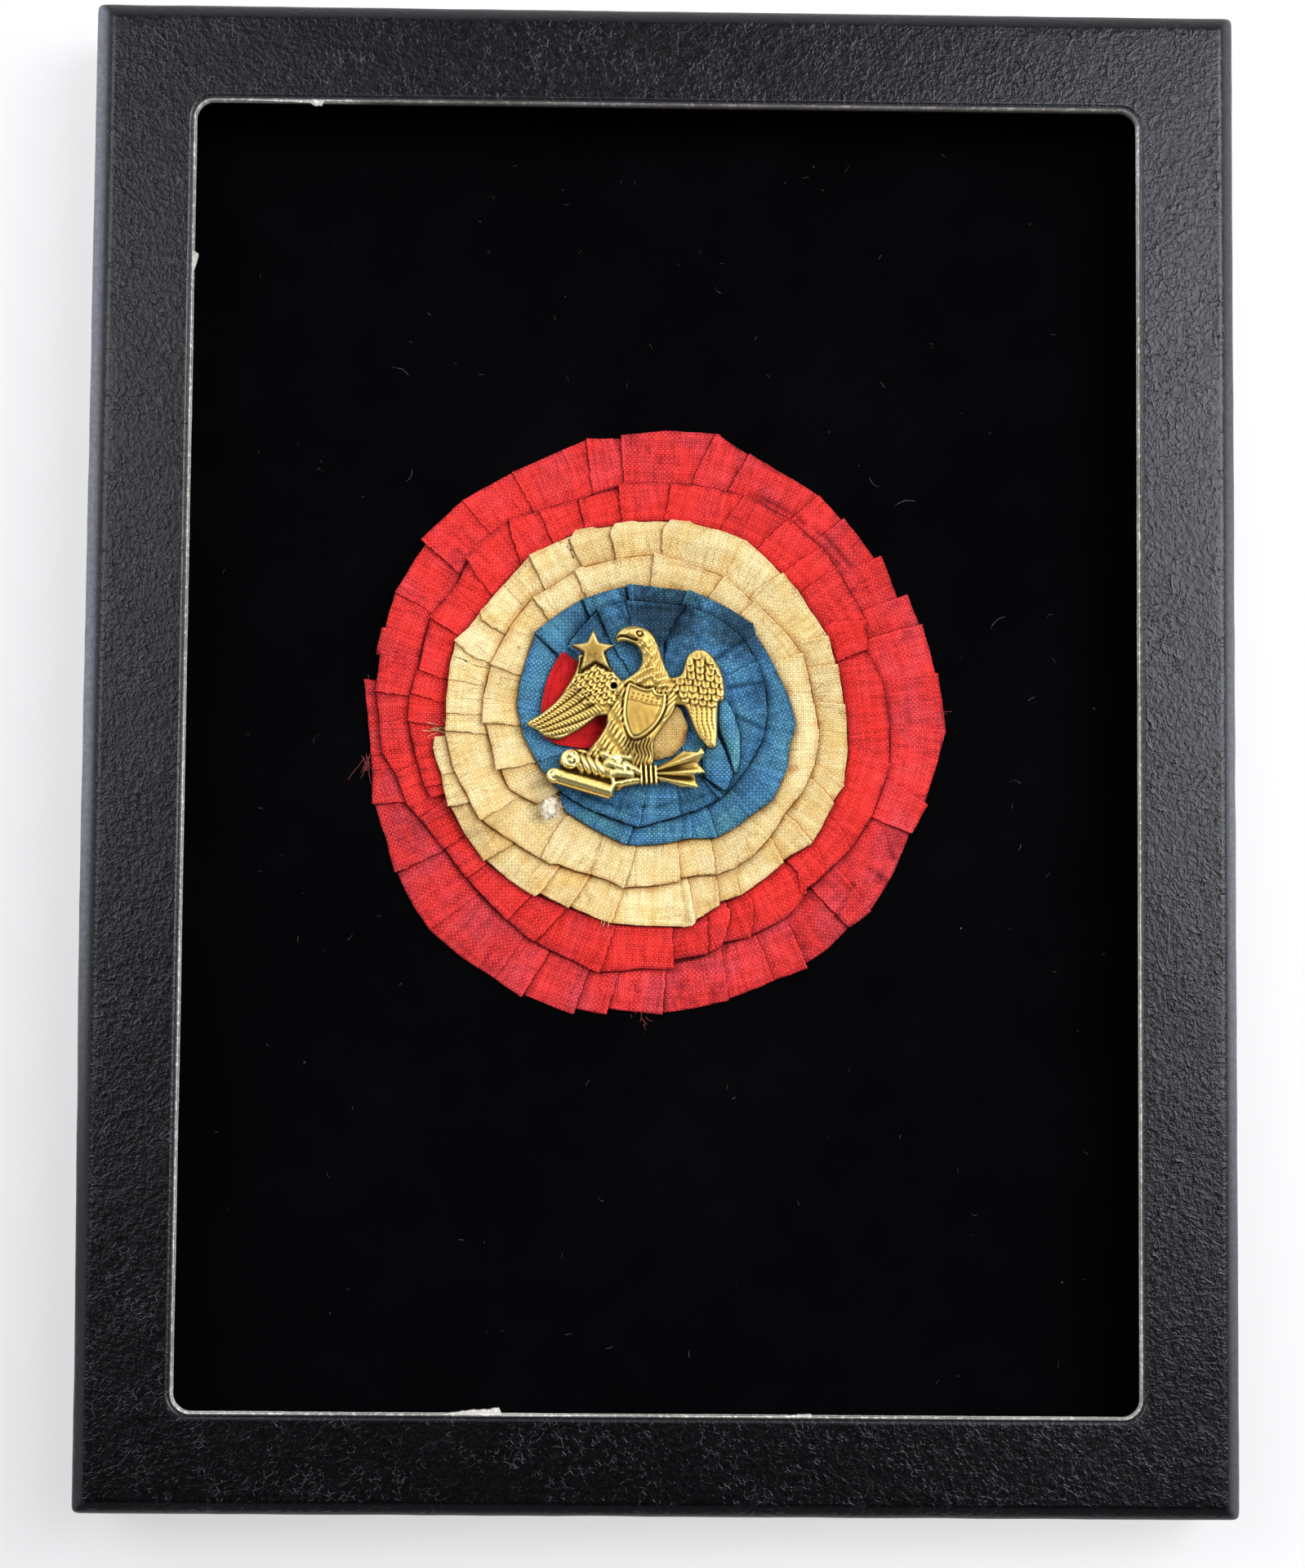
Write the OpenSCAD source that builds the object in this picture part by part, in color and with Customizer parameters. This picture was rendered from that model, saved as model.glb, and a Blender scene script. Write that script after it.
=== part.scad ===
// A ribbon cockade of three pleated cotton strips with a brass eagle, lying in a flat display case.
// The origin is on the surface that the case lies on, under its middle, with Y toward the eagle's head.

/* [Case] */
// Outer width of the lid
case_w = 158.75; // [150:0.25:180]
// Outer length of the lid
case_l = 209.55; // [190:0.05:230]
// Height of the closed case
case_h = 19; // [18:0.5:26]
// Width of the window in the lid
window_w = 132.9; // [110:0.1:140]
// Length of the window in the lid
window_l = 182.9; // [120:0.1:185]
// Radius of the window's corners
window_corner_r = 2.5; // [1:0.1:6]
// Radius that rounds the lid's top edges
lid_edge_r = 1.5; // [0.5:0.1:1.8]
// Thickness of the lid's board
lid_board_t = 2; // [1.9:0.1:3]
// Thickness of the lid's skirts
lid_skirt_t = 1.9; // [1.9:0.1:3]
// How far the lid's skirts stop above the surface
lid_lift = 0.8; // [0.3:0.1:3]
// Clearance between the lid's skirts and the tray
lid_slide = 0.3; // [0.2:0.05:0.8]
// Thickness of the tray's floor
tray_floor_t = 1.5; // [1:0.1:3]
// Thickness of the tray's walls
tray_wall_t = 1.5; // [1:0.1:3]
// Thickness of the velvet pad
pad_t = 5.9; // [4:0.1:7]
// Radius of the pad's top edges
pad_edge_r = 1.2; // [0.5:0.1:2]
// Clearance round the pad
pad_clear = 0.3; // [0.1:0.05:1]

/* [Pleated strips] */
// Place of the cockade's middle, right of the case's middle
cockade_x = -0.25; // [-8:0.05:8]
// Place of the cockade's middle, above the case's middle
cockade_y = 5.15; // [-12:0.05:12]
// Radius that the red strip's rims are shares of
red_r = 40.3; // [39.5:0.1:42]
// Radius that the cream strip's rims are shares of
cream_r = 30.2; // [29.5:0.1:31]
// Radius that the blue strip's rims are shares of
blue_r = 20.1; // [19.8:0.1:21]
// Thickness of a strip where a pleat lies flat
cloth_t = 0.95; // [0.8:0.05:1.1]
// How much thicker a strip is at the edge of a full pleat
pleat_rise = 0.3; // [0.1:0.05:0.5]
// Gap between one turn of strip and the next
nest_gap = 0.1; // [0.08:0.01:0.3]
// Radius of the sewn inner edge where the red strip starts
sewn_r = 31; // [29.5:0.1:32]
// How far the sewn edge moves in with each turn
sewn_pitch = 4.6; // [4.4:0.05:4.7]

/* [Middle] */
// Radius of the cloth-covered button
button_r = 4.3; // [3.5:0.1:5]
// Thickness of the button
button_t = 1.2; // [1:0.1:1.6]
// Place of the button, right of the cockade's middle
button_x = -0.5; // [-1:0.05:1]
// Place of the button, above the cockade's middle
button_y = -1.7; // [-2.2:0.05:0]
// Radius out to which the blue strip is puffed up under the eagle
puff_r = 11; // [9:0.1:12]
// Inner radius of the red patch
patch_inner_r = 7.2; // [7:0.1:9]

/* [Eagle] */
// Width that the eagle's outlines are twenty-eighths of
eagle_w = 28.2; // [27:0.1:29.5]
// Thickness of the stamped sheet under the relief
plate_t = 0.7; // [0.5:0.05:1]
// Height of the wings above the stamped sheet
wing_h = 0.4; // [0.2:0.05:0.8]
// Height of the feathers above the wings and the body
feather_h = 0.25; // [0.15:0.05:0.4]
// Height of the body and head above the stamped sheet
body_h = 0.6; // [0.3:0.05:0.9]
// Height of the shield above the body
shield_h = 0.35; // [0.2:0.05:0.5]
// Diameter of the post behind the eagle
post_d = 1.6; // [1:0.1:2.4]
// Clearance between the post and the button's hole
post_clear = 0.15; // [0.1:0.05:0.3]

/* [Hidden] */
$fn = 48;
seat_gap = 0.1;                                 // gap of a piece above what carries it
cut = 1;                                        // how far a cutter passes a face
full_turn = 360;

tray_w = case_w - 2 * (lid_skirt_t + lid_slide);
tray_l = case_l - 2 * (lid_skirt_t + lid_slide);
lid_under_z = case_h - lid_board_t;
tray_top_z = lid_under_z - seat_gap;
pad_top_z = tray_floor_t + seat_gap + pad_t;
strip_z = pad_top_z + seat_gap;
layer_t = cloth_t + pleat_rise + nest_gap;      // height that one turn of strip adds

// Angles run anticlockwise from +X. A turn's number counts the turns of strip below it, from the red
// strip's start, and the strips climb on each other as their turns go on.
red_turn0 = 0;
cream_turn0 = 2.1;
blue_turn0 = 4.29;
climb_share = 0.15;                             // share of a turn in which a strip climbs a layer
lap_from = 172;                                 // the red strip's end laps its start up to lap_to
lap_to = 199;
lap_ramp = 40;                                  // angle over which the lap fades out on each side
max_span = 9;                                   // widest angle between two stations of a strip
edge_span = 0.16;                               // half the angle of a pleat's step
puff_ramp = 30;                                 // angle over which the blue strip puffs up
knee_margin = 0.3;                              // least distance of a bend from a strip's edges

// Columns: angle at the rim, lean of the fold toward the sewn edge, rim ahead of the fold and behind
// it as shares of red_r, and the fold's step, where a minus turns the pleat the other way.
RED = [
    [172.4,  0.2, 1.055, 1.055,  0.0], [180.0,  0.0, 1.030, 1.030,  0.0],
    [187.2,  0.2, 1.026, 1.026,  0.3], [190.2,  1.2, 1.028, 1.028,  0.4],
    [196.7,  3.6, 1.056, 1.048,  1.0], [203.5,  1.5, 1.050, 1.050,  0.0],
    [210.4,  2.1, 1.076, 1.070,  1.0], [217.0,  1.5, 1.085, 1.085,  0.0],
    [222.8,  2.1, 1.095, 1.095,  0.4], [230.5,  1.0, 1.088, 1.088,  0.0],
    [237.8,  1.2, 1.078, 1.078,  0.6], [243.9,  1.9, 1.090, 1.078,  1.0],
    [254.1,  0.9, 1.078, 1.058,  1.0], [260.1,  2.1, 1.052, 1.030,  1.0],
    [270.9,  1.5, 1.035, 1.028,  1.0], [277.5,  1.5, 1.020, 1.020,  0.0],
    [284.2,  1.7, 1.015, 1.010,  0.8], [290.0,  1.0, 1.002, 1.002,  0.0],
    [294.0,  0.7, 1.000, 1.000,  0.8], [301.2,  2.3, 1.015, 0.998,  1.0],
    [307.0,  0.5, 0.998, 0.998,  0.0], [313.0, -0.9, 0.988, 0.990, -1.0],
    [318.3,  3.5, 1.004, 1.000,  0.8], [327.0,  1.0, 0.985, 0.985,  0.0],
    [336.4, -0.7, 0.966, 0.974, -1.0], [343.0,  5.3, 0.992, 0.980,  1.0],
    [352.5,  2.0, 0.994, 0.994,  0.2], [358.6,  1.0, 1.014, 1.014,  0.2],
    [370.3,  1.3, 1.000, 0.993,  0.5], [380.8,  1.5, 0.993, 0.985,  1.0],
    [387.6,  2.2, 0.988, 0.950,  1.0], [397.3,  3.5, 0.984, 0.960,  1.0],
    [408.3,  2.5, 0.977, 0.966,  1.0], [415.3,  4.5, 0.986, 0.986,  0.9],
    [424.0,  3.0, 0.988, 0.988,  0.0], [431.9,  4.0, 1.008, 1.002,  1.0],
    [439.3,  6.1, 1.046, 1.048,  1.0], [449.0,  3.0, 1.038, 1.038,  0.0],
    [458.1,  1.2, 1.030, 1.018,  1.0], [464.9,  3.0, 1.042, 1.040,  1.0],
    [472.0,  1.5, 1.026, 1.026,  0.0], [481.0,  0.6, 1.030, 1.028,  0.7],
    [492.2,  0.6, 1.052, 1.052,  0.5], [503.2,  1.6, 1.064, 1.042,  1.0],
    [514.5,  1.1, 1.040, 1.038,  0.6], [522.0,  0.0, 1.024, 1.034, -0.3],
    [526.6, -1.0, 1.030, 1.016, -0.8], [534.7,  0.9, 1.006, 1.004,  0.8],
    [541.0,  0.2, 0.988, 0.988,  0.0], [547.4, -1.0, 0.986, 0.984,  0.0],
    [552.2, -3.0, 0.948, 0.948, -0.8], [559.5, -2.5, 0.938, 0.934,  0.0],
    [563.0, -2.3, 0.914, 0.910, -0.9], [571.4, -0.4, 0.886, 0.882,  0.7],
    [579.8,  0.7, 0.880, 0.878,  0.8], [593.2,  1.2, 0.886, 0.886,  0.8],
    [600.9,  3.1, 0.898, 0.896,  1.0], [610.0,  1.5, 0.900, 0.900,  0.0],
    [616.8,  1.5, 0.916, 0.912,  0.9], [626.0,  1.0, 0.878, 0.878,  0.0],
    [633.5,  0.3, 0.876, 0.842,  1.0], [641.8,  1.6, 0.843, 0.840,  1.0],
    [645.6,  4.6, 0.826, 0.814,  1.0], [653.0,  4.1, 0.826, 0.824,  1.0],
    [663.5,  3.0, 0.825, 0.825,  0.0], [669.4,  3.2, 0.806, 0.786, -1.0],
    [677.5,  3.5, 0.794, 0.794,  0.6], [686.0,  4.3, 0.808, 0.808,  0.7],
    [695.0,  0.5, 0.818, 0.818,  0.3], [709.5,  3.4, 0.828, 0.822,  0.5],
    [720.0,  2.0, 0.810, 0.810,  0.0], [731.0,  1.0, 0.798, 0.798,  0.0],
    [739.6, -0.5, 0.772, 0.776, -1.0], [746.3,  3.8, 0.810, 0.810,  0.9],
    [754.0,  1.5, 0.814, 0.814,  0.0], [761.2,  1.3, 0.828, 0.828,  0.8],
    [767.3,  3.1, 0.838, 0.838,  0.9], [777.9,  3.0, 0.850, 0.850,  0.9],
    [789.8,  3.3, 0.855, 0.853,  0.9], [799.0,  1.5, 0.848, 0.848,  0.0],
    [807.6,  1.6, 0.842, 0.845,  1.0], [820.3,  1.1, 0.856, 0.838,  1.0],
    [830.6,  1.7, 0.834, 0.840,  1.0], [840.3,  1.6, 0.856, 0.858,  0.8],
    [847.3,  6.2, 0.890, 0.892,  1.0], [860.4,  3.8, 0.900, 0.880,  1.0],
    [867.5,  1.5, 0.861, 0.861,  0.0], [876.5,  1.6, 0.888, 0.884,  0.9],
    [888.8,  1.0, 0.866, 0.874,  0.8], [894.5,  1.4, 0.880, 0.884,  0.7],
    [900.9,  1.7, 0.886, 0.884,  0.7], [909.0,  0.8, 0.868, 0.868,  0.0],
    [916.8,  0.3, 0.860, 0.858,  0.6], [919.6,  0.0, 0.854, 0.854,  0.0]];

// The same columns, with the rims as shares of cream_r.
CREAM = [
    [185.2,  0.0, 1.060, 1.060,  0.0], [188.0,  0.2, 1.073, 1.073,  0.0],
    [195.1,  0.1, 1.056, 1.058,  0.5], [203.1,  1.1, 1.073, 1.064,  1.0],
    [211.0,  1.0, 1.060, 1.060,  0.0], [219.4,  1.3, 1.060, 1.050,  1.0],
    [227.0,  1.0, 1.032, 1.032,  0.0], [235.2,  0.8, 1.020, 0.992,  1.0],
    [244.6,  1.5, 0.986, 0.974,  0.9], [251.0,  1.0, 0.977, 0.977,  0.0],
    [256.9,  1.1, 0.987, 0.985,  0.8], [268.0,  1.0, 0.970, 0.970,  0.0],
    [276.4,  0.8, 0.975, 0.982,  0.0], [279.2,  1.1, 0.980, 0.963,  1.0],
    [288.0,  1.9, 0.917, 0.900,  1.0], [294.8,  2.0, 0.908, 0.908,  0.8],
    [303.0,  1.5, 0.893, 0.893,  0.0], [311.1,  2.2, 0.886, 0.874,  1.0],
    [321.2,  2.2, 0.917, 0.917,  1.0], [328.0,  2.5, 0.910, 0.910,  0.0],
    [334.6,  4.4, 0.905, 0.898,  1.0], [340.6,  3.8, 0.917, 0.915,  0.8],
    [350.0,  2.0, 0.896, 0.896,  0.0], [365.1,  1.8, 0.873, 0.869,  0.8],
    [377.8,  2.0, 0.876, 0.868,  1.0], [387.0,  2.8, 0.886, 0.884,  0.7],
    [397.0,  2.5, 0.878, 0.878,  0.0], [404.0,  2.5, 0.892, 0.892,  0.0],
    [410.4,  3.5, 0.903, 0.894,  1.0], [419.0,  2.5, 0.918, 0.918,  0.0],
    [424.8,  1.0, 0.940, 0.940,  0.3], [433.0,  2.0, 0.940, 0.940,  0.0],
    [441.3,  2.0, 0.937, 0.950,  0.0], [447.2,  2.4, 0.947, 0.937,  1.0],
    [457.5,  1.5, 0.941, 0.950,  0.0], [463.4,  2.0, 0.950, 0.940,  1.0],
    [469.1,  1.8, 0.950, 0.962,  0.0], [474.5,  2.7, 0.977, 0.960,  1.0],
    [482.0,  2.0, 0.968, 0.968,  0.0], [489.0,  3.1, 0.986, 0.983,  1.0],
    [499.8,  1.5, 0.967, 0.970,  0.3], [509.6,  2.1, 0.980, 0.978,  1.0],
    [515.0,  1.8, 0.993, 0.993,  0.0], [519.7,  2.7, 1.030, 1.026,  0.9],
    [530.0,  0.3, 1.007, 1.007,  0.3], [539.2,  0.4, 1.002, 1.000,  0.7],
    [544.0,  2.5, 1.003, 1.006,  0.9], [554.0,  1.5, 0.996, 0.996,  0.0],
    [564.2,  0.0, 0.968, 0.972,  0.0], [570.3, -0.9, 0.968, 0.960,  0.7],
    [580.0, -1.5, 0.900, 0.900,  0.0], [590.3, -3.5, 0.862, 0.860, -0.9],
    [594.6, -2.0, 0.850, 0.835,  0.0], [606.1,  0.0, 0.802, 0.798,  0.3],
    [612.0,  0.8, 0.792, 0.792,  0.0], [618.3,  1.1, 0.812, 0.806,  0.9],
    [628.0,  1.0, 0.782, 0.782,  0.0], [637.5,  0.6, 0.766, 0.748,  0.9],
    [644.0,  1.0, 0.754, 0.754,  0.0], [649.9,  2.8, 0.770, 0.774,  1.0],
    [656.5,  2.5, 0.780, 0.780,  0.0], [663.9,  2.4, 0.774, 0.772,  0.6],
    [673.0,  1.5, 0.755, 0.755,  0.0], [683.5,  0.8, 0.733, 0.733,  0.0],
    [693.1,  0.6, 0.746, 0.750,  0.6], [704.0,  0.8, 0.755, 0.755,  0.0],
    [716.5,  1.0, 0.753, 0.748,  0.0], [730.0,  1.0, 0.724, 0.724,  0.0],
    [745.6,  1.1, 0.741, 0.737,  0.7], [756.0,  1.2, 0.719, 0.719,  0.0],
    [771.8,  1.9, 0.713, 0.708,  1.0], [779.5,  2.5, 0.720, 0.720,  0.0],
    [786.1,  3.0, 0.742, 0.738,  1.0], [799.0,  2.2, 0.743, 0.743,  0.0],
    [812.3,  2.0, 0.788, 0.776,  1.0], [825.0,  1.7, 0.780, 0.780,  0.0],
    [837.3,  1.5, 0.797, 0.813,  0.0], [840.2,  1.7, 0.806, 0.805,  0.9],
    [848.0,  2.0, 0.800, 0.800,  0.0], [856.7,  2.7, 0.826, 0.824,  1.0],
    [869.0,  1.5, 0.824, 0.824,  0.0], [883.0,  0.6, 0.832, 0.826,  0.8],
    [894.0,  1.2, 0.830, 0.830,  0.2], [902.2,  1.8, 0.832, 0.816,  0.9],
    [911.0,  2.0, 0.797, 0.797,  0.0], [918.1,  2.9, 0.804, 0.780,  0.9],
    [926.0,  1.5, 0.778, 0.778,  0.0], [935.8,  0.0, 0.697, 0.697,  0.0]];

// The same columns, with the rims as shares of blue_r.
BLUE = [
    [216.8,  0.0, 0.885, 0.885,  0.0], [225.0,  0.5, 0.930, 0.930,  0.0],
    [238.0,  0.6, 0.903, 0.903,  0.3], [246.0,  1.0, 0.903, 0.903,  0.0],
    [255.4,  1.3, 0.918, 0.912,  0.9], [265.0,  1.5, 0.890, 0.890,  0.0],
    [275.0,  2.0, 0.873, 0.873,  0.0], [285.4,  2.4, 0.863, 0.868,  0.4],
    [296.0,  2.5, 0.927, 0.925,  0.9], [307.0,  1.0, 0.929, 0.929,  0.0],
    [315.0,  0.9, 0.935, 0.938,  0.5], [325.0,  4.2, 0.976, 0.974,  0.7],
    [340.0,  2.0, 0.960, 0.960,  0.0], [349.0,  1.5, 0.934, 0.934,  0.0],
    [359.0,  1.0, 0.958, 0.958,  0.3], [371.0,  1.0, 0.922, 0.922,  0.0],
    [382.0,  1.0, 0.895, 0.895,  0.0], [390.6,  0.4, 0.893, 0.893,  0.6],
    [402.0,  0.6, 0.905, 0.905,  0.0], [406.8,  1.0, 0.948, 0.940,  0.5],
    [418.0,  1.5, 0.925, 0.925,  0.0], [438.3,  2.7, 0.940, 0.930,  0.9],
    [450.0,  2.0, 0.933, 0.933,  0.0], [464.3,  1.9, 0.982, 0.968,  1.0],
    [474.0,  2.0, 0.985, 0.985,  0.0], [483.4,  2.8, 1.008, 1.008,  1.0],
    [495.0,  3.0, 1.032, 1.032,  0.0], [506.0,  3.4, 1.068, 1.062,  1.0],
    [520.0,  0.5, 1.022, 1.022,  0.0], [535.0,  0.0, 1.010, 1.010,  0.0],
    [548.0,  0.0, 0.965, 0.965,  0.0], [560.0,  0.0, 0.920, 0.920,  0.3],
    [570.0,  0.0, 0.895, 0.895,  0.0], [578.0,  0.0, 0.865, 0.865,  0.0],
    [590.0,  0.3, 0.815, 0.815,  0.0], [602.0,  0.5, 0.780, 0.780,  0.3],
    [614.0,  0.5, 0.772, 0.772,  0.0], [619.2,  0.3, 0.782, 0.780,  0.7],
    [630.0,  0.5, 0.720, 0.720,  0.0], [642.0,  1.0, 0.695, 0.695,  0.4],
    [655.0,  1.0, 0.690, 0.690,  0.0], [667.5, -1.5, 0.700, 0.700, -0.7],
    [680.0,  1.0, 0.692, 0.692,  0.0], [693.0,  2.0, 0.705, 0.700,  0.6],
    [710.0,  1.0, 0.738, 0.738,  0.0], [724.0,  0.5, 0.758, 0.758,  0.2],
    [738.0,  0.5, 0.775, 0.775,  0.0], [751.0,  1.5, 0.800, 0.790,  0.8],
    [765.0,  0.5, 0.815, 0.815,  0.0], [780.0,  3.0, 0.818, 0.818,  0.0],
    [796.6,  9.0, 0.822, 0.815,  1.0], [810.0,  3.0, 0.820, 0.820,  0.0],
    [826.3,  2.0, 0.865, 0.862,  0.6], [840.3,  3.5, 0.893, 0.875,  1.0],
    [852.0,  1.5, 0.850, 0.850,  0.0], [862.6,  0.0, 0.830, 0.830,  0.0]];

// Columns: angle and outer edge as a share of blue_r.
PATCH = [[146, 0.828], [155, 0.832], [164, 0.834], [173, 0.834], [182, 0.836], [190, 0.832],
         [195, 0.745], [200, 0.620], [204.5, 0.525]];
patch_turn0 = blue_turn0 + 2.04 - BLUE[0][0] / full_turn;

function smooth(t) = let (u = min(1, max(0, t))) u * u * (3 - 2 * u);
function around(a) = a - full_turn * floor(a / full_turn);

// How far the third lap of the red strip lifts what lies over it
function lap(a) = let (b = around(a))
    smooth((b - lap_from) / lap_ramp + 1) * smooth((lap_to - b) / lap_ramp + 1);

// Whole layers that lie below the rim of a turn, with the climb at each turn's end
function layers_below(n) = floor(n) + smooth((n - floor(n) - 1) / climb_share + 1);
function sewn_edge(n) = sewn_r - sewn_pitch * n;

// Height of the underside of turn n at radius r
function under_z(n, r) =
    strip_z + layer_t * min(layers_below(n), max(0, (r - sewn_edge(n)) / sewn_pitch));

// Radius at which the underside of a turn changes slope, or its middle where it has one slope
function knee(n, rim) = let (k = sewn_edge(n) + sewn_pitch * layers_below(n))
    k < rim - knee_margin ? max(k, sewn_edge(n) + knee_margin) : (sewn_edge(n) + rim) / 2;

// The eagle lies on the button, which lies on the puffed blue strip, and clears the red patch.
patch_n = patch_turn0 + lap(lap_to - lap_ramp / 4) + 0.5;
eagle_z = max(under_z(patch_n, blue_r * 0.836) + cloth_t + nest_gap,
              under_z(blue_turn0 + 1, puff_r) + layer_t + button_t) + seat_gap;
button_z = eagle_z - seat_gap - button_t;
puff_z = button_z - seat_gap - cloth_t - pleat_rise;

// A station is [angle, lean, rim, thickness]
function row_stations(row, r, step) = let (t_front = cloth_t + pleat_rise * max(0, row[4]),
                                           t_back = cloth_t + pleat_rise * max(0, -row[4]))
    [[row[0] - step, row[1], row[2] * r, t_front], [row[0] + step, row[1], row[3] * r, t_back]];
function between(a, b, r) = let (s = row_stations(a, r, edge_span)[1], e = row_stations(b, r, edge_span)[0],
                                 n = ceil((e[0] - s[0]) / max_span))
    [for (k = [1 : 1 : n - 1]) s + (e - s) * k / n];
function stations(rows, r) =
    [for (i = [0 : len(rows) - 1]) each concat(row_stations(rows[i], r, edge_span),
                                               i < len(rows) - 1 ? between(rows[i], rows[i + 1], r) : [])];

// A closed solid through sections of k points each
module lofted(sections) {
    k = len(sections[0]);
    n = len(sections);
    sides = [for (i = [0 : n - 2], j = [0 : k - 1])
        each let (a = i * k + j, b = i * k + (j + 1) % k, c = a + k, d = b + k) [[a, b, d], [a, d, c]]];
    first = [for (j = [k - 1 : -1 : 0]) j];
    last = [for (j = [0 : k - 1]) (n - 1) * k + j];
    polyhedron(points = [for (s = sections) each s], faces = concat([first], sides, [last]));
}

// One pleated strip, from its table, with its turns numbered from turn0 at its start
module pleated_strip(rows, r, turn0, lapped, puffed) {
    a0 = rows[0][0];
    function turn(a) = turn0 + (a - a0) / full_turn + (lapped ? lap(a) : 0);
    function puff(a) = puffed ? smooth((a - a0 - full_turn) / puff_ramp) : 0;
    function below(a, at_r) = under_z(turn(a), at_r) * (1 - puff(a)) + puff_z * puff(a);
    function point(a, at_r, z) = [at_r * cos(a), at_r * sin(a), z];
    lofted([for (s = stations(rows, r))
        let (rim_a = s[0], sewn_a = s[0] + s[1], rim = s[2], t = s[3],
             inner = sewn_edge(turn(sewn_a)),
             mid = puff(sewn_a) > 0 ? puff_r : knee(turn(sewn_a), rim),
             z_in = below(sewn_a, inner), z_mid = below(sewn_a, mid), z_rim = under_z(turn(rim_a), rim))
        [point(sewn_a, inner, z_in), point(sewn_a, mid, z_mid), point(rim_a, rim, z_rim),
         point(rim_a, rim, z_rim + t), point(sewn_a, mid, z_mid + t), point(sewn_a, inner, z_in + t)]]);
}

module at_cockade() {
    translate([cockade_x, cockade_y, 0]) children();
}

module frill_red() {
    color("firebrick") at_cockade() pleated_strip(RED, red_r, red_turn0, false, false);
}

module frill_cream() {
    color("wheat") at_cockade() pleated_strip(CREAM, cream_r, cream_turn0, true, false);
}

module frill_blue() {
    color("steelblue") at_cockade() pleated_strip(BLUE, blue_r, blue_turn0, true, true);
}

// The patch lies on the blue strip where its second turn is missing
module centre_red() {
    color("crimson") at_cockade() lofted([for (row = PATCH)
        let (n = patch_turn0 + row[0] / full_turn + lap(row[0]), rim = row[1] * blue_r, a = row[0],
             z_in = under_z(n, patch_inner_r), z_rim = under_z(n, rim))
        [[patch_inner_r * cos(a), patch_inner_r * sin(a), z_in], [rim * cos(a), rim * sin(a), z_rim],
         [rim * cos(a), rim * sin(a), z_rim + cloth_t],
         [patch_inner_r * cos(a), patch_inner_r * sin(a), z_in + cloth_t]]]);
}

module centre_button() {
    edge = button_t / 2;
    color("burlywood") at_cockade() difference() {
        translate([button_x, button_y, button_z]) rotate_extrude() union() {
            square([button_r - edge, button_t]);
            translate([button_r - edge, edge]) intersection() {
                circle(edge);
                translate([0, -edge]) square([edge, button_t]);
            }
        }
        translate([0, 0, button_z - cut]) cylinder(d = post_d + 2 * post_clear, h = button_t + 2 * cut);
    }
}

module rounded_rect(w, l, r) {
    square([w - 2 * r, l], center = true);
    square([w, l - 2 * r], center = true);
    for (x = [-1, 1], y = [-1, 1]) translate([x * (w / 2 - r), y * (l / 2 - r)]) circle(r);
}

// Rounds the edge along Y at the top right of a box whose corner is at the origin
module edge_cutter(l, r) {
    rotate([90, 0, 0]) translate([0, 0, -l / 2]) linear_extrude(l) difference() {
        translate([-r, -r]) square(r + cut);
        translate([-r, -r]) circle(r);
    }
}

// A block that stands on z0, with its four top edges rounded
module eased_block(w, l, z0, z1, r) {
    difference() {
        translate([-w / 2, -l / 2, z0]) cube([w, l, z1 - z0]);
        for (s = [0, 180]) rotate([0, 0, s]) translate([w / 2, 0, z1]) edge_cutter(l + 2 * cut, r);
        for (s = [90, 270]) rotate([0, 0, s]) translate([l / 2, 0, z1]) edge_cutter(w + 2 * cut, r);
    }
}

module case_tray() {
    color("dimgray") difference() {
        translate([-tray_w / 2, -tray_l / 2, 0]) cube([tray_w, tray_l, tray_top_z]);
        translate([tray_wall_t - tray_w / 2, tray_wall_t - tray_l / 2, tray_floor_t])
            cube([tray_w - 2 * tray_wall_t, tray_l - 2 * tray_wall_t, tray_top_z]);
    }
}

module case_lid() {
    inside_w = case_w - 2 * lid_skirt_t;
    inside_l = case_l - 2 * lid_skirt_t;
    color([0.16, 0.16, 0.17]) difference() {
        eased_block(case_w, case_l, lid_lift, case_h, lid_edge_r);
        translate([-inside_w / 2, -inside_l / 2, lid_lift - cut])
            cube([inside_w, inside_l, lid_under_z - lid_lift + cut]);
        translate([0, 0, lid_under_z - cut]) linear_extrude(lid_board_t + 2 * cut)
            rounded_rect(window_w, window_l, window_corner_r);
    }
}

module velvet_pad() {
    pad_w = tray_w - 2 * (tray_wall_t + pad_clear);
    pad_l = tray_l - 2 * (tray_wall_t + pad_clear);
    color([0.05, 0.05, 0.05]) eased_block(pad_w, pad_l, pad_top_z - pad_t, pad_top_z, pad_edge_r);
}

// The eagle's outlines, in twenty-eighths of its width, from a point under its breast
e = eagle_w / 28;
eagle_x = 0.25;                                 // that point's place from the cockade's middle
eagle_y = -5.0;
STAR_AT = [-9.7, 14.4];
star_r = 3.35;
star_waist = 1.5;
LEFT_WING = [[-8.2, 14.0], [-7.5, 12.6], [-6.7, 11.2], [-5.8, 10.2], [-5.0, 9.4], [-5.0, 5.0], [-7.9, 5.0],
             [-9.0, 4.9], [-9.7, 4.4], [-11.2, 3.2], [-12.6, 2.4], [-14.0, 1.7], [-15.4, 1.7], [-16.5, 2.1],
             [-17.4, 2.8], [-18.9, 3.9], [-17.0, 5.2], [-15.2, 6.7], [-14.0, 8.1], [-13.0, 9.7],
             [-12.2, 11.2], [-11.8, 12.6], [-11.6, 13.6]];
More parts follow.
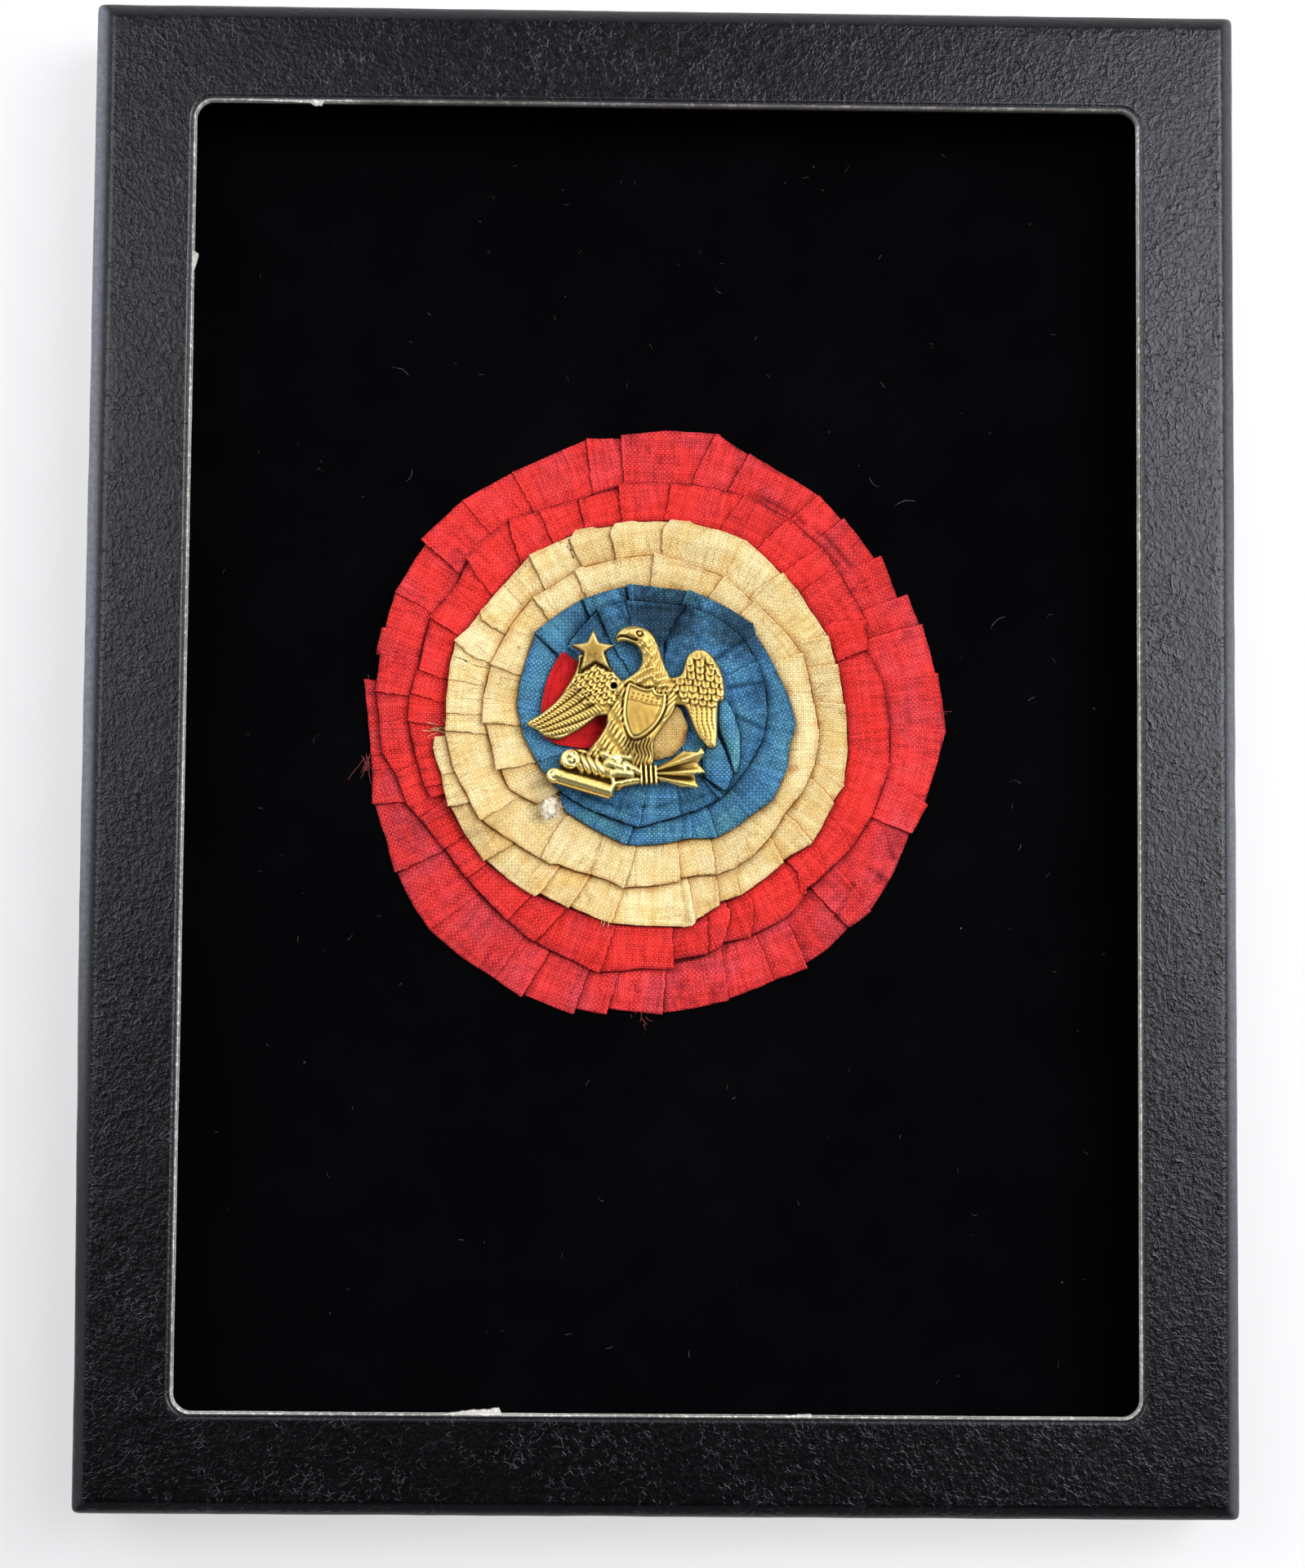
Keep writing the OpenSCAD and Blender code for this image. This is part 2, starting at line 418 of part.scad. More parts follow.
RIGHT_WING = [[0.4, 10.4], [1.2, 10.5], [2.1, 10.7], [2.7, 11.3], [3.0, 12.4], [3.4, 13.5], [4.1, 14.2],
              [5.0, 14.5], [6.0, 14.3], [7.0, 13.4], [7.8, 12.2], [8.4, 10.8], [8.7, 9.3], [8.7, 7.7],
              [8.3, 7.0], [7.8, 6.6], [7.7, 1.2], [7.3, 0.6], [6.5, 0.6], [5.8, 1.2], [5.0, 2.2],
              [4.3, 3.6], [3.8, 5.0], [3.3, 6.1], [2.6, 6.6], [1.6, 6.4], [0.6, 5.0]];
HEAD = [[-8.0, 14.2], [-6.6, 15.0], [-6.7, 15.9], [-6.3, 16.8], [-5.5, 17.4], [-4.4, 17.7], [-3.3, 17.6],
        [-2.2, 17.2], [-1.3, 16.3], [-0.6, 15.0], [-0.1, 13.6], [0.4, 12.0], [1.1, 10.6], [1.6, 8.0],
        [-5.2, 8.6], [-5.3, 10.1], [-4.2, 10.9], [-3.5, 11.6], [-3.1, 12.4], [-3.0, 13.3],
        [-3.3, 14.2], [-4.0, 15.0], [-5.0, 15.3], [-6.1, 15.2], [-7.0, 14.7]];
BODY = [[-6.0, 10.0], [1.6, 10.0], [2.0, 7.0], [1.5, 5.4], [0.6, 4.2], [-0.4, 2.8], [-1.1, 1.4],
        [-1.2, -1.6], [-3.2, -2.6], [-6.5, -2.6], [-10.3, -1.0], [-10.3, 0.1], [-9.3, 1.5], [-8.5, 2.6],
        [-7.9, 3.8], [-7.7, 5.2], [-6.8, 7.5]];
SHIELD = [[-4.8, 9.5], [-3.0, 8.9], [-1.3, 8.9], [-0.9, 8.2], [0.4, 8.0], [0.4, 6.4], [-0.1, 4.9],
          [-1.1, 3.4], [-2.6, 2.1], [-3.7, 1.7], [-4.5, 2.0], [-5.2, 3.6], [-5.5, 5.4], [-5.3, 7.6]];
SCROLL = [[-14.2, -2.2], [-14.3, -1.0], [-13.6, -0.1], [-12.6, 0.2], [-11.0, 0.3], [-6.0, -1.2],
          [-3.4, -2.0], [-3.0, -4.3], [-5.0, -4.9], [-6.9, -5.6], [-12.0, -4.5]];
BOLTS = [[-3.4, -2.0], [-0.6, -1.9], [1.0, -1.2], [3.0, 0.3], [4.9, 0.1], [5.4, 0.9], [6.0, -0.1],
         [5.1, -1.5], [6.2, -2.9], [4.5, -3.1], [5.2, -5.0], [2.6, -4.9], [0.6, -4.2], [-3.0, -4.5]];
WING_HOLE = [-6.8, 9.2];
wing_hole_r = 0.35;
roll_r = 1.15;

module shape(points, z, h) {
    translate([0, 0, z]) linear_extrude(h) scale(e) polygon(points);
}

// A straight raised rib from p to q
module rib(p, q, w, z, h) {
    d = q - p;
    translate([p[0] * e, p[1] * e, z]) rotate([0, 0, atan2(d[1], d[0])])
        translate([0, -w * e / 2, 0]) cube([norm(d) * e, w * e, h]);
}

// A row of round feather ends from p to q
module scale_row(p, q, count, r, z, h) {
    for (k = [0 : count - 1]) let (c = p + (q - p) * k / (count - 1))
        translate([c[0] * e, c[1] * e, z]) cylinder(r = r * e, h = h);
}

// A roll of the scroll that lies from p to q
module roll(p, q, r, z) {
    d = q - p;
    translate([p[0] * e, p[1] * e, z]) rotate([0, 90, atan2(d[1], d[0])])
        cylinder(r = r * e, h = norm(d) * e);
}

module star(r, waist, z, h) {
    shape([for (k = [0 : 9])
        STAR_AT + (k % 2 == 0 ? r : waist) * [cos(90 + 36 * k), sin(90 + 36 * k)]], z, h);
}

module wings(z) {
    top = plate_t + wing_h;
    shape(LEFT_WING, z, top);
    shape(RIGHT_WING, z, top);
    for (k = [0 : 3]) scale_row([-11.0 - 0.5 * k, 11.0 - 1.35 * k], [-7.7 + 0.2 * k, 10.7 - 1.35 * k],
                                4, 0.5, z + top - 0.1, feather_h + 0.1);
    for (k = [0 : 3]) scale_row([3.8, 12.9 - 1.4 * k], [7.2, 12.3 - 1.4 * k], 4, 0.5, z + top - 0.1,
                                feather_h + 0.1);
    for (k = [0 : 4]) rib([-17.2 + 0.9 * k, 3.9 - 0.15 * k], [-12.6 + 1.1 * k, 7.0 - 0.6 * k], 0.45,
                          z + top - 0.1, feather_h + 0.1);
    for (k = [0 : 3]) rib([4.9 + 0.8 * k, 6.4], [5.7 + 0.5 * k, 1.9 - 0.3 * k], 0.4, z + top - 0.1,
                          feather_h + 0.1);
}

module trophy(z) {
    shape(SCROLL, z, plate_t);
    shape(BOLTS, z, plate_t);
    roll([-15.0, -3.4], [-7.0, -5.7], roll_r, z + roll_r * e);
    roll([-12.7, -1.2], [-6.2, -2.9], roll_r, z + roll_r * e);
    for (k = [0 : 2]) rib([-2.9 + 0.9 * k, -2.1], [-2.9 + 0.9 * k, -4.5], 0.6, z, plate_t + body_h);
    for (tip = [[5.2, -0.2], [5.5, -2.7], [4.6, -4.7]])
        rib([-0.6, -3.1], tip, 0.5, z + plate_t - 0.1, feather_h + 0.3);
}

module eagle_device() {
    top = plate_t + body_h;
    color("goldenrod") at_cockade() translate([eagle_x, eagle_y, eagle_z]) {
        difference() {
            union() {
                wings(0);
                shape(HEAD, 0, top);
                shape(BODY, 0, top);
                trophy(0);
                star(star_r, star_waist, 0, top);
                star(star_r * 0.72, star_waist * 0.72, top - 0.1, feather_h + 0.1);
                shape(SHIELD, top - 0.1, shield_h + 0.1);
                for (k = [0 : 3]) rib([-2.6 + 0.7 * k, 14.6 - 0.4 * k], [-3.6 + 1.1 * k, 10.3], 0.3,
                                      top - 0.1, feather_h + 0.1);
                for (k = [0 : 3]) rib([-7.6 - 0.2 * k, 3.3 - 0.9 * k], [-6.2 + 0.1 * k, 3.6 - 1.1 * k], 0.3,
                                      top - 0.1, feather_h + 0.1);
            }
            translate([WING_HOLE[0] * e, WING_HOLE[1] * e, -cut])
                cylinder(r = wing_hole_r * e, h = top + 2 * cut);
            for (k = [0 : 4]) translate([(-3.6 + 0.75 * k) * e, 7.3 * e, top + shield_h - 0.15])
                cylinder(r = 0.14 * e, h = cut);
        }
        translate([-eagle_x, -eagle_y, strip_z - eagle_z])
            cylinder(d = post_d, h = eagle_z - strip_z + plate_t / 2);
    }
}

case_tray();
case_lid();
velvet_pad();
frill_red();
frill_cream();
frill_blue();
centre_red();
centre_button();
eagle_device();
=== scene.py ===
"""Dresses a pleated ribbon cockade with a brass eagle, and the windowed case that it lies in.

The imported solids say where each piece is. Every class below is one sub-assembly: its fields are its sizes,
in millimetres unless a name says otherwise, and its methods build its meshes in metres and dress them.
"""

import logging
import math
from dataclasses import dataclass, field
from enum import Enum
from functools import cache
from typing import Callable, Sequence

import bmesh
import bpy
import numpy as np
from mathutils import Matrix, Vector, noise

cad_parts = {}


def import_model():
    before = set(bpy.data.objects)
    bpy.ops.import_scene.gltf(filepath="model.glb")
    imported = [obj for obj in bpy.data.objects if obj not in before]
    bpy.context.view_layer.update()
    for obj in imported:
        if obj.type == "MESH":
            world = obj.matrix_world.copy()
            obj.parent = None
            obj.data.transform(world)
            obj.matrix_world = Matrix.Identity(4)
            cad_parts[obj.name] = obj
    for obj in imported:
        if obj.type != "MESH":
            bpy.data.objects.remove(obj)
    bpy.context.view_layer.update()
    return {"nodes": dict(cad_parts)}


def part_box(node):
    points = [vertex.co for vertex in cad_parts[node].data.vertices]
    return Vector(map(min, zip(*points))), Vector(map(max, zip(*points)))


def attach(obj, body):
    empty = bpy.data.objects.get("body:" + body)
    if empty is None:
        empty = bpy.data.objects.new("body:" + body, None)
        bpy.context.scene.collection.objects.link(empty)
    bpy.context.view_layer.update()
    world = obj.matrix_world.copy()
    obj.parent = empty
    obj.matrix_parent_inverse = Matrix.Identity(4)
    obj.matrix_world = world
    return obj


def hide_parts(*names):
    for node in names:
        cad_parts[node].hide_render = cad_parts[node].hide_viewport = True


LOG = logging.getLogger("cockade")
MM = 0.001
FULL_TURN = 360.0
FAR = 9.0
WELD = 1e-7

Colour = tuple[float, float, float, float]
Socket = bpy.types.NodeSocket


def srgb(red: float, green: float, blue: float) -> Colour:
    """Turns a screen colour into a linear colour.

    Args:
        red: its red, from 0 to 255.
        green: its green.
        blue: its blue.

    Returns:
        The linear colour, with full alpha.
    """
    def linear(value: float) -> float:
        """Returns one channel of 0 to 255 as linear light."""
        share = value / 255.0
        return share / 12.92 if share <= 0.04045 else ((share + 0.055) / 1.055) ** 2.4

    return (linear(red), linear(green), linear(blue), 1.0)


def smooth(value: np.ndarray | float) -> np.ndarray | float:
    """Returns an S-curve from 0 at 0 to 1 at 1, flat outside."""
    share = np.clip(value, 0.0, 1.0)
    return share * share * (3.0 - 2.0 * share)


def bell(value: np.ndarray | float, width: float) -> np.ndarray | float:
    """Returns a bell curve that is 1 at 0 and falls off over a width."""
    return np.exp(-(value / width) ** 2)


def polar(angle: float, radius: float) -> tuple[float, float]:
    """Returns the place at an angle in degrees and a radius."""
    return radius * math.cos(math.radians(angle)), radius * math.sin(math.radians(angle))


def distance_to_run(x: np.ndarray, y: np.ndarray, points: np.ndarray) -> tuple[np.ndarray, np.ndarray]:
    """Measures places against a run of straight parts.

    Args:
        x: the places along X.
        y: the places along Y.
        points: the run's points in order.

    Returns:
        Each place's distance from the run, and how far along it the nearest point is.
    """
    near, along, done = np.full_like(x, np.inf), np.zeros_like(x), 0.0
    for start, end in zip(points, points[1:]):
        run = end - start
        length = float(np.hypot(*run))
        away = (x - start[0]) * run[0] + (y - start[1]) * run[1]
        share = np.clip(away / max(1e-9, length ** 2), 0.0, 1.0)
        apart = np.hypot(x - start[0] - run[0] * share, y - start[1] - run[1] * share)
        along = np.where(apart < near, done + share * length, along)
        near = np.minimum(near, apart)
        done += length
    return near, along


# Shader building


class NodeSheet:
    """Short calls for adding and linking nodes in one tree."""

    def __init__(self, tree: bpy.types.NodeTree) -> None:
        """Keeps the node tree or shader node group that the nodes go into."""
        self.tree = tree

    def add(self, kind: str, **settings: object) -> bpy.types.Node:
        """Adds a node and sets its properties.

        Args:
            kind: the node's type name.
            settings: properties by name.

        Returns:
            The new node.
        """
        node = self.tree.nodes.new(kind)
        for name, value in settings.items():
            setattr(node, name, value)
        return node

    def put(self, socket: Socket, value: object) -> None:
        """Feeds a socket.

        Args:
            socket: the input.
            value: a socket to link to it, or else its own value.
        """
        if isinstance(value, bpy.types.NodeSocket):
            self.tree.links.new(value, socket)
        else:
            socket.default_value = value

    def fill(self, node: bpy.types.Node, **values: object) -> bpy.types.Node:
        """Puts values into a node's inputs.

        Args:
            node: the node.
            values: its inputs by name, with underscores for spaces.

        Returns:
            The node.
        """
        for name, value in values.items():
            self.put(node.inputs[name.replace("_", " ")], value)
        return node

    def math(self, operation: str, *values: object) -> Socket:
        """Adds a Math node.

        Args:
            operation: the node's operation.
            values: its values or sockets, in order.

        Returns:
            The result's socket.
        """
        node = self.add("ShaderNodeMath", operation=operation)
        for place, value in enumerate(values):
            self.put(node.inputs[place], value)
        return node.outputs[0]

    def vector(self, operation: str, *values: object) -> bpy.types.Node:
        """Adds a Vector Math node.

        Args:
            operation: the node's operation.
            values: its values or sockets, in order.

        Returns:
            The node.
        """
        node = self.add("ShaderNodeVectorMath", operation=operation)
        for place, value in enumerate(values):
            self.put(node.inputs[place], value)
        return node

    def split(self, vector: Socket) -> tuple[Socket, Socket, Socket]:
        """Returns a vector's three parts."""
        node = self.add("ShaderNodeSeparateXYZ")
        self.put(node.inputs[0], vector)
        return node.outputs[0], node.outputs[1], node.outputs[2]

    def times(self, first: object, second: object) -> Socket:
        """Returns the product of two values or sockets."""
        return self.math("MULTIPLY", first, second)

    def plus(self, first: object, second: object) -> Socket:
        """Returns the sum of two values or sockets."""
        return self.math("ADD", first, second)

    def mix(self, factor: object, first: object, second: object, blend: str = "MIX") -> Socket:
        """Adds a colour Mix node and returns its result's socket.

        Args:
            factor: how much of second is used.
            first: a colour or socket.
            second: a colour or socket.
            blend: the blend type.

        Returns:
            The result's socket.
        """
        node = self.add("ShaderNodeMix", data_type="RGBA", blend_type=blend, clamp_factor=True)
        self.put(node.inputs[0], factor)
        self.put(node.inputs[6], first)
        self.put(node.inputs[7], second)
        return node.outputs[2]

    def remap(self, value: object, low: float, high: float, to_low: float = 0.0, to_high: float = 1.0,
              soft: bool = True) -> Socket:
        """Adds a Map Range node.

        Args:
            value: the socket to remap.
            low: the input that gives to_low.
            high: the input that gives to_high.
            to_low: the output at low.
            to_high: the output at high.
            soft: True for an S-curve, False for a straight line.

        Returns:
            The result's socket.
        """
        node = self.add("ShaderNodeMapRange", interpolation_type="SMOOTHSTEP" if soft else "LINEAR")
        self.fill(node, Value=value, From_Min=low, From_Max=high, To_Min=to_low, To_Max=to_high)
        return node.outputs["Result"]

    def stretched(self, vector: Socket, scale: tuple[float, float, float]) -> Socket:
        """Returns coordinates with a scale for each axis."""
        mapping = self.fill(self.add("ShaderNodeMapping"), Vector=vector, Scale=scale)
        return mapping.outputs["Vector"]

    def noise(self, vector: Socket, scale: float, detail: float = 2.0, roughness: float = 0.5,
              stretch: tuple[float, float, float] | None = None) -> Socket:
        """Adds a Noise Texture and returns its factor.

        Args:
            vector: the coordinates.
            scale: the texture's scale.
            detail: its detail.
            roughness: its roughness.
            stretch: a scale for each axis before the texture, or None.

        Returns:
            The factor's socket.
        """
        if stretch is not None:
            vector = self.stretched(vector, stretch)
        node = self.add("ShaderNodeTexNoise", noise_dimensions="3D")
        self.fill(node, Vector=vector, Scale=scale, Detail=detail, Roughness=roughness)
        return node.outputs["Fac"]

    def attribute(self, name: str) -> Socket:
        """Returns the number that a mesh attribute holds."""
        return self.add("ShaderNodeAttribute", attribute_type="GEOMETRY", attribute_name=name).outputs["Fac"]

    def place(self) -> Socket:
        """Returns the object's own coordinates, in metres."""
        return self.add("ShaderNodeTexCoord").outputs["Object"]

    def group(self, tree: bpy.types.NodeTree, **values: object) -> bpy.types.Node:
        """Places a shader node group, with its inputs by name and underscores for spaces."""
        return self.fill(self.add("ShaderNodeGroup", node_tree=tree), **values)


class SharedEffects:
    """The shader node groups that several finishes use, each built once."""

    @staticmethod
    def _start(name: str, vectors: Sequence[str], numbers: Sequence[str],
               outputs: Sequence[str]) -> tuple[NodeSheet, bpy.types.Node, bpy.types.Node]:
        """Makes an empty group with its sockets.

        Args:
            name: the group's name.
            vectors: the names of the inputs that are vectors.
            numbers: the names of the inputs that are numbers.
            outputs: the names of the outputs, which are numbers.

        Returns:
            The sheet to build on, the group's input node and its output node.
        """
        tree = bpy.data.node_groups.new(name, "ShaderNodeTree")
        for way, kind, titles in (("INPUT", "Vector", vectors), ("INPUT", "Float", numbers),
                                  ("OUTPUT", "Float", outputs)):
            for title in titles:
                tree.interface.new_socket(name=title, in_out=way, socket_type="NodeSocket" + kind)
        sheet = NodeSheet(tree)
        return sheet, sheet.add("NodeGroupInput"), sheet.add("NodeGroupOutput")

    @staticmethod
    @cache
    def weave() -> bpy.types.NodeTree:
        """Returns the plain weave: threads that pass over and under each other.

        Returns:
            A group that takes Vector and Threads per unit, and puts out Height, Thread (a number for each
            thread from 0 to 1), Gap (1 between threads) and Over (1 where the warp lies on top).
        """
        sheet, start, end = SharedEffects._start("plain_weave", ["Vector"], ["Threads"],
                                                 ["Height", "Thread", "Gap", "Over"])
        scaled = sheet.vector("SCALE", start.outputs["Vector"])
        sheet.fill(scaled, Scale=start.outputs["Threads"])
        parts = sheet.split(scaled.outputs[0])
        cells, arches, tints = [], [], []
        for axis in (0, 1):
            cell = sheet.math("FLOOR", parts[axis])
            arch = sheet.math("SINE", sheet.times(sheet.math("FRACT", parts[axis]), math.pi))
            tint = sheet.add("ShaderNodeTexWhiteNoise", noise_dimensions="1D")
            sheet.put(tint.inputs["W"], sheet.plus(cell, 37.5 * axis))
            cells.append(cell)
            arches.append(arch)
            tints.append(tint.outputs["Value"])
        over = sheet.math("FLOORED_MODULO", sheet.plus(cells[0], cells[1]), 2.0)
        tops = []
        for across, along in ((arches[0], arches[1]), (arches[1], arches[0])):
            lift = sheet.math("MULTIPLY_ADD", along, 0.45, 0.55)
            tops.append(sheet.times(sheet.math("POWER", across, 0.6), lift))
        height = sheet.add("ShaderNodeMix", data_type="FLOAT")
        thread = sheet.add("ShaderNodeMix", data_type="FLOAT")
        for node, pair in ((height, tops), (thread, tints)):
            sheet.put(node.inputs[0], over)
            sheet.put(node.inputs[2], pair[0])
            sheet.put(node.inputs[3], pair[1])
        gap = sheet.remap(height.outputs[0], 0.1, 0.6, 1.0, 0.0)
        sheet.fill(end, Height=height.outputs[0], Thread=thread.outputs[0], Gap=gap, Over=over)
        return sheet.tree

    @staticmethod
    @cache
    def blotches() -> bpy.types.NodeTree:
        """Returns soft patches, as of soil or fading.

        Returns:
            A group that takes Vector, Scale, Low and High, and puts out Mask.
        """
        sheet, start, end = SharedEffects._start("soft_blotches", ["Vector"], ["Scale", "Low", "High"],
                                                 ["Mask"])
        given = start.outputs
        texture = sheet.noise(given["Vector"], given["Scale"], 4.0, 0.6)
        sheet.fill(end, Mask=sheet.remap(texture, given["Low"], given["High"]))
        return sheet.tree

    @staticmethod
    @cache
    def spot() -> bpy.types.NodeTree:
        """Returns one round stain with a ragged edge.

        Returns:
            A group that takes Vector, Centre, Radius and Strength, and puts out Mask.
        """
        sheet, start, end = SharedEffects._start("ragged_spot", ["Vector", "Centre"], ["Radius", "Strength"],
                                                 ["Mask"])
        flat = sheet.vector("MULTIPLY", start.outputs["Vector"], (1.0, 1.0, 0.0))
        apart = sheet.vector("DISTANCE", flat.outputs[0], start.outputs["Centre"])
        ragged = sheet.math("MULTIPLY_ADD", sheet.noise(start.outputs["Vector"], 900.0, 3.0), 0.9, -0.45)
        share = sheet.math("DIVIDE", apart.outputs["Value"], start.outputs["Radius"])
        edge = sheet.remap(sheet.plus(share, ragged), 0.25, 1.0, 1.0, 0.0)
        sheet.fill(end, Mask=sheet.times(edge, start.outputs["Strength"]))
        return sheet.tree


# Finishes


def blotches(sheet: NodeSheet, place: Socket, scale: float, low: float, high: float) -> Socket:
    """Returns the mask of soft patches whose noise lies between low and high, from 0 to 1."""
    patches = sheet.group(SharedEffects.blotches(), Vector=place, Scale=scale, Low=low, High=high)
    return patches.outputs["Mask"]


@dataclass(frozen=True)
class Stain:
    """A stain at a place on the cockade, measured from the middle of the case in millimetres."""

    x: float
    y: float
    radius: float
    strength: float


def new_material(name: str) -> tuple[bpy.types.Material, NodeSheet, bpy.types.Node]:
    """Makes a material with one Principled shader.

    Args:
        name: the material's name.

    Returns:
        The material, the sheet of its tree and the Principled node.
    """
    material = bpy.data.materials.new(name)
    material.use_nodes = True
    shader = next(n for n in material.node_tree.nodes if n.type == "BSDF_PRINCIPLED")
    return material, NodeSheet(material.node_tree), shader


def add_bump(sheet: NodeSheet, shader: bpy.types.Node, height: Socket, distance: float,
             strength: float = 1.0) -> None:
    """Feeds a shader's normal from a height of 0 to 1, where 1 is a distance in metres."""
    bump = sheet.fill(sheet.add("ShaderNodeBump"), Distance=distance, Strength=strength, Height=height)
    sheet.fill(shader, Normal=bump.outputs["Normal"])


@dataclass(frozen=True)
class CottonFinish:
    """Dyed plain-woven cotton, soiled at its rims and folds, partly stained and partly painted with shade
    beside the cloth that lies over it, with painted shade in its crooks, creases and wrinkle lines and a
    painted highlight on its fold edges.
    """

    name: str
    colour: Colour
    faded: Colour
    soil: Colour
    # halo: the colour beside the rim of the cloth that lies over it, partly stain and partly painted shade
    halo: Colour
    halo_width: float = 1.2
    halo_share: float = 0.4
    edge_soil: float = 0.5
    crest_soil: float = 0.2
    # crook_shade: how dark the painted shade is in each fold's crook and, scaled, along wrinkle and crease
    # lines, round flaps and beside the covering cloth's rim
    crook_shade: float = 0.6
    outer_fade: float = 0.5
    outer_soil: float = 0.2
    blotch: float = 0.35
    threads: float = 3.0
    contrast: float = 0.2
    # warmth: powers for each channel that make darker shading, painted shade included, warmer
    warmth: tuple[float, float, float] = (1.0, 1.2, 1.2)
    stains: tuple[Stain, ...] = ()

    def _soil_stain_and_shade(self, sheet: NodeSheet, place: Socket) -> Socket:
        """Builds the cloth's colour before its weave: fading, soil, stains, and the halo beside the covering
        cloth, which is partly stain and partly painted shade.

        Args:
            sheet: the material's sheet.
            place: the object's coordinates.

        Returns:
            The colour's socket.
        """
        outer = sheet.attribute("outer")
        fading = blotches(sheet, place, 190.0, 0.40, 0.66)
        fade = sheet.math("MULTIPLY_ADD", sheet.times(outer, self.outer_fade),
                          sheet.remap(fading, 0.0, 1.0, 0.5, 1.0), sheet.times(fading, self.blotch))
        colour = sheet.mix(fade, self.colour, self.faded)
        darkening = blotches(sheet, place, 520.0, 0.36, 0.70)
        patchy = blotches(sheet, place, 110.0, 0.40, 0.62)
        # Halo beside the rim of the cloth that lies over it: partly stain, partly painted shade, broken up
        # into patches.
        cover = sheet.attribute("cover")
        halo = sheet.remap(cover, 0.0, self.halo_width, 1.0, 0.0)
        halo = sheet.times(halo, sheet.times(sheet.remap(darkening, 0.0, 1.0, 0.4, 1.0),
                                                       sheet.remap(patchy, 0.0, 1.0, 0.35, 1.0)))
        colour = sheet.mix(sheet.times(halo, self.halo_share), colour, self.halo)
        rim = sheet.remap(sheet.attribute("rim"), 0.02, 0.9, 1.0, 0.0)
        rim = sheet.times(sheet.times(rim, self.edge_soil), sheet.remap(darkening, 0, 1, 0.3, 1.0))
        crest = sheet.remap(sheet.attribute("crest"), 0.0, 0.5, self.crest_soil, 0.0)
        spread = sheet.times(sheet.times(outer, self.outer_soil),
                            sheet.times(darkening, patchy))
        dirty = sheet.math("MAXIMUM", sheet.math("MAXIMUM", rim, crest), spread)
        for stain in self.stains:
            spot = sheet.group(SharedEffects.spot(), Vector=place, Centre=(stain.x * MM, stain.y * MM, 0.0),
                               Radius=stain.radius * MM, Strength=stain.strength)
            dirty = sheet.math("MAXIMUM", dirty, spot.outputs["Mask"])
        return sheet.mix(dirty, colour, self.soil)

    def material(self) -> bpy.types.Material:
        """Builds the cloth's material.

        Returns:
            The material.
        """
        material, sheet, shader = new_material(self.name)
        place = sheet.place()
        cloth = sheet.add("ShaderNodeUVMap", uv_map="cloth").outputs["UV"]
        weave = sheet.group(SharedEffects.weave(), Vector=cloth, Threads=self.threads)
        slubs = sheet.noise(cloth, 1.0, 3.0, 0.65, (0.5, 3.2, 1.0))
        cross = sheet.noise(cloth, 1.0, 3.0, 0.65, (3.2, 0.5, 1.0))
        pucker = sheet.noise(cloth, 1.0, 3.0, 0.6, (1.1, 0.2, 1.0))
        # Thin random wrinkle lines, darkened as painted shade and pressed into the bump.
        bent = sheet.noise(cloth, 1.0, 1.5, 0.5, (0.6, 0.13, 1.0))
        fold = sheet.remap(sheet.math("ABSOLUTE", sheet.math("SUBTRACT", bent, 0.5)), 0.0, 0.016, 1.0, 0.0)
        here = blotches(sheet, place, 260.0, 0.46, 0.62)
        fold = sheet.times(fold, here)
        colour = self._soil_stain_and_shade(sheet, place)
        k, deep = self.contrast, self.crook_shade
        shade = sheet.remap(weave.outputs["Gap"], 0.0, 1.0, 1.0 + k * 0.35, max(0.15, 1.0 - k * 1.9), False)
        # Besides weave, slubs, puckers and random panel tone, this paints shade along the wrinkle lines, in
        # each fold's crook, along crease lines and round flaps, and beside the covering cloth's rim, and a
        # highlight on the fold edges.
        for value, low, high, to_low, to_high in (
                (weave.outputs["Over"], 0.0, 1.0, 1.0 - k * 0.4, 1.0 + k * 0.4),
                (weave.outputs["Thread"], 0.0, 1.0, 1.0 - k * 0.45, 1.0 + k * 0.45),
                (sheet.plus(slubs, cross), 0.7, 1.3, 1.0 - k * 0.6, 1.0 + k * 0.6),
                (pucker, 0.3, 0.7, 1.0 - k * 0.5, 1.0 + k * 0.5),
                (fold, 0.0, 1.0, 1.0, 1.0 - deep * 0.35),
                (sheet.attribute("tone"), -1.0, 1.0, 0.92 - k * 0.3, 1.06 + k * 0.2),
                (sheet.attribute("crook"), 0.08, 0.5, 1.0 - min(0.9, deep * 1.3), 1.0),
                (sheet.attribute("crook"), 0.0, 1.6, 1.0 - deep * 0.3, 1.0),
                (sheet.attribute("crest"), 0.0, 0.3, 1.28, 1.0),
                (sheet.attribute("line"), 0.0, 1.0, 1.0, 1.0 - deep),
                (sheet.attribute("cover"), 0.0, 0.24, 1.0 - deep, 1.0),
                (sheet.attribute("cover"), 0.0, 1.1, 1.0 - deep * 0.25, 1.0)):
            shade = sheet.times(shade, sheet.remap(value, low, high, to_low, to_high, False))
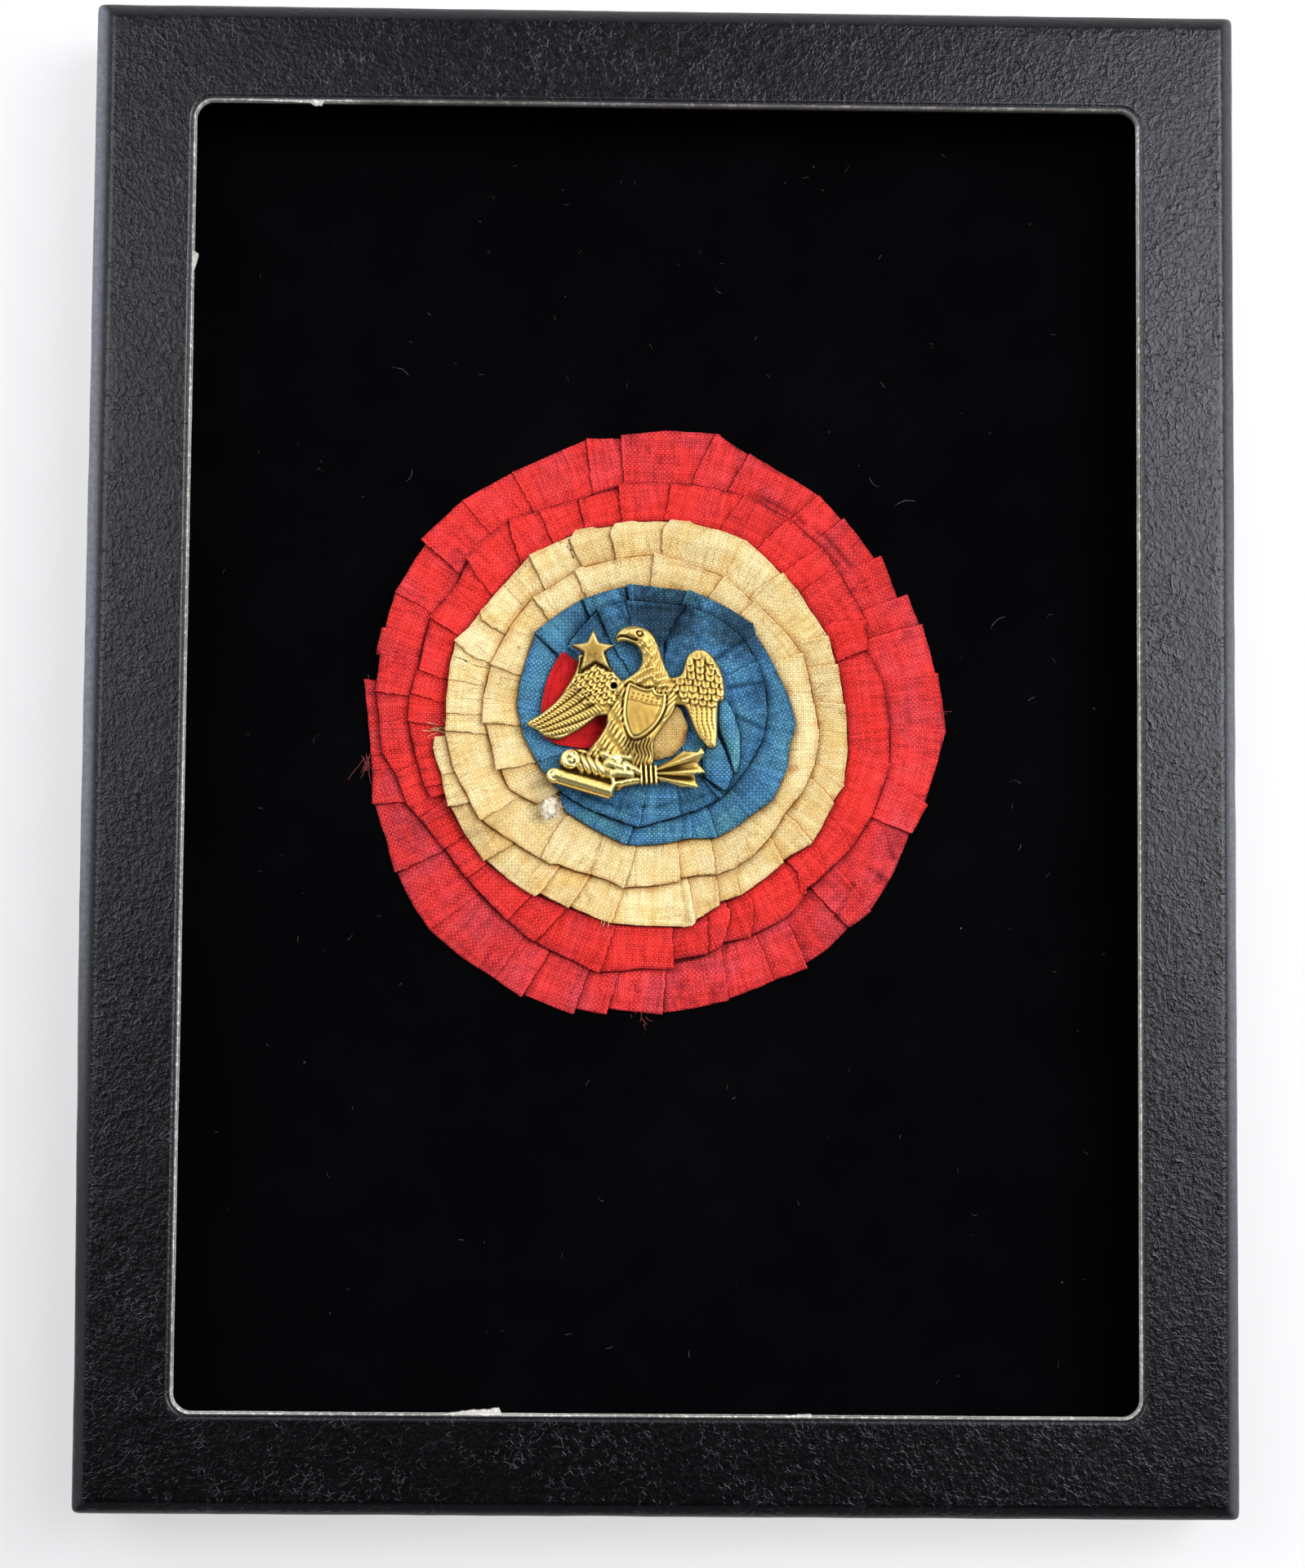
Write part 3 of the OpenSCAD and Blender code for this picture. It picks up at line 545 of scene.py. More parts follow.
        # Darker shading, painted shade included, turns warmer by a power for each channel.
        warm = sheet.add("ShaderNodeCombineColor")
        for channel, power in enumerate(self.warmth):
            sheet.put(warm.inputs[channel], sheet.math("POWER", shade, power))
        sheet.fill(shader, Base_Color=sheet.mix(1.0, colour, warm.outputs[0], "MULTIPLY"))
        sheet.fill(shader, Roughness=sheet.remap(weave.outputs["Height"], 0.0, 1.0, 0.98, 0.8, False))
        sheet.fill(shader, Specular_IOR_Level=0.1)
        wrinkle = sheet.noise(place, 420.0, 3.0, 0.55)
        uneven = sheet.plus(sheet.times(slubs, 0.25), sheet.times(pucker, 0.9))
        uneven = sheet.plus(sheet.math("SUBTRACT", uneven, sheet.times(fold, 0.45)), wrinkle)
        height = sheet.math("MULTIPLY_ADD", weave.outputs["Height"], 0.3, uneven)
        add_bump(sheet, shader, height, 0.00026, 0.9)
        return material


@dataclass(frozen=True)
class BrassFinish:
    """Stamped brass, bright on what stands proud, which is partly rubbed metal and partly painted highlight,
    and brown in what lies deep, which is partly tarnish and partly painted shade.
    """

    name: str = "stamped_brass"
    # The bright colour paints highlight along with rubbed metal; the brown paints shade along with tarnish.
    bright: Colour = srgb(255, 236, 156)
    body: Colour = srgb(212, 176, 92)
    tarnish: Colour = srgb(164, 126, 58)
    brown: Colour = srgb(58, 38, 14)

    def material(self) -> bpy.types.Material:
        """Builds the metal from the relief's own depth and its polish and painted highlight.

        Returns:
            The material.
        """
        material, sheet, shader = new_material(self.name)
        place = sheet.place()
        deep, polish_and_highlight = sheet.attribute("deep"), sheet.attribute("polish_and_highlight")
        cloud = blotches(sheet, place, 330.0, 0.4, 0.7)
        fine = sheet.noise(place, 5200.0, 3.0, 0.6)
        colour = sheet.mix(sheet.times(cloud, 0.55), self.body, self.tarnish)
        colour = sheet.mix(polish_and_highlight, colour, self.bright)
        colour = sheet.mix(deep, colour, self.brown)
        sheet.fill(shader, Base_Color=colour, Metallic=1.0)
        base = sheet.remap(polish_and_highlight, 0.0, 1.0, 0.45, 0.27, False)
        rough = sheet.plus(base, sheet.times(deep, 0.25))
        sheet.fill(shader, Roughness=sheet.plus(rough, sheet.remap(fine, 0.3, 0.7, -0.04, 0.07)))
        add_bump(sheet, shader, fine, 0.00001, 0.5)
        return material


@dataclass(frozen=True)
class LeatheretteFinish:
    """Black covering paper with a fine creased grain."""

    name: str = "black_leatherette"
    colour: Colour = srgb(4, 4, 5)
    # This pale bluish grey paints a sheen, with some wear, on the lid's outer top edge and makes the raised
    # creases a little paler.
    grey_edge: Colour = srgb(132, 135, 144)
    shake: float = 0.0012

    def material(self) -> bpy.types.Material:
        """Builds the covering: short raised creases, fine grain and worn edges.

        Returns:
            The material.
        """
        material, sheet, shader = new_material(self.name)
        place = sheet.place()
        warp = sheet.fill(sheet.add("ShaderNodeTexNoise"), Vector=place, Scale=420.0, Detail=3.0)
        shake = (self.shake, self.shake, self.shake)
        bent = sheet.vector("MULTIPLY_ADD", warp.outputs["Color"], shake, place).outputs[0]
        mask = blotches(sheet, place, 150.0, 0.40, 0.62)
        height: object = 0.0
        for scale, stretch, weight in ((560.0, (1.0, 0.85, 1.0), 0.8), (1150.0, (0.85, 1.0, 1.0), 0.9)):
            cells = sheet.add("ShaderNodeTexVoronoi", feature="DISTANCE_TO_EDGE")
            sheet.fill(cells, Vector=sheet.stretched(bent, stretch), Scale=scale)
            ridge = sheet.remap(cells.outputs["Distance"], 0.0, 0.09, 1.0, 0.0)
            broken = sheet.remap(sheet.noise(place, scale * 0.9, 2.0), 0.46, 0.62)
            height = sheet.plus(height, sheet.times(sheet.times(ridge, broken), weight))
        height = sheet.times(height, sheet.remap(mask, 0.0, 1.0, 0.4, 1.0))
        pebble = sheet.noise(bent, 1500.0, 3.0, 0.6, (1.0, 0.9, 1.0))
        total = sheet.plus(height, sheet.times(sheet.remap(pebble, 0.3, 0.7), 0.8))
        # Painted sheen, with some wear, on the lid's upper outer edge and a little along the window's edge.
        sheen_and_wear = sheet.times(sheet.attribute("edge"), sheet.remap(pebble, 0.35, 0.65, 0.75, 1.0))
        colour = sheet.mix(sheet.times(height, 0.02), self.colour, self.grey_edge)
        sheet.fill(shader, Base_Color=sheet.mix(sheet.times(sheen_and_wear, 0.6), colour, self.grey_edge))
        sheet.fill(shader, Roughness=sheet.remap(total, 0.1, 1.4, 0.22, 0.17, False))
        sheet.fill(shader, Specular_IOR_Level=0.36)
        sheet.fill(shader, Specular_Tint=(0.91, 0.91, 1.0, 1.0))
        add_bump(sheet, shader, total, 0.00007, 0.38)
        return material


@dataclass(frozen=True)
class CardFinish:
    """Cut or papered card."""

    name: str
    colour: Colour
    fleck: Colour
    fleck_share: float = 0.3
    roughness: float = 0.85
    # How strongly, and in what colour, painted shade darkens the card of the window's top lip.
    top_lip_shade: float = 0.0
    darkening: Colour = srgb(52, 46, 42)

    def material(self) -> bpy.types.Material:
        """Builds the card: fibre, flecks and a fine rough surface.

        Returns:
            The material.
        """
        material, sheet, shader = new_material(self.name)
        place = sheet.place()
        flecks = blotches(sheet, place, 1500.0, 0.5, 0.64)
        cloud = blotches(sheet, place, 90.0, 0.35, 0.7)
        amount = sheet.times(flecks, self.fleck_share)
        amount = sheet.plus(amount, sheet.times(cloud, self.fleck_share * 0.5))
        x, y, _ = sheet.split(place)
        # Painted shade on the card of the window's top lip, from about 40 mm left of the middle rightwards.
        back = sheet.times(sheet.remap(y, 0.0885, 0.0902, 0.0, self.top_lip_shade), sheet.remap(x, -0.046, -0.040))
        card = sheet.mix(amount, self.colour, self.fleck)
        sheet.fill(shader, Base_Color=sheet.mix(back, card, self.darkening))
        fibre = sheet.noise(place, 2600.0, 4.0, 0.65, (1.0, 0.25, 1.0))
        sheet.fill(shader, Roughness=sheet.remap(fibre, 0.2, 0.8, self.roughness - 0.1,
                                                          self.roughness + 0.1, False))
        sheet.fill(shader, Specular_IOR_Level=0.3)
        add_bump(sheet, shader, fibre, 0.00005, 0.6)
        return material


@dataclass(frozen=True)
class VelvetFinish:
    """Black velvet pile with specks of dust."""

    name: str = "black_velvet"
    colour: Colour = (0.0012, 0.0012, 0.0017, 1.0)
    dust: Colour = srgb(120, 124, 126)

    def material(self) -> bpy.types.Material:
        """Builds the pile: near-black, with brushed pile and sparse specks.

        Returns:
            The material.
        """
        material, sheet, shader = new_material(self.name)
        place = sheet.place()
        specks = sheet.fill(sheet.add("ShaderNodeTexVoronoi"), Vector=place, Scale=420.0)
        near = sheet.remap(specks.outputs["Distance"], 0.02, 0.06, 1.0, 0.0)
        split = sheet.add("ShaderNodeSeparateColor")
        sheet.put(split.inputs[0], specks.outputs["Color"])
        rare = sheet.remap(split.outputs[0], 0.955, 1.0, 0.0, 1.0, False)
        mask = sheet.times(near, rare)
        brushed = blotches(sheet, place, 60.0, 0.35, 0.75)
        pile = sheet.mix(brushed, self.colour, (0.0019, 0.0018, 0.0024, 1.0))
        sheet.fill(shader, Base_Color=sheet.mix(mask, pile, self.dust))
        fur = sheet.noise(place, 3200.0, 3.0, 0.7)
        sheet.fill(shader, Roughness=sheet.remap(fur, 0.2, 0.8, 0.85, 1.0))
        sheet.fill(shader, Specular_IOR_Level=0.01)
        add_bump(sheet, shader, fur, 0.00012, 0.5)
        return material


@dataclass(frozen=True)
class FibreFinish:
    """Loose threads, lint or batting in one colour with some variation."""

    name: str
    colour: Colour
    dark: Colour

    def material(self) -> bpy.types.Material:
        """Builds the fibre.

        Returns:
            The material.
        """
        material, sheet, shader = new_material(self.name)
        blend = sheet.noise(sheet.place(), 1800.0, 2.0)
        sheet.fill(shader, Base_Color=sheet.mix(sheet.remap(blend, 0.35, 0.65), self.colour, self.dark))
        sheet.fill(shader, Roughness=sheet.remap(blend, 0.2, 0.8, 0.8, 0.95))
        sheet.fill(shader, Sheen_Weight=0.2)
        return material


# Mesh building


@dataclass
class Lattice:
    """A grid of points that becomes a surface: rows of points across, one row for each column along."""

    places: np.ndarray
    marks: dict[str, np.ndarray] = field(default_factory=dict)
    cloth: np.ndarray | None = None
    slots: np.ndarray | None = None

    def grid(self) -> bmesh.types.BMesh:
        """Shapes a bmesh grid to the lattice.

        Returns:
            The grid, in metres, with the lattice's marks on its points.
        """
        along, across = self.places.shape[:2]
        mesh = bmesh.new()
        bmesh.ops.create_grid(mesh, x_segments=along - 1, y_segments=across - 1, size=1.0)
        values = dict(self.marks)
        if self.cloth is not None:
            values.update(u_mark=self.cloth[:, :, 0], v_mark=self.cloth[:, :, 1])
        layers = {name: mesh.verts.layers.float.new(name) for name in values}
        for vert in mesh.verts:
            i = round((vert.co.x + 1.0) / 2.0 * (along - 1))
            j = round((vert.co.y + 1.0) / 2.0 * (across - 1))
            vert.co = Vector(self.places[i, j]) * MM
            for name, layer in layers.items():
                vert[layer] = float(values[name][i, j])
            vert.index = i * across + j
        return mesh

    def surface(self, cap_ends: bool) -> bmesh.types.BMesh:
        """Makes the lattice's grid, welds what meets and closes its ends.

        Args:
            cap_ends: True to close the open ends.

        Returns:
            The mesh, in metres.
        """
        mesh = self.grid()
        if self.slots is not None:
            for face in mesh.faces:
                rows = [vert.index % self.places.shape[1] for vert in face.verts]
                face.material_index = int(self.slots[min(rows)])
        bmesh.ops.remove_doubles(mesh, verts=mesh.verts, dist=WELD)
        if cap_ends:
            bmesh.ops.holes_fill(mesh, edges=[e for e in mesh.edges if e.is_boundary], sides=0)
        bmesh.ops.recalc_face_normals(mesh, faces=mesh.faces)
        if self.cloth is not None:
            uv = mesh.loops.layers.uv.new("cloth")
            u_mark, v_mark = (mesh.verts.layers.float[name] for name in ("u_mark", "v_mark"))
            for face in mesh.faces:
                for loop in face.loops:
                    loop[uv].uv = (loop.vert[u_mark], loop.vert[v_mark])
            for name in ("u_mark", "v_mark"):
                mesh.verts.layers.float.remove(mesh.verts.layers.float[name])
        return mesh


def add_object(name: str, data: bpy.types.ID) -> bpy.types.Object:
    """Puts an object with this data into the scene."""
    thing = bpy.data.objects.new(name, data)
    bpy.context.scene.collection.objects.link(thing)
    return thing


def mesh_data(name: str, mesh: bmesh.types.BMesh) -> bpy.types.Mesh:
    """Turns a bmesh into mesh data and frees it.

    Args:
        name: the data's name.
        mesh: the bmesh.

    Returns:
        The mesh data.
    """
    data = bpy.data.meshes.new(name)
    mesh.to_mesh(data)
    mesh.free()
    return data


def finish_piece(name: str, mesh: bmesh.types.BMesh, materials: Sequence[bpy.types.Material],
                 nodes: Sequence[str] = ()) -> bpy.types.Object:
    """Turns a bmesh into a piece that rides with the part.

    Args:
        name: the piece's name.
        mesh: its mesh, in metres and in place.
        materials: its materials, in the order of the faces' material indices.
        nodes: the solids that it stands for.

    Returns:
        The object.
    """
    for face in mesh.faces:
        face.smooth = True
    data = mesh_data(name, mesh)
    piece = add_object(name, data)
    for material in materials:
        data.materials.append(material)
    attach(piece, "root")
    if nodes:
        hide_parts(*nodes)
    LOG.info("%s: %d faces", name, len(data.polygons))
    return piece


def add_fibre(mesh: bmesh.types.BMesh, points: Sequence[Vector], radius: float, sides: int = 4) -> None:
    """Adds a thin tube through points.

    Args:
        mesh: the mesh that it goes into.
        points: the points it passes, in metres.
        radius: its radius, in metres.
        sides: how many sides it has.
    """
    heading = (points[1] - points[0]).normalized()
    turn = heading.to_track_quat("Z", "Y").to_matrix().to_4x4()
    made = bmesh.ops.create_circle(mesh, cap_ends=True, segments=sides, radius=radius,
                                   matrix=Matrix.Translation(points[0]) @ turn)
    faces = {f for v in made["verts"] for f in v.link_faces}
    end = list(faces)[0]
    for before, after in zip(points, points[1:]):
        grown = bmesh.ops.extrude_face_region(mesh, geom=[end])
        verts = [g for g in grown["geom"] if isinstance(g, bmesh.types.BMVert)]
        bmesh.ops.translate(mesh, verts=verts, vec=after - before)
        end = next(g for g in grown["geom"] if isinstance(g, bmesh.types.BMFace))


# Pleated strips


@dataclass(frozen=True)
class Fold:
    """One station of a strip's rim.

    angle is where its fold meets the rim, in degrees. lean is how far the fold turns by the strip's bend
    line. before and after are the rim's radius on each side, as shares of the strip's own. step is how
    deep the pleat is, with a minus where the cloth after it lies on top, and 0 where there is no fold.
    """

    angle: float
    lean: float
    before: float
    after: float
    step: float = 0.0


def folds(*rows: tuple[float, ...]) -> tuple[Fold, ...]:
    """Returns a table's rows as folds. A row of three has one radius for both sides and no fold."""
    return tuple(Fold(*row[:3], *(row[3:] or row[2:3])) for row in rows)


RED_FOLDS = folds(
    (172.4, 0.2, 1.055), (180, 0, 1.03), (187.2, 0.2, 1.026, 1.026, 0.3), (190.2, 1.2, 1.028, 1.028, 0.4),
    (196.7, 3.6, 1.056, 1.048, 1), (203.5, 1.5, 1.05), (210.4, 2.1, 1.076, 1.07, 1), (217, 1.5, 1.085),
    (222.8, 2.1, 1.095, 1.095, 0.4), (230.5, 1, 1.088), (237.8, 1.2, 1.078, 1.078, 0.6),
    (243.9, 1.9, 1.09, 1.078, 1), (254.1, 0.9, 1.078, 1.058, 1), (260.1, 2.1, 1.052, 1.03, 1),
    (270.9, 1.5, 1.035, 1.028, 1), (277.5, 1.5, 1.02), (284.2, 1.7, 1.015, 1.01, 0.8), (290, 1, 1.002),
    (294, 0.7, 1, 1, 0.8), (301.2, 2.3, 1.015, 0.998, 1), (307, 0.5, 0.998), (313, -0.9, 0.988, 0.99, -1),
    (318.3, 3.5, 1.004, 1, 0.8), (327, 1, 0.985), (336.4, -0.7, 0.966, 0.974, -1),
    (343, 5.3, 0.992, 0.98, 1), (352.5, 2, 0.994, 0.994, 0.2), (358.6, 1, 1.014, 1.014, 0.2),
    (370.3, 1.3, 1, 0.993, 0.5), (380.8, 1.5, 0.993, 0.985, 1), (387.6, 2.2, 0.988, 0.95, 1),
    (397.3, 3.5, 0.984, 0.96, 1), (408.3, 2.5, 0.977, 0.966, 1), (415.3, 4.5, 0.986, 0.986, 0.9),
    (424, 3, 0.988), (431.9, 4, 1.008, 1.002, 1), (439.3, 6.1, 1.046, 1.048, 1), (449, 3, 1.038),
    (458.1, 1.2, 1.03, 1.018, 1), (464.9, 3, 1.042, 1.04, 1), (472, 1.5, 1.026),
    (481, 0.6, 1.03, 1.028, 0.7), (492.2, 0.6, 1.052, 1.052, 0.5), (503.2, 1.6, 1.064, 1.042, 1),
    (514.5, 1.1, 1.04, 1.038, 0.6), (522, 0, 1.024, 1.034, -0.3), (526.6, -1, 1.03, 1.016, -0.8),
    (534.7, 0.9, 1.006, 1.004, 0.8), (541, 0.2, 0.988), (547.4, -1, 0.986, 0.984),
    (552.2, -3, 0.948, 0.948, -0.8), (559.5, -2.5, 0.938, 0.934), (563, -2.3, 0.914, 0.91, -0.9),
    (571.4, -0.4, 0.886, 0.882, 0.7), (579.8, 0.7, 0.88, 0.878, 0.8), (593.2, 1.2, 0.886, 0.886, 0.8),
    (600.9, 3.1, 0.898, 0.896, 1), (610, 1.5, 0.9), (616.8, 1.5, 0.916, 0.912, 0.9), (626, 1, 0.878),
    (633.5, 0.3, 0.876, 0.842, 1), (641.8, 1.6, 0.843, 0.84, 1), (645.6, 4.6, 0.826, 0.814, 1),
    (653, 4.1, 0.826, 0.824, 1), (663.5, 3, 0.825), (669.4, 3.2, 0.806, 0.786, -1),
    (677.5, 3.5, 0.794, 0.794, 0.6), (686, 4.3, 0.808, 0.808, 0.7), (695, 0.5, 0.818, 0.818, 0.3),
    (709.5, 3.4, 0.828, 0.822, 0.5), (720, 2, 0.81), (731, 1, 0.798), (739.6, -0.5, 0.772, 0.776, -1),
    (746.3, 3.8, 0.81, 0.81, 0.9), (754, 1.5, 0.814), (761.2, 1.3, 0.828, 0.828, 0.8),
    (767.3, 3.1, 0.838, 0.838, 0.9), (777.9, 3, 0.85, 0.85, 0.9), (789.8, 3.3, 0.855, 0.853, 0.9),
    (799, 1.5, 0.848), (807.6, 1.6, 0.842, 0.845, 1), (820.3, 1.1, 0.856, 0.838, 1),
    (830.6, 1.7, 0.834, 0.84, 1), (840.3, 1.6, 0.856, 0.858, 0.8), (847.3, 6.2, 0.89, 0.892, 1),
    (860.4, 3.8, 0.9, 0.88, 1), (867.5, 1.5, 0.861), (876.5, 1.6, 0.888, 0.884, 0.9),
    (888.8, 1, 0.866, 0.874, 0.8), (894.5, 1.4, 0.88, 0.884, 0.7), (900.9, 1.7, 0.886, 0.884, 0.7),
    (909, 0.8, 0.868), (916.8, 0.3, 0.86, 0.858, 0.6), (919.6, 0, 0.854))

CREAM_FOLDS = folds(
    (185.2, 0, 1.06), (188, 0.2, 1.073), (195.1, 0.1, 1.056, 1.058, 0.5), (203.1, 1.1, 1.073, 1.064, 1),
    (211, 1, 1.06), (219.4, 1.3, 1.06, 1.05, 1), (227, 1, 1.032), (235.2, 0.8, 1.02, 0.992, 1),
    (244.6, 1.5, 0.986, 0.974, 0.9), (251, 1, 0.977), (256.9, 1.1, 0.987, 0.985, 0.8), (268, 1, 0.97),
    (276.4, 0.8, 0.975, 0.982), (279.2, 1.1, 0.98, 0.963, 1), (288, 1.9, 0.917, 0.9, 1),
    (294.8, 2, 0.908, 0.908, 0.8), (303, 1.5, 0.893), (311.1, 2.2, 0.886, 0.874, 1),
    (321.2, 2.2, 0.917, 0.917, 1), (328, 2.5, 0.91), (334.6, 4.4, 0.905, 0.898, 1),
    (340.6, 3.8, 0.917, 0.915, 0.8), (350, 2, 0.896), (365.1, 1.8, 0.873, 0.869, 0.8),
    (377.8, 2, 0.876, 0.868, 1), (387, 2.8, 0.886, 0.884, 0.7), (397, 2.5, 0.878), (404, 2.5, 0.892),
    (410.4, 3.5, 0.903, 0.894, 1), (419, 2.5, 0.918), (424.8, 1, 0.94, 0.94, 0.3), (433, 2, 0.94),
    (441.3, 2, 0.937, 0.95), (447.2, 2.4, 0.947, 0.937, 1), (457.5, 1.5, 0.941, 0.95),
    (463.4, 2, 0.95, 0.94, 1), (469.1, 1.8, 0.95, 0.962), (474.5, 2.7, 0.977, 0.96, 1), (482, 2, 0.968),
    (489, 3.1, 0.986, 0.983, 1), (499.8, 1.5, 0.967, 0.97, 0.3), (509.6, 2.1, 0.98, 0.978, 1),
    (515, 1.8, 0.993), (519.7, 2.7, 1.03, 1.026, 0.9), (530, 0.3, 1.007, 1.007, 0.3),
    (539.2, 0.4, 1.002, 1, 0.7), (544, 2.5, 1.003, 1.006, 0.9), (554, 1.5, 0.996),
    (564.2, 0, 0.968, 0.972), (570.3, -0.9, 0.968, 0.96, 0.7), (580, -1.5, 0.9),
    (590.3, -3.5, 0.862, 0.86, -0.9), (594.6, -2, 0.85, 0.835), (606.1, 0, 0.802, 0.798, 0.3),
    (612, 0.8, 0.792), (618.3, 1.1, 0.812, 0.806, 0.9), (628, 1, 0.782), (637.5, 0.6, 0.766, 0.748, 0.9),
    (644, 1, 0.754), (649.9, 2.8, 0.77, 0.774, 1), (656.5, 2.5, 0.78), (663.9, 2.4, 0.774, 0.772, 0.6),
    (673, 1.5, 0.755), (683.5, 0.8, 0.733), (693.1, 0.6, 0.746, 0.75, 0.6), (704, 0.8, 0.755),
    (716.5, 1, 0.753, 0.748), (730, 1, 0.724), (745.6, 1.1, 0.741, 0.737, 0.7), (756, 1.2, 0.719),
    (771.8, 1.9, 0.713, 0.708, 1), (779.5, 2.5, 0.72), (786.1, 3, 0.742, 0.738, 1), (799, 2.2, 0.743),
    (812.3, 2, 0.788, 0.776, 1), (825, 1.7, 0.78), (837.3, 1.5, 0.797, 0.813),
    (840.2, 1.7, 0.806, 0.805, 0.9), (848, 2, 0.8), (856.7, 2.7, 0.826, 0.824, 1), (869, 1.5, 0.824),
    (883, 0.6, 0.832, 0.826, 0.8), (894, 1.2, 0.83, 0.83, 0.2), (902.2, 1.8, 0.832, 0.816, 0.9),
    (911, 2, 0.797), (918.1, 2.9, 0.804, 0.78, 0.9), (926, 1.5, 0.778), (935.8, 0, 0.697))

BLUE_FOLDS = folds(
    (216.8, 0, 0.885), (225, 0.5, 0.93), (238, 0.6, 0.903, 0.903, 0.3), (246, 1, 0.903),
    (255.4, 1.3, 0.918, 0.912, 0.9), (265, 1.5, 0.89), (275, 2, 0.873), (285.4, 2.4, 0.863, 0.868, 0.4),
    (296, 2.5, 0.927, 0.925, 0.9), (307, 1, 0.929), (315, 0.9, 0.935, 0.938, 0.5),
    (325, 4.2, 0.976, 0.974, 0.7), (340, 2, 0.96), (349, 1.5, 0.934), (359, 1, 0.958, 0.958, 0.3),
    (371, 1, 0.922), (382, 1, 0.895), (390.6, 0.4, 0.893, 0.893, 0.6), (402, 0.6, 0.905),
    (406.8, 1, 0.948, 0.94, 0.5), (418, 1.5, 0.925), (438.3, 2.7, 0.94, 0.93, 0.9), (450, 2, 0.933),
    (464.3, 1.9, 0.982, 0.968, 1), (474, 2, 0.985), (483.4, 2.8, 1.008, 1.008, 1), (495, 3, 1.032),
    (506, 3.4, 1.068, 1.062, 1), (520, 0.5, 1.022), (535, 0, 1.01), (548, 0, 0.965),
    (560, 0, 0.92, 0.92, 0.3), (570, 0, 0.895), (578, 0, 0.865), (590, 0.3, 0.815),
    (602, 0.5, 0.78, 0.78, 0.3), (614, 0.5, 0.772), (619.2, 0.3, 0.782, 0.78, 0.7), (630, 0.5, 0.72),
    (642, 1, 0.695, 0.695, 0.4), (655, 1, 0.69), (667.5, -1.5, 0.7, 0.7, -0.7), (680, 1, 0.692),
    (693, 2, 0.705, 0.7, 0.6), (710, 1, 0.738), (724, 0.5, 0.758, 0.758, 0.2), (738, 0.5, 0.775),
    (751, 1.5, 0.8, 0.79, 0.8), (765, 0.5, 0.815), (780, 3, 0.818), (796.6, 9, 0.822, 0.815, 1),
    (810, 3, 0.82), (826.3, 2, 0.865, 0.862, 0.6), (840.3, 3.5, 0.893, 0.875, 1), (852, 1.5, 0.85),
    (862.6, 0, 0.83))


@dataclass(frozen=True)
class StripStack:
    """How the turns of pleated strip lie on each other, as in the solids."""

    middle_x: float = -0.25
    middle_y: float = 5.15
    floor_z: float = 7.6
    cloth: float = 0.95
    rise: float = 0.3
    gap: float = 0.1
    sewn: float = 31.0
    pitch: float = 4.6
    climb: float = 0.15
    lap_from: float = 172.0
    lap_to: float = 199.0
    lap_ramp: float = 40.0
    knee_margin: float = 0.3

    def layer(self) -> float:
        """Returns the height that one turn of strip adds."""
        return self.cloth + self.rise + self.gap

    def lap(self, angle: np.ndarray) -> np.ndarray:
        """Returns how far the red strip's third lap lifts what lies over it, from 0 to 1."""
        turned = np.mod(angle, FULL_TURN)
        rising = smooth((turned - self.lap_from) / self.lap_ramp + 1)
        return rising * smooth((self.lap_to - turned) / self.lap_ramp + 1)

    def below(self, turn: np.ndarray) -> np.ndarray:
        """Returns the layers that lie below a turn's rim."""
        whole = np.floor(turn)
        return whole + smooth((turn - whole - 1) / self.climb + 1)

    def sewn_edge(self, turn: np.ndarray) -> np.ndarray:
        """Returns the radius of a turn's sewn edge."""
        return self.sewn - self.pitch * turn

    def underside(self, turn: np.ndarray, radius: np.ndarray) -> np.ndarray:
        """Works out the height of a turn's underside, with its bend eased.

        Args:
            turn: the turn's number.
            radius: the radius.

        Returns:
            The height, in millimetres.
        """
        rising = (radius - self.sewn_edge(turn)) / self.pitch
        level = self.below(turn)
        soft = 0.5 * (rising + level - np.sqrt((rising - level) ** 2 + 0.0064))
        return self.floor_z + self.layer() * np.maximum(soft, 0.0)

    def knee(self, turn: np.ndarray, rim: np.ndarray) -> np.ndarray:
        """Works out the radius of a turn's bend line.

        Args:
            turn: the turn's number.
            rim: its rim's radius.

        Returns:
            The radius, in millimetres.
        """
        bend = self.sewn_edge(turn) + self.pitch * self.below(turn)
        flat = (self.sewn_edge(turn) + rim) / 2
        least = self.sewn_edge(turn) + self.knee_margin
        return np.where(bend < rim - self.knee_margin, np.maximum(bend, least), flat)


def closed(values: np.ndarray) -> np.ndarray:
    """Returns a lattice's values with the first row across repeated as the last."""
    return np.concatenate([values, values[:, :1]], axis=1)


def cotton_marks(shape: tuple[int, ...], **given: np.ndarray | float) -> dict[str, np.ndarray]:
    """Returns the marks that the cotton's shader reads at each point.

    Args:
        shape: the lattice's rows and columns.
        given: the marks that aren't plain: how far the rim, a crook, a crest and the covering cloth are, in
            millimetres, and the line, tone and outer shares.

    Returns:
        All marks by name.
    """
    plain = {"rim": 0.0, "crook": FAR, "crest": FAR, "cover": FAR, "line": 0.0, "tone": 0.0, "outer": 0.0}
    return {name: np.zeros(shape) + given.get(name, value) for name, value in plain.items()}


@dataclass(frozen=True)
class Crease:
    """A pressed line in the cloth, through places given as an angle and a radius."""

    path: tuple[tuple[float, float], ...]
    depth: float
    width: float
    shade: float = 0.8


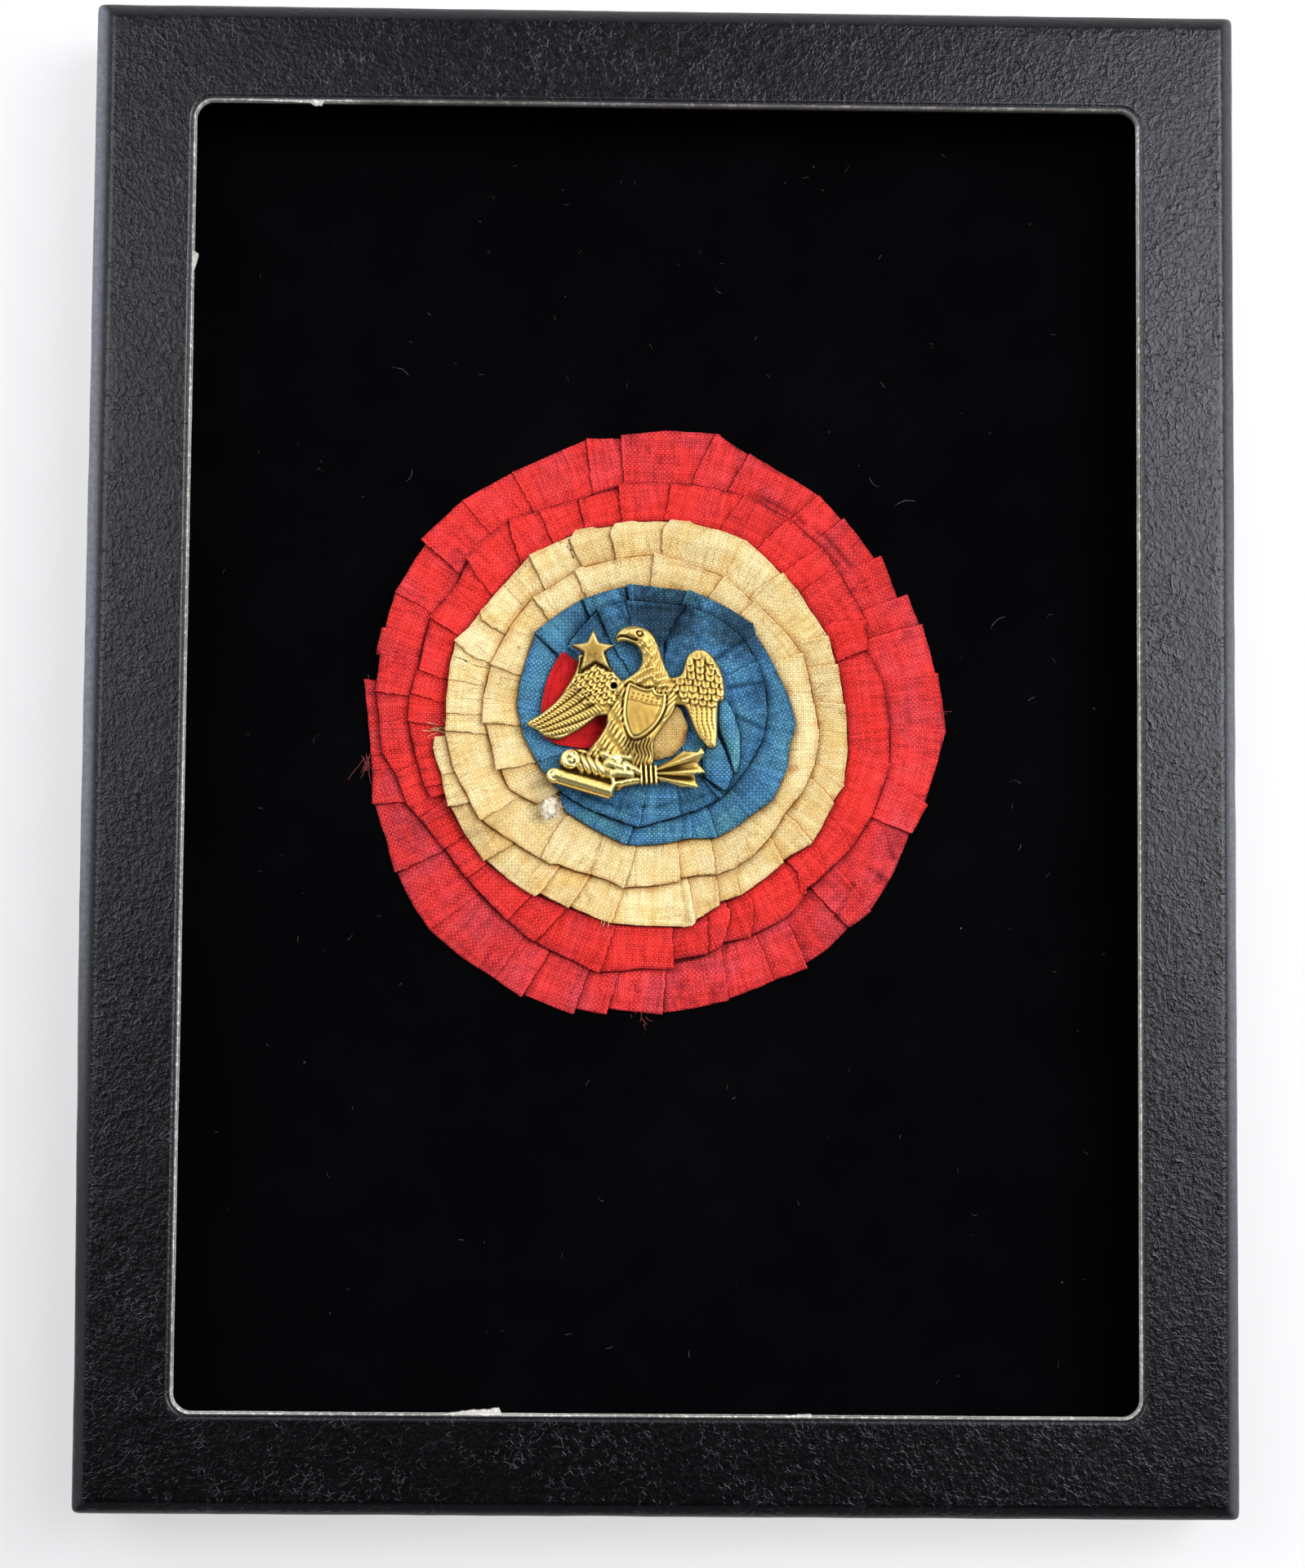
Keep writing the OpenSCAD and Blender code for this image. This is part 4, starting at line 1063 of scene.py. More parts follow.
@dataclass(frozen=True)
class Flap:
    """A turned-up corner of cloth between two edges, given from the middle of the case in millimetres."""

    left: tuple[tuple[float, float], ...]
    right: tuple[tuple[float, float], ...]
    low: float
    crown: float = 0.35
    thickness: float = 0.22
    is_faded: bool = False

    def outline(self) -> np.ndarray:
        """Returns the flap's edge as one closed run of places."""
        return np.array([*self.left, *reversed(self.right)], float)

    def add_to(self, mesh: bmesh.types.BMesh) -> None:
        """Adds the flap to a strip's mesh.

        Args:
            mesh: the strip's mesh, in metres.
        """
        steps, across = 24, 8
        shares = np.linspace(0.0, 1.0, steps)
        edges = []
        for edge in (self.left, self.right):
            points = np.array(edge, float)
            run = np.concatenate([[0.0], np.cumsum(np.hypot(*np.diff(points, axis=0).T))])
            edges.append(np.stack([np.interp(shares * run[-1], run, points[:, n]) for n in (0, 1)], axis=1))
        places = np.zeros((steps, 2 * across + 1, 3))
        for i in range(steps):
            for j in range(2 * across):
                is_top = j < across
                share = j / (across - 1) if is_top else (2 * across - 1 - j) / (across - 1)
                spot = edges[0][i] * (1 - share) + edges[1][i] * share
                arch = self.crown * math.sin(math.pi * share) * math.sin(math.pi * min(0.98, shares[i] + 0.1))
                places[i, j] = (*spot, self.low + arch + (self.thickness if is_top else 0.0))
            places[i, -1] = places[i, 0]
        marks = cotton_marks(places.shape[:2], rim=3.0, tone=0.8 if self.is_faded else -0.2,
                             outer=3.0 if self.is_faded else 0.0)
        # Crest marks on the flap's edges give them a painted highlight and a little soil.
        marks["crest"][:, [0, 2 * across - 1, 2 * across]] = 0.0
        marks["crest"][:, across - 1:across + 1] = 0.0
        flap = Lattice(places, marks, places[:, :, :2]).surface(cap_ends=True)
        data = mesh_data("flap", flap)
        mesh.from_mesh(data)
        bpy.data.meshes.remove(data)


RED_CREASES = (
    Crease(((40, 35.4), (52, 35.8)), 0.4, 0.25), Crease(((54, 35.2), (67, 35.6)), 0.4, 0.25),
    Crease(((140, 37.5), (150, 36)), 0.3, 0.4, 0.6), Crease(((312, 37.6), (320, 36)), 0.4, 0.35),
    Crease(((330, 38.6), (334, 36)), 0.4, 0.3))
CREAM_CREASES = (
    Crease(((277.6, 22.6), (278.2, 29.4)), 0.25, 0.3, 0.5),
    Crease(((244, 18), (246.3, 24.5)), 0.25, 0.3, 0.5),
    Crease(((287.5, 27), (289.8, 23)), 0.25, 0.3, 0.6))
BLUE_CREASES = (
    Crease(((225, 15.3), (240, 14), (250, 13.4), (260, 12.8), (270, 12.4), (285, 12.2), (300, 12.3)),
           0.3, 0.22),
    Crease(((60, 15.8), (80, 15.7), (100, 16.1), (110, 16.8), (120, 17.3), (135, 16.5)), 0.1, 0.14, 0.5),
    Crease(((77, 16.3), (82, 12.8), (87.5, 9.5)), 0.45, 0.3),
    Crease(((120.2, 17.3), (124, 14)), 0.3, 0.25),
    Crease(((146, 20.7), (149.4, 16.9)), 0.3, 0.22), Crease(((123.5, 20), (126.3, 17.5)), 0.3, 0.25),
    Crease(((104.4, 19.2), (106.3, 17.3)), 0.3, 0.2),
    Crease(((325, 12.7), (340, 11.5), (352, 10.4)), 0.4, 0.35),
    Crease(((20, 15.4), (24, 10.5)), 0.3, 0.3), Crease(((44, 16.2), (48, 11)), 0.3, 0.3),
    Crease(((355, 15), (2, 10.5)), 0.25, 0.3), Crease(((312, 13.6), (307, 10.2)), 0.3, 0.25))
BLUE_FLAPS = (
    Flap(((8, 7.4), (7.9, 4.6), (8.3, 3), (9.1, 1.2), (9.8, -0.9), (10.3, -2.5)),
         ((9.1, 7.5), (10.1, 5.7), (10.9, 3), (11, 0), (10.9, -1.2), (10.5, -2.5)),
         13.5, 0.5, is_faded=True),
    Flap(((7.4, 2.4), (5.6, -0.4), (6, -3.2), (8.8, -5.0)),
         ((7.8, 2.6), (9, 0.2), (10, -2.7), (9.2, -4.9)), 13.1, 0.35))


@dataclass
class PleatedStrip:
    """A cotton strip, folded along its length, knife pleated and wound round in about two turns."""

    name: str
    node: str
    slot: str
    rows: tuple[Fold, ...]
    radius: float
    first_turn: float
    finish: CottonFinish
    lapped: bool = False
    puff_z: float | None = None
    puff_radius: float = 11.0
    puff_ramp: float = 30.0
    puff_inner: float = 2.6
    seed: float = 0.0
    column_pitch: float = 0.45
    flat: float = 0.78
    lift: float = 0.47
    rim_flat: float = 0.42
    overhang: float = 0.55
    rise_reach: float = 5.5
    flap_shade: float = 0.42
    corner_reach: float = 2.4
    rim_reach: float = 2.6
    clear: float = 0.02
    rim_lift: float = 0.22
    corner_lift: float = 0.42
    rim_round: float = 0.17
    waver: float = 0.10
    nick: float = 0.035
    tone_swing: float = 1.6
    weave_swing: float = 7.0
    creases: tuple[Crease, ...] = ()
    over: "PleatedStrip | None" = None
    flaps: "tuple[Flap, ...]" = ()
    stack: StripStack = StripStack()

    MEASURED_ROWS = (0, 10, 20)
    FOLD_SHIFT = (-0.10, 0.02, 0.07, 0.02)
    FOLD_DROP = (0.0, 0.10, 0.34, 0.62, 0.93, 1.0, 1.0)

    def _turn(self, angle: np.ndarray) -> np.ndarray:
        """Returns the turn's number at an angle."""
        lapped = self.stack.lap(angle) if self.lapped else 0.0
        return self.first_turn + (angle - self.rows[0].angle) / FULL_TURN + lapped

    def _columns(self) -> dict[str, np.ndarray]:
        """Lays out the strip's columns from its folds.

        Returns:
            For each column, by name: angle, lean, rim, rise (share of a full pleat), drop (share of the way
            down to the cloth below the fold), shift (sideways, in millimetres), panel, near (distance to
            the fold's edge), hold (how far the rim's corner lifts) and under (a small step in angle that
            keeps the underside from folding back).
        """
        out: dict[str, list[float]] = {k: [] for k in (
            "angle", "lean", "rim", "rise", "drop", "shift", "panel", "near", "hold", "under", "low")}

        def put(**values: float) -> None:
            """Adds one column."""
            for key, store in out.items():
                store.append(values.get(key, 0.0))

        breaks = [k for k, row in enumerate(self.rows) if row.step != 0.0]
        panel = 0
        for k, row in enumerate(self.rows):
            rim_a, rim_b = row.before * self.radius, row.after * self.radius
            last = max([b for b in breaks if b <= k], default=None)
            then = min([b for b in breaks if b > k], default=None)
            if row.step == 0.0:
                put(angle=row.angle, lean=row.lean, rim=(rim_a + rim_b) / 2, panel=panel,
                    **self._rise(row.angle, rim_a, last, then))
            else:
                panel = self._put_fold(put, row, rim_a, rim_b, panel)
            if k + 1 == len(self.rows):
                break
            after = self.rows[k + 1]
            span = after.angle - row.angle
            rim_c = after.before * self.radius
            count = max(2, math.ceil(math.radians(span) * rim_b / self.column_pitch))
            start, end = polar(row.angle, rim_b), polar(after.angle, rim_c)
            for step in range(1, count):
                share = step / count
                angle = row.angle + span * share
                chord = math.hypot(*(a + (b - a) * share for a, b in zip(start, end)))
                rim = 0.35 * (rim_b + (rim_c - rim_b) * share) + 0.65 * chord
                put(angle=angle, lean=row.lean + (after.lean - row.lean) * share, rim=rim, panel=panel,
                    **self._rise(angle, rim, last, then))
        return {k: np.array(v) for k, v in out.items()}

    def _rise(self, angle: float, rim: float, last: int | None, then: int | None) -> dict[str, float]:
        """Returns how high a panel lies at an angle, by its distance from the folds on each side.

        Args:
            angle: the column's angle.
            rim: the rim's radius.
            last: the index of the fold before, or None.
            then: the index of the fold after, or None.

        Returns:
            The column's rise, near, hold and low values.
        """
        rise, near, hold, low = 0.0, FAR, 0.0, FAR
        for index, side in ((last, -1.0), (then, 1.0)):
            if index is None:
                continue
            fold = self.rows[index]
            away = abs(math.radians(angle - fold.angle)) * rim
            high = max(0.0, side * fold.step)
            if high > 0.0:
                rise = max(rise, high * max(0.0, 1.0 - away / self.rise_reach) ** 1.25)
                if away < near:
                    near, hold = away, high
            else:
                low = min(low, away / max(0.2, abs(fold.step)))
        return {"rise": rise, "near": near, "hold": hold, "low": low}

    def _put_fold(self, put: Callable[..., None], row: Fold, rim_a: float, rim_b: float, panel: int) -> int:
        """Adds the columns of one fold: over its edge, back beneath it, and out again.

        Args:
            put: adds a column.
            row: the fold.
            rim_a: the rim's radius before the fold.
            rim_b: the rim's radius after it.
            panel: the panel's number before the fold.

        Returns:
            The panel's number after it.
        """
        size = abs(row.step)
        side = 1.0 if row.step > 0 else -1.0
        tuck = 0.12 + self.overhang * size
        shifts = [*self.FOLD_SHIFT, -tuck, -tuck - 0.02, -tuck + 0.14]
        order = range(7) if side > 0 else range(6, -1, -1)
        upper, lower = (rim_a, rim_b) if side > 0 else (rim_b, rim_a)
        for place, k in enumerate(order):
            on_top = k < 4
            is_before = place < 4 if side > 0 else place < 3
            put(angle=row.angle, lean=row.lean, rim=upper if on_top else lower, rise=size,
                drop=self.FOLD_DROP[k], shift=side * shifts[k], panel=panel if is_before else panel + 1,
                near=0.0 if on_top else FAR, low=FAR if on_top else 0.0, hold=size if on_top else 0.0,
                under=(place - 3) * 0.012)
        return panel + 1

    def _across(self) -> tuple[np.ndarray, np.ndarray, np.ndarray]:
        """Returns the rows across the strip, from the sewn edge over the rim and back underneath.

        Returns:
            For each row: which part of the way in it is (0 at the rim), the rim's rounding angle, and
            whether it is on top (1), in between, or underneath (0).
        """
        top = [(j / 19) ** 1.35 for j in range(19, 0, -1)]
        bottom = [(j / 6) ** 1.2 for j in range(1, 7)]
        bends = [90.0, 62.0, 34.0, 8.0, -24.0, -60.0, -90.0]
        share = np.array([*top, *([0.0] * len(bends)), *bottom])
        bend = np.array([*([90.0] * len(top)), *bends, *([-90.0] * len(bottom))])
        return share, np.radians(bend), (1.0 + np.sin(np.radians(bend))) / 2.0

    def lattice(self) -> Lattice:
        """Works out every point of the strip.

        Returns:
            The lattice, whose last row repeats its first to close the section.
        """
        col = self._columns()
        share, bend, on_top = self._across()
        stack = self.stack

        def spread(values: np.ndarray) -> np.ndarray:
            """Returns one value for each column as a column of rows."""
            return np.repeat(values[:, None], len(share), axis=1)

        sewn_angle = col["angle"] + col["lean"]
        turn_sewn, turn_rim = self._turn(sewn_angle), self._turn(col["angle"])
        puff = smooth((sewn_angle - self.rows[0].angle - FULL_TURN) / self.puff_ramp)
        if self.puff_z is None:
            puff = np.zeros_like(puff)
        inner = stack.sewn_edge(turn_sewn)
        inner = inner - np.maximum(inner - self.puff_inner, 0.0) * puff
        waves = np.array([noise.noise(Vector((a * 0.30, self.seed, 1.7))) for a in col["angle"]])
        nicks = np.array([noise.noise(Vector((a * 2.3, self.seed, 8.1))) for a in col["angle"]])
        rim = col["rim"] + self.waver * waves + self.nick * nicks
        knee = np.where(puff > 0, self.puff_radius, stack.knee(turn_sewn, rim))
        round_in = self.rim_round * (1.0 - np.cos(bend))[None, :]
        depth = round_in + (spread(rim - inner) - self.rim_round) * share[None, :]
        radius = spread(rim) - depth
        blend = np.clip((spread(rim) - radius) / np.maximum(spread(rim - knee), 0.5), 0.0, 1.0)
        turn = spread(turn_rim) * (1 - blend) + spread(turn_sewn) * blend
        under = stack.underside(turn, radius)
        if self.puff_z is not None:
            at_rim = spread(stack.underside(turn_rim, rim))
            outward = (radius - self.puff_radius) / np.maximum(spread(rim) - self.puff_radius, 0.5)
            sloped = self.puff_z + (at_rim - self.puff_z) * smooth(outward) ** 0.8
            under = under * (1 - spread(puff)) + sloped * spread(puff)

        def thickness(rise: np.ndarray, hold: np.ndarray) -> np.ndarray:
            """Works out the cloth's top above its underside.

            Args:
                rise: each point's share of a full pleat.
                hold: how far its corner lifts.

            Returns:
                The heights, in millimetres.
            """
            at_rim = self.rim_flat + self.rim_lift * rise
            full = self.flat + self.lift * rise
            corner = self.corner_lift * hold * bell(depth,
                                                    self.corner_reach) * np.exp(-spread(col["near"]) / 1.3)
            return at_rim + (full - at_rim) * smooth(depth / self.rim_reach) + corner

        high = thickness(spread(col["rise"]), spread(col["hold"]))
        low = thickness(np.zeros_like(high), np.zeros_like(high))
        top = high + spread(col["drop"]) * (low - high)
        angle = spread(col["angle"]) + spread(col["lean"]) * blend
        arc = np.radians(angle) * radius
        cover = self.cover(angle, radius)
        ripple, sway = self._wrinkles(arc, depth, on_top, col["panel"])
        pressed, line = self._pressed(angle, radius)
        ripple -= pressed
        open_share = 0.25 + 0.75 * smooth((cover + 1.2) / 1.6)
        inside = np.minimum(spread((col["drop"] < 0.2).astype(float)) + 0.25, 1.0)
        top = top + ripple * inside * open_share * smooth(depth / 0.8)
        z_top = under + self.clear + np.maximum(top, 0.2)
        z_low = under + self.clear + 0.3 * spread(col["hold"]) * bell(depth,
                                                                      1.6) * np.exp(-spread(col["near"]))
        at_edge = z_low + (z_top - z_low) * on_top[None, :]
        z = np.where(share[None, :] > 0, np.where(on_top[None, :] > 0.5, z_top, z_low), at_edge)
        slip = spread(col["shift"]) * on_top[None, :] + spread(col["under"]) * (1 - on_top[None, :]) + sway
        turned = np.radians(angle) + slip / np.maximum(radius, 1.0)
        x, y = radius * np.cos(turned), radius * np.sin(turned)
        places = np.stack([x + stack.middle_x, y + stack.middle_y, z], axis=2)
        # The marks lead the shader: crook, line and cover to painted shade, crest to a painted highlight and
        # some soil.
        marks = cotton_marks(
            z.shape, rim=depth, crest=spread(col["near"]), cover=cover, line=line * on_top[None, :],
            crook=np.where(on_top[None, :] > 0.4, spread(np.minimum(col["low"], FAR)), FAR),
            tone=spread(self._tones(col["panel"])), outer=np.clip(1.35 - (turn - self.first_turn), 0.0, 1.0))
        marks = {name: closed(values) for name, values in marks.items()}
        return Lattice(closed(places), marks, closed(self._cloth(col, x, y)))

    def _pressed(self, angle: np.ndarray, radius: np.ndarray) -> tuple[np.ndarray, np.ndarray]:
        """Measures the strip's pressed creases and the shade at its flaps' edges.

        Args:
            angle: the points' angles along the winding.
            radius: their radii.

        Returns:
            How deep each point is pressed, in millimetres, and its line mark of painted shade.
        """
        flat = radius * np.cos(np.radians(angle)), radius * np.sin(np.radians(angle))
        pressed, line = np.zeros_like(radius), np.zeros_like(radius)
        for crease in self.creases:
            apart, _ = distance_to_run(*flat, np.array([polar(*place) for place in crease.path]))
            pressed += crease.depth * bell(apart, crease.width)
            # The line mark is painted shade along each crease and, below, round each flap.
            line = np.maximum(line, crease.shade * bell(apart, crease.width))
        for flap in self.flaps:
            outline = flap.outline() - (self.stack.middle_x, self.stack.middle_y)
            line = np.maximum(line, bell(distance_to_run(*flat, outline)[0], self.flap_shade))
        return pressed, line

    def rim_at(self, angle: np.ndarray) -> np.ndarray:
        """Returns the rim's radius at an angle of the winding, or -1 beyond its ends."""
        rims = [(row.before + row.after) / 2 * self.radius for row in self.rows]
        return np.interp(angle, [row.angle for row in self.rows], rims, left=-1.0, right=-1.0)

    def cover(self, angle: np.ndarray, radius: np.ndarray) -> np.ndarray:
        """Returns how far each point lies outside the cloth that lies over it.

        Args:
            angle: the points' angles along the winding.
            radius: their radii.

        Returns:
            Distances in millimetres, less than 0 under that cloth and FAR where there is none.
        """
        rim = self.rim_at(angle + FULL_TURN)
        if self.over is not None:
            start = self.over.rows[0].angle
            rim = np.where(rim < 0, self.over.rim_at(start + np.mod(angle - start, FULL_TURN)), rim)
        return np.where(rim < 0, FAR, radius - rim)

    def _wrinkles(self, arc: np.ndarray, depth: np.ndarray, on_top: np.ndarray,
                  panel: np.ndarray) -> tuple[np.ndarray, np.ndarray]:
        """Returns the cloth's soft unevenness, and how far its fold lines wander sideways.

        Args:
            arc: how far along the winding each point is, in millimetres.
            depth: how far in from the rim it is.
            on_top: which rows are on top.
            panel: each column's panel.

        Returns:
            Heights and sideways shifts, in millimetres.
        """
        ripple, sway = np.zeros_like(arc), np.zeros_like(arc)
        for i in range(arc.shape[0]):
            step = 0.37 * panel[i]
            for j in range(arc.shape[1]):
                a, d = arc[i, j], depth[i, j]
                sway[i, j] = 0.3 * noise.noise(Vector((a / 5.0, d / 3.2, self.seed + 9.0))) * smooth(d / 2.5)
                if on_top[j] >= 0.5:
                    ripple[i, j] = (0.15 * noise.noise(Vector((a / 3.1, d / 3.6, self.seed + step)))
                                    + 0.07 * noise.noise(Vector((a / 0.95, d / 2.6, self.seed + 5.0))))
        return ripple, sway

    def _tones(self, panel: np.ndarray) -> np.ndarray:
        """Returns a tone for each column by its panel, from -1 to 1."""
        return np.array([self.tone_swing * noise.noise(Vector((k * 1.73, self.seed, 6.1))) for k in panel])

    def _cloth(self, col: dict[str, np.ndarray], x: np.ndarray, y: np.ndarray) -> np.ndarray:
        """Returns the weave's coordinates, in millimetres, square to each panel.

        Args:
            col: the columns.
            x: the points' places from the middle of the cockade.
            y: the same along Y.

        Returns:
            Two numbers for each point.
        """
        out = np.zeros((*x.shape, 2))
        for panel in np.unique(col["panel"]):
            pick = col["panel"] == panel
            swing = self.weave_swing * noise.noise(Vector((panel * 1.31, self.seed, 2.2)))
            about = math.radians(float(col["angle"][pick].mean()) + swing)
            along = -x[pick] * math.sin(about) + y[pick] * math.cos(about)
            outward = x[pick] * math.cos(about) + y[pick] * math.sin(about)
            out[pick] = np.stack([along + 11.7 * panel, outward], axis=2)
        return out

    def build(self) -> bpy.types.Object:
        """Returns:
            The strip's object.
        """
        lattice = self.lattice()
        mesh = lattice.surface(cap_ends=True)
        for flap in self.flaps:
            flap.add_to(mesh)
        piece = finish_piece(self.name, mesh, [self.finish.material()], [self.node])
        return piece


# Red patch and button


@dataclass
class RedPatch:
    """The scrap of red cloth that shows between the blue strip and the eagle."""

    edge: tuple[tuple[float, float], ...] = (
        (146, 0.828), (150, 0.830), (155, 0.832), (164, 0.834), (173, 0.834), (182, 0.836), (190, 0.832),
        (195, 0.745), (200, 0.620), (204.5, 0.525))
    radius: float = 20.1
    inner: float = 6.6
    first_turn: float = 4.29 + 2.04 - 216.8 / FULL_TURN
    thickness: float = 0.6
    finish: CottonFinish | None = None
    stack: StripStack = StripStack()

    def build(self) -> bpy.types.Object:
        """Builds and dresses the patch.

        Returns:
            The patch's object.
        """
        angles = np.linspace(self.edge[0][0], self.edge[-1][0], 70)
        rims = np.interp(angles, [e[0] for e in self.edge], [e[1] for e in self.edge]) * self.radius
        top, back = 30, 8
        shares = np.array([*np.linspace(0.0, 1.0, top), 1.0, 1.0, *np.linspace(0.98, 0.0, back)])
        on_top = np.array([*([1.0] * top), 0.75, 0.25, *([0.0] * back)])
        bulge = np.array([*([0.0] * top), 0.06, 0.06, *([0.0] * back)])
        places = np.zeros((len(angles), len(shares), 3))
        rim_mark = np.zeros(places.shape[:2])
        for i, (angle, rim) in enumerate(zip(angles, rims)):
            turn = self.first_turn + angle / FULL_TURN + float(self.stack.lap(np.array(angle)))
            for j, share in enumerate(shares):
                radius = self.inner + (rim - self.inner) * share + bulge[j]
                x, y = polar(angle, radius)
                under = float(self.stack.underside(np.array(turn), np.array(radius)))
                pleat = 0.10 * math.sin(angle * 0.55 + radius * 0.35)
                pleat += 0.07 * noise.noise(Vector((x / 2.0, y / 2.0, 3)))
                z = under + 0.03 + on_top[j] * (self.thickness + pleat)
                places[i, j] = (x + self.stack.middle_x, y + self.stack.middle_y, z)
                rim_mark[i, j] = rim - radius
        places, rim_mark = closed(places), closed(rim_mark)
        # A painted shade line 0.75 mm in from the patch's edge.
        line = bell(rim_mark - 0.75, 0.12) * 0.5
        marks = cotton_marks(rim_mark.shape, rim=rim_mark, line=line)
        mesh = Lattice(places, marks, places[:, :, :2]).surface(cap_ends=True)
        piece = finish_piece("patch_red", mesh, [self.finish.material()], ["centre_red"])
        return piece


@dataclass
class CoveredButton:
    """The cloth-covered button behind the eagle."""

    radius: float = 4.3
    finish: CottonFinish | None = None

    def build(self) -> bpy.types.Object:
        """Builds and dresses the button on the solid's own place.

        Returns:
            The button's object.
        """
        low, high = (np.array(v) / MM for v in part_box("centre_button"))
        middle, tall = (low + high) / 2, high[2] - low[2]
        mesh = bmesh.new()
        bmesh.ops.create_uvsphere(mesh, u_segments=96, v_segments=40, radius=1.0)
        layers = {name: mesh.verts.layers.float.new(name) for name in (
            "rim", "crook", "crest", "cover", "line", "tone", "outer")}
        for vert in mesh.verts:
            across = Vector((vert.co.x, vert.co.y)).length
            turn = math.atan2(vert.co.y, vert.co.x)
            crown = math.copysign(abs(vert.co.z) ** 0.55, vert.co.z)
            tucks = 0.018 * math.sin(turn * 11.0) * smooth((across - 0.55) / 0.45)
            uneven = 0.05 * noise.noise(Vector((vert.co.x * 2.1, vert.co.y * 2.1, 4.0)))
            vert[layers["rim"]] = (1.0 - across) * self.radius if vert.co.z > 0 else 0.0
            for name in ("crook", "crest", "cover"):
                vert[layers[name]] = FAR
            # The line mark paints shade in the tucks round the button's edge.
            vert[layers["line"]] = 0.35 * smooth(math.sin(turn * 11.0) - 0.4) * smooth((across - 0.6) / 0.4)
            vert.co = Vector((
                (middle[0] + vert.co.x * self.radius * (1.0 + tucks)),
                (middle[1] + vert.co.y * self.radius * (1.0 + tucks)),
                middle[2] + tall / 2 * crown * (1.0 + uneven) - 0.02)) * MM
        uv = mesh.loops.layers.uv.new("cloth")
        for face in mesh.faces:
            for loop in face.loops:
                loop[uv].uv = (loop.vert.co.x / MM, loop.vert.co.y / MM)
        piece = finish_piece("button_cover", mesh, [self.finish.material()], ["centre_button"])
        return piece


# Eagle


Outline = Sequence[tuple[float, float]]


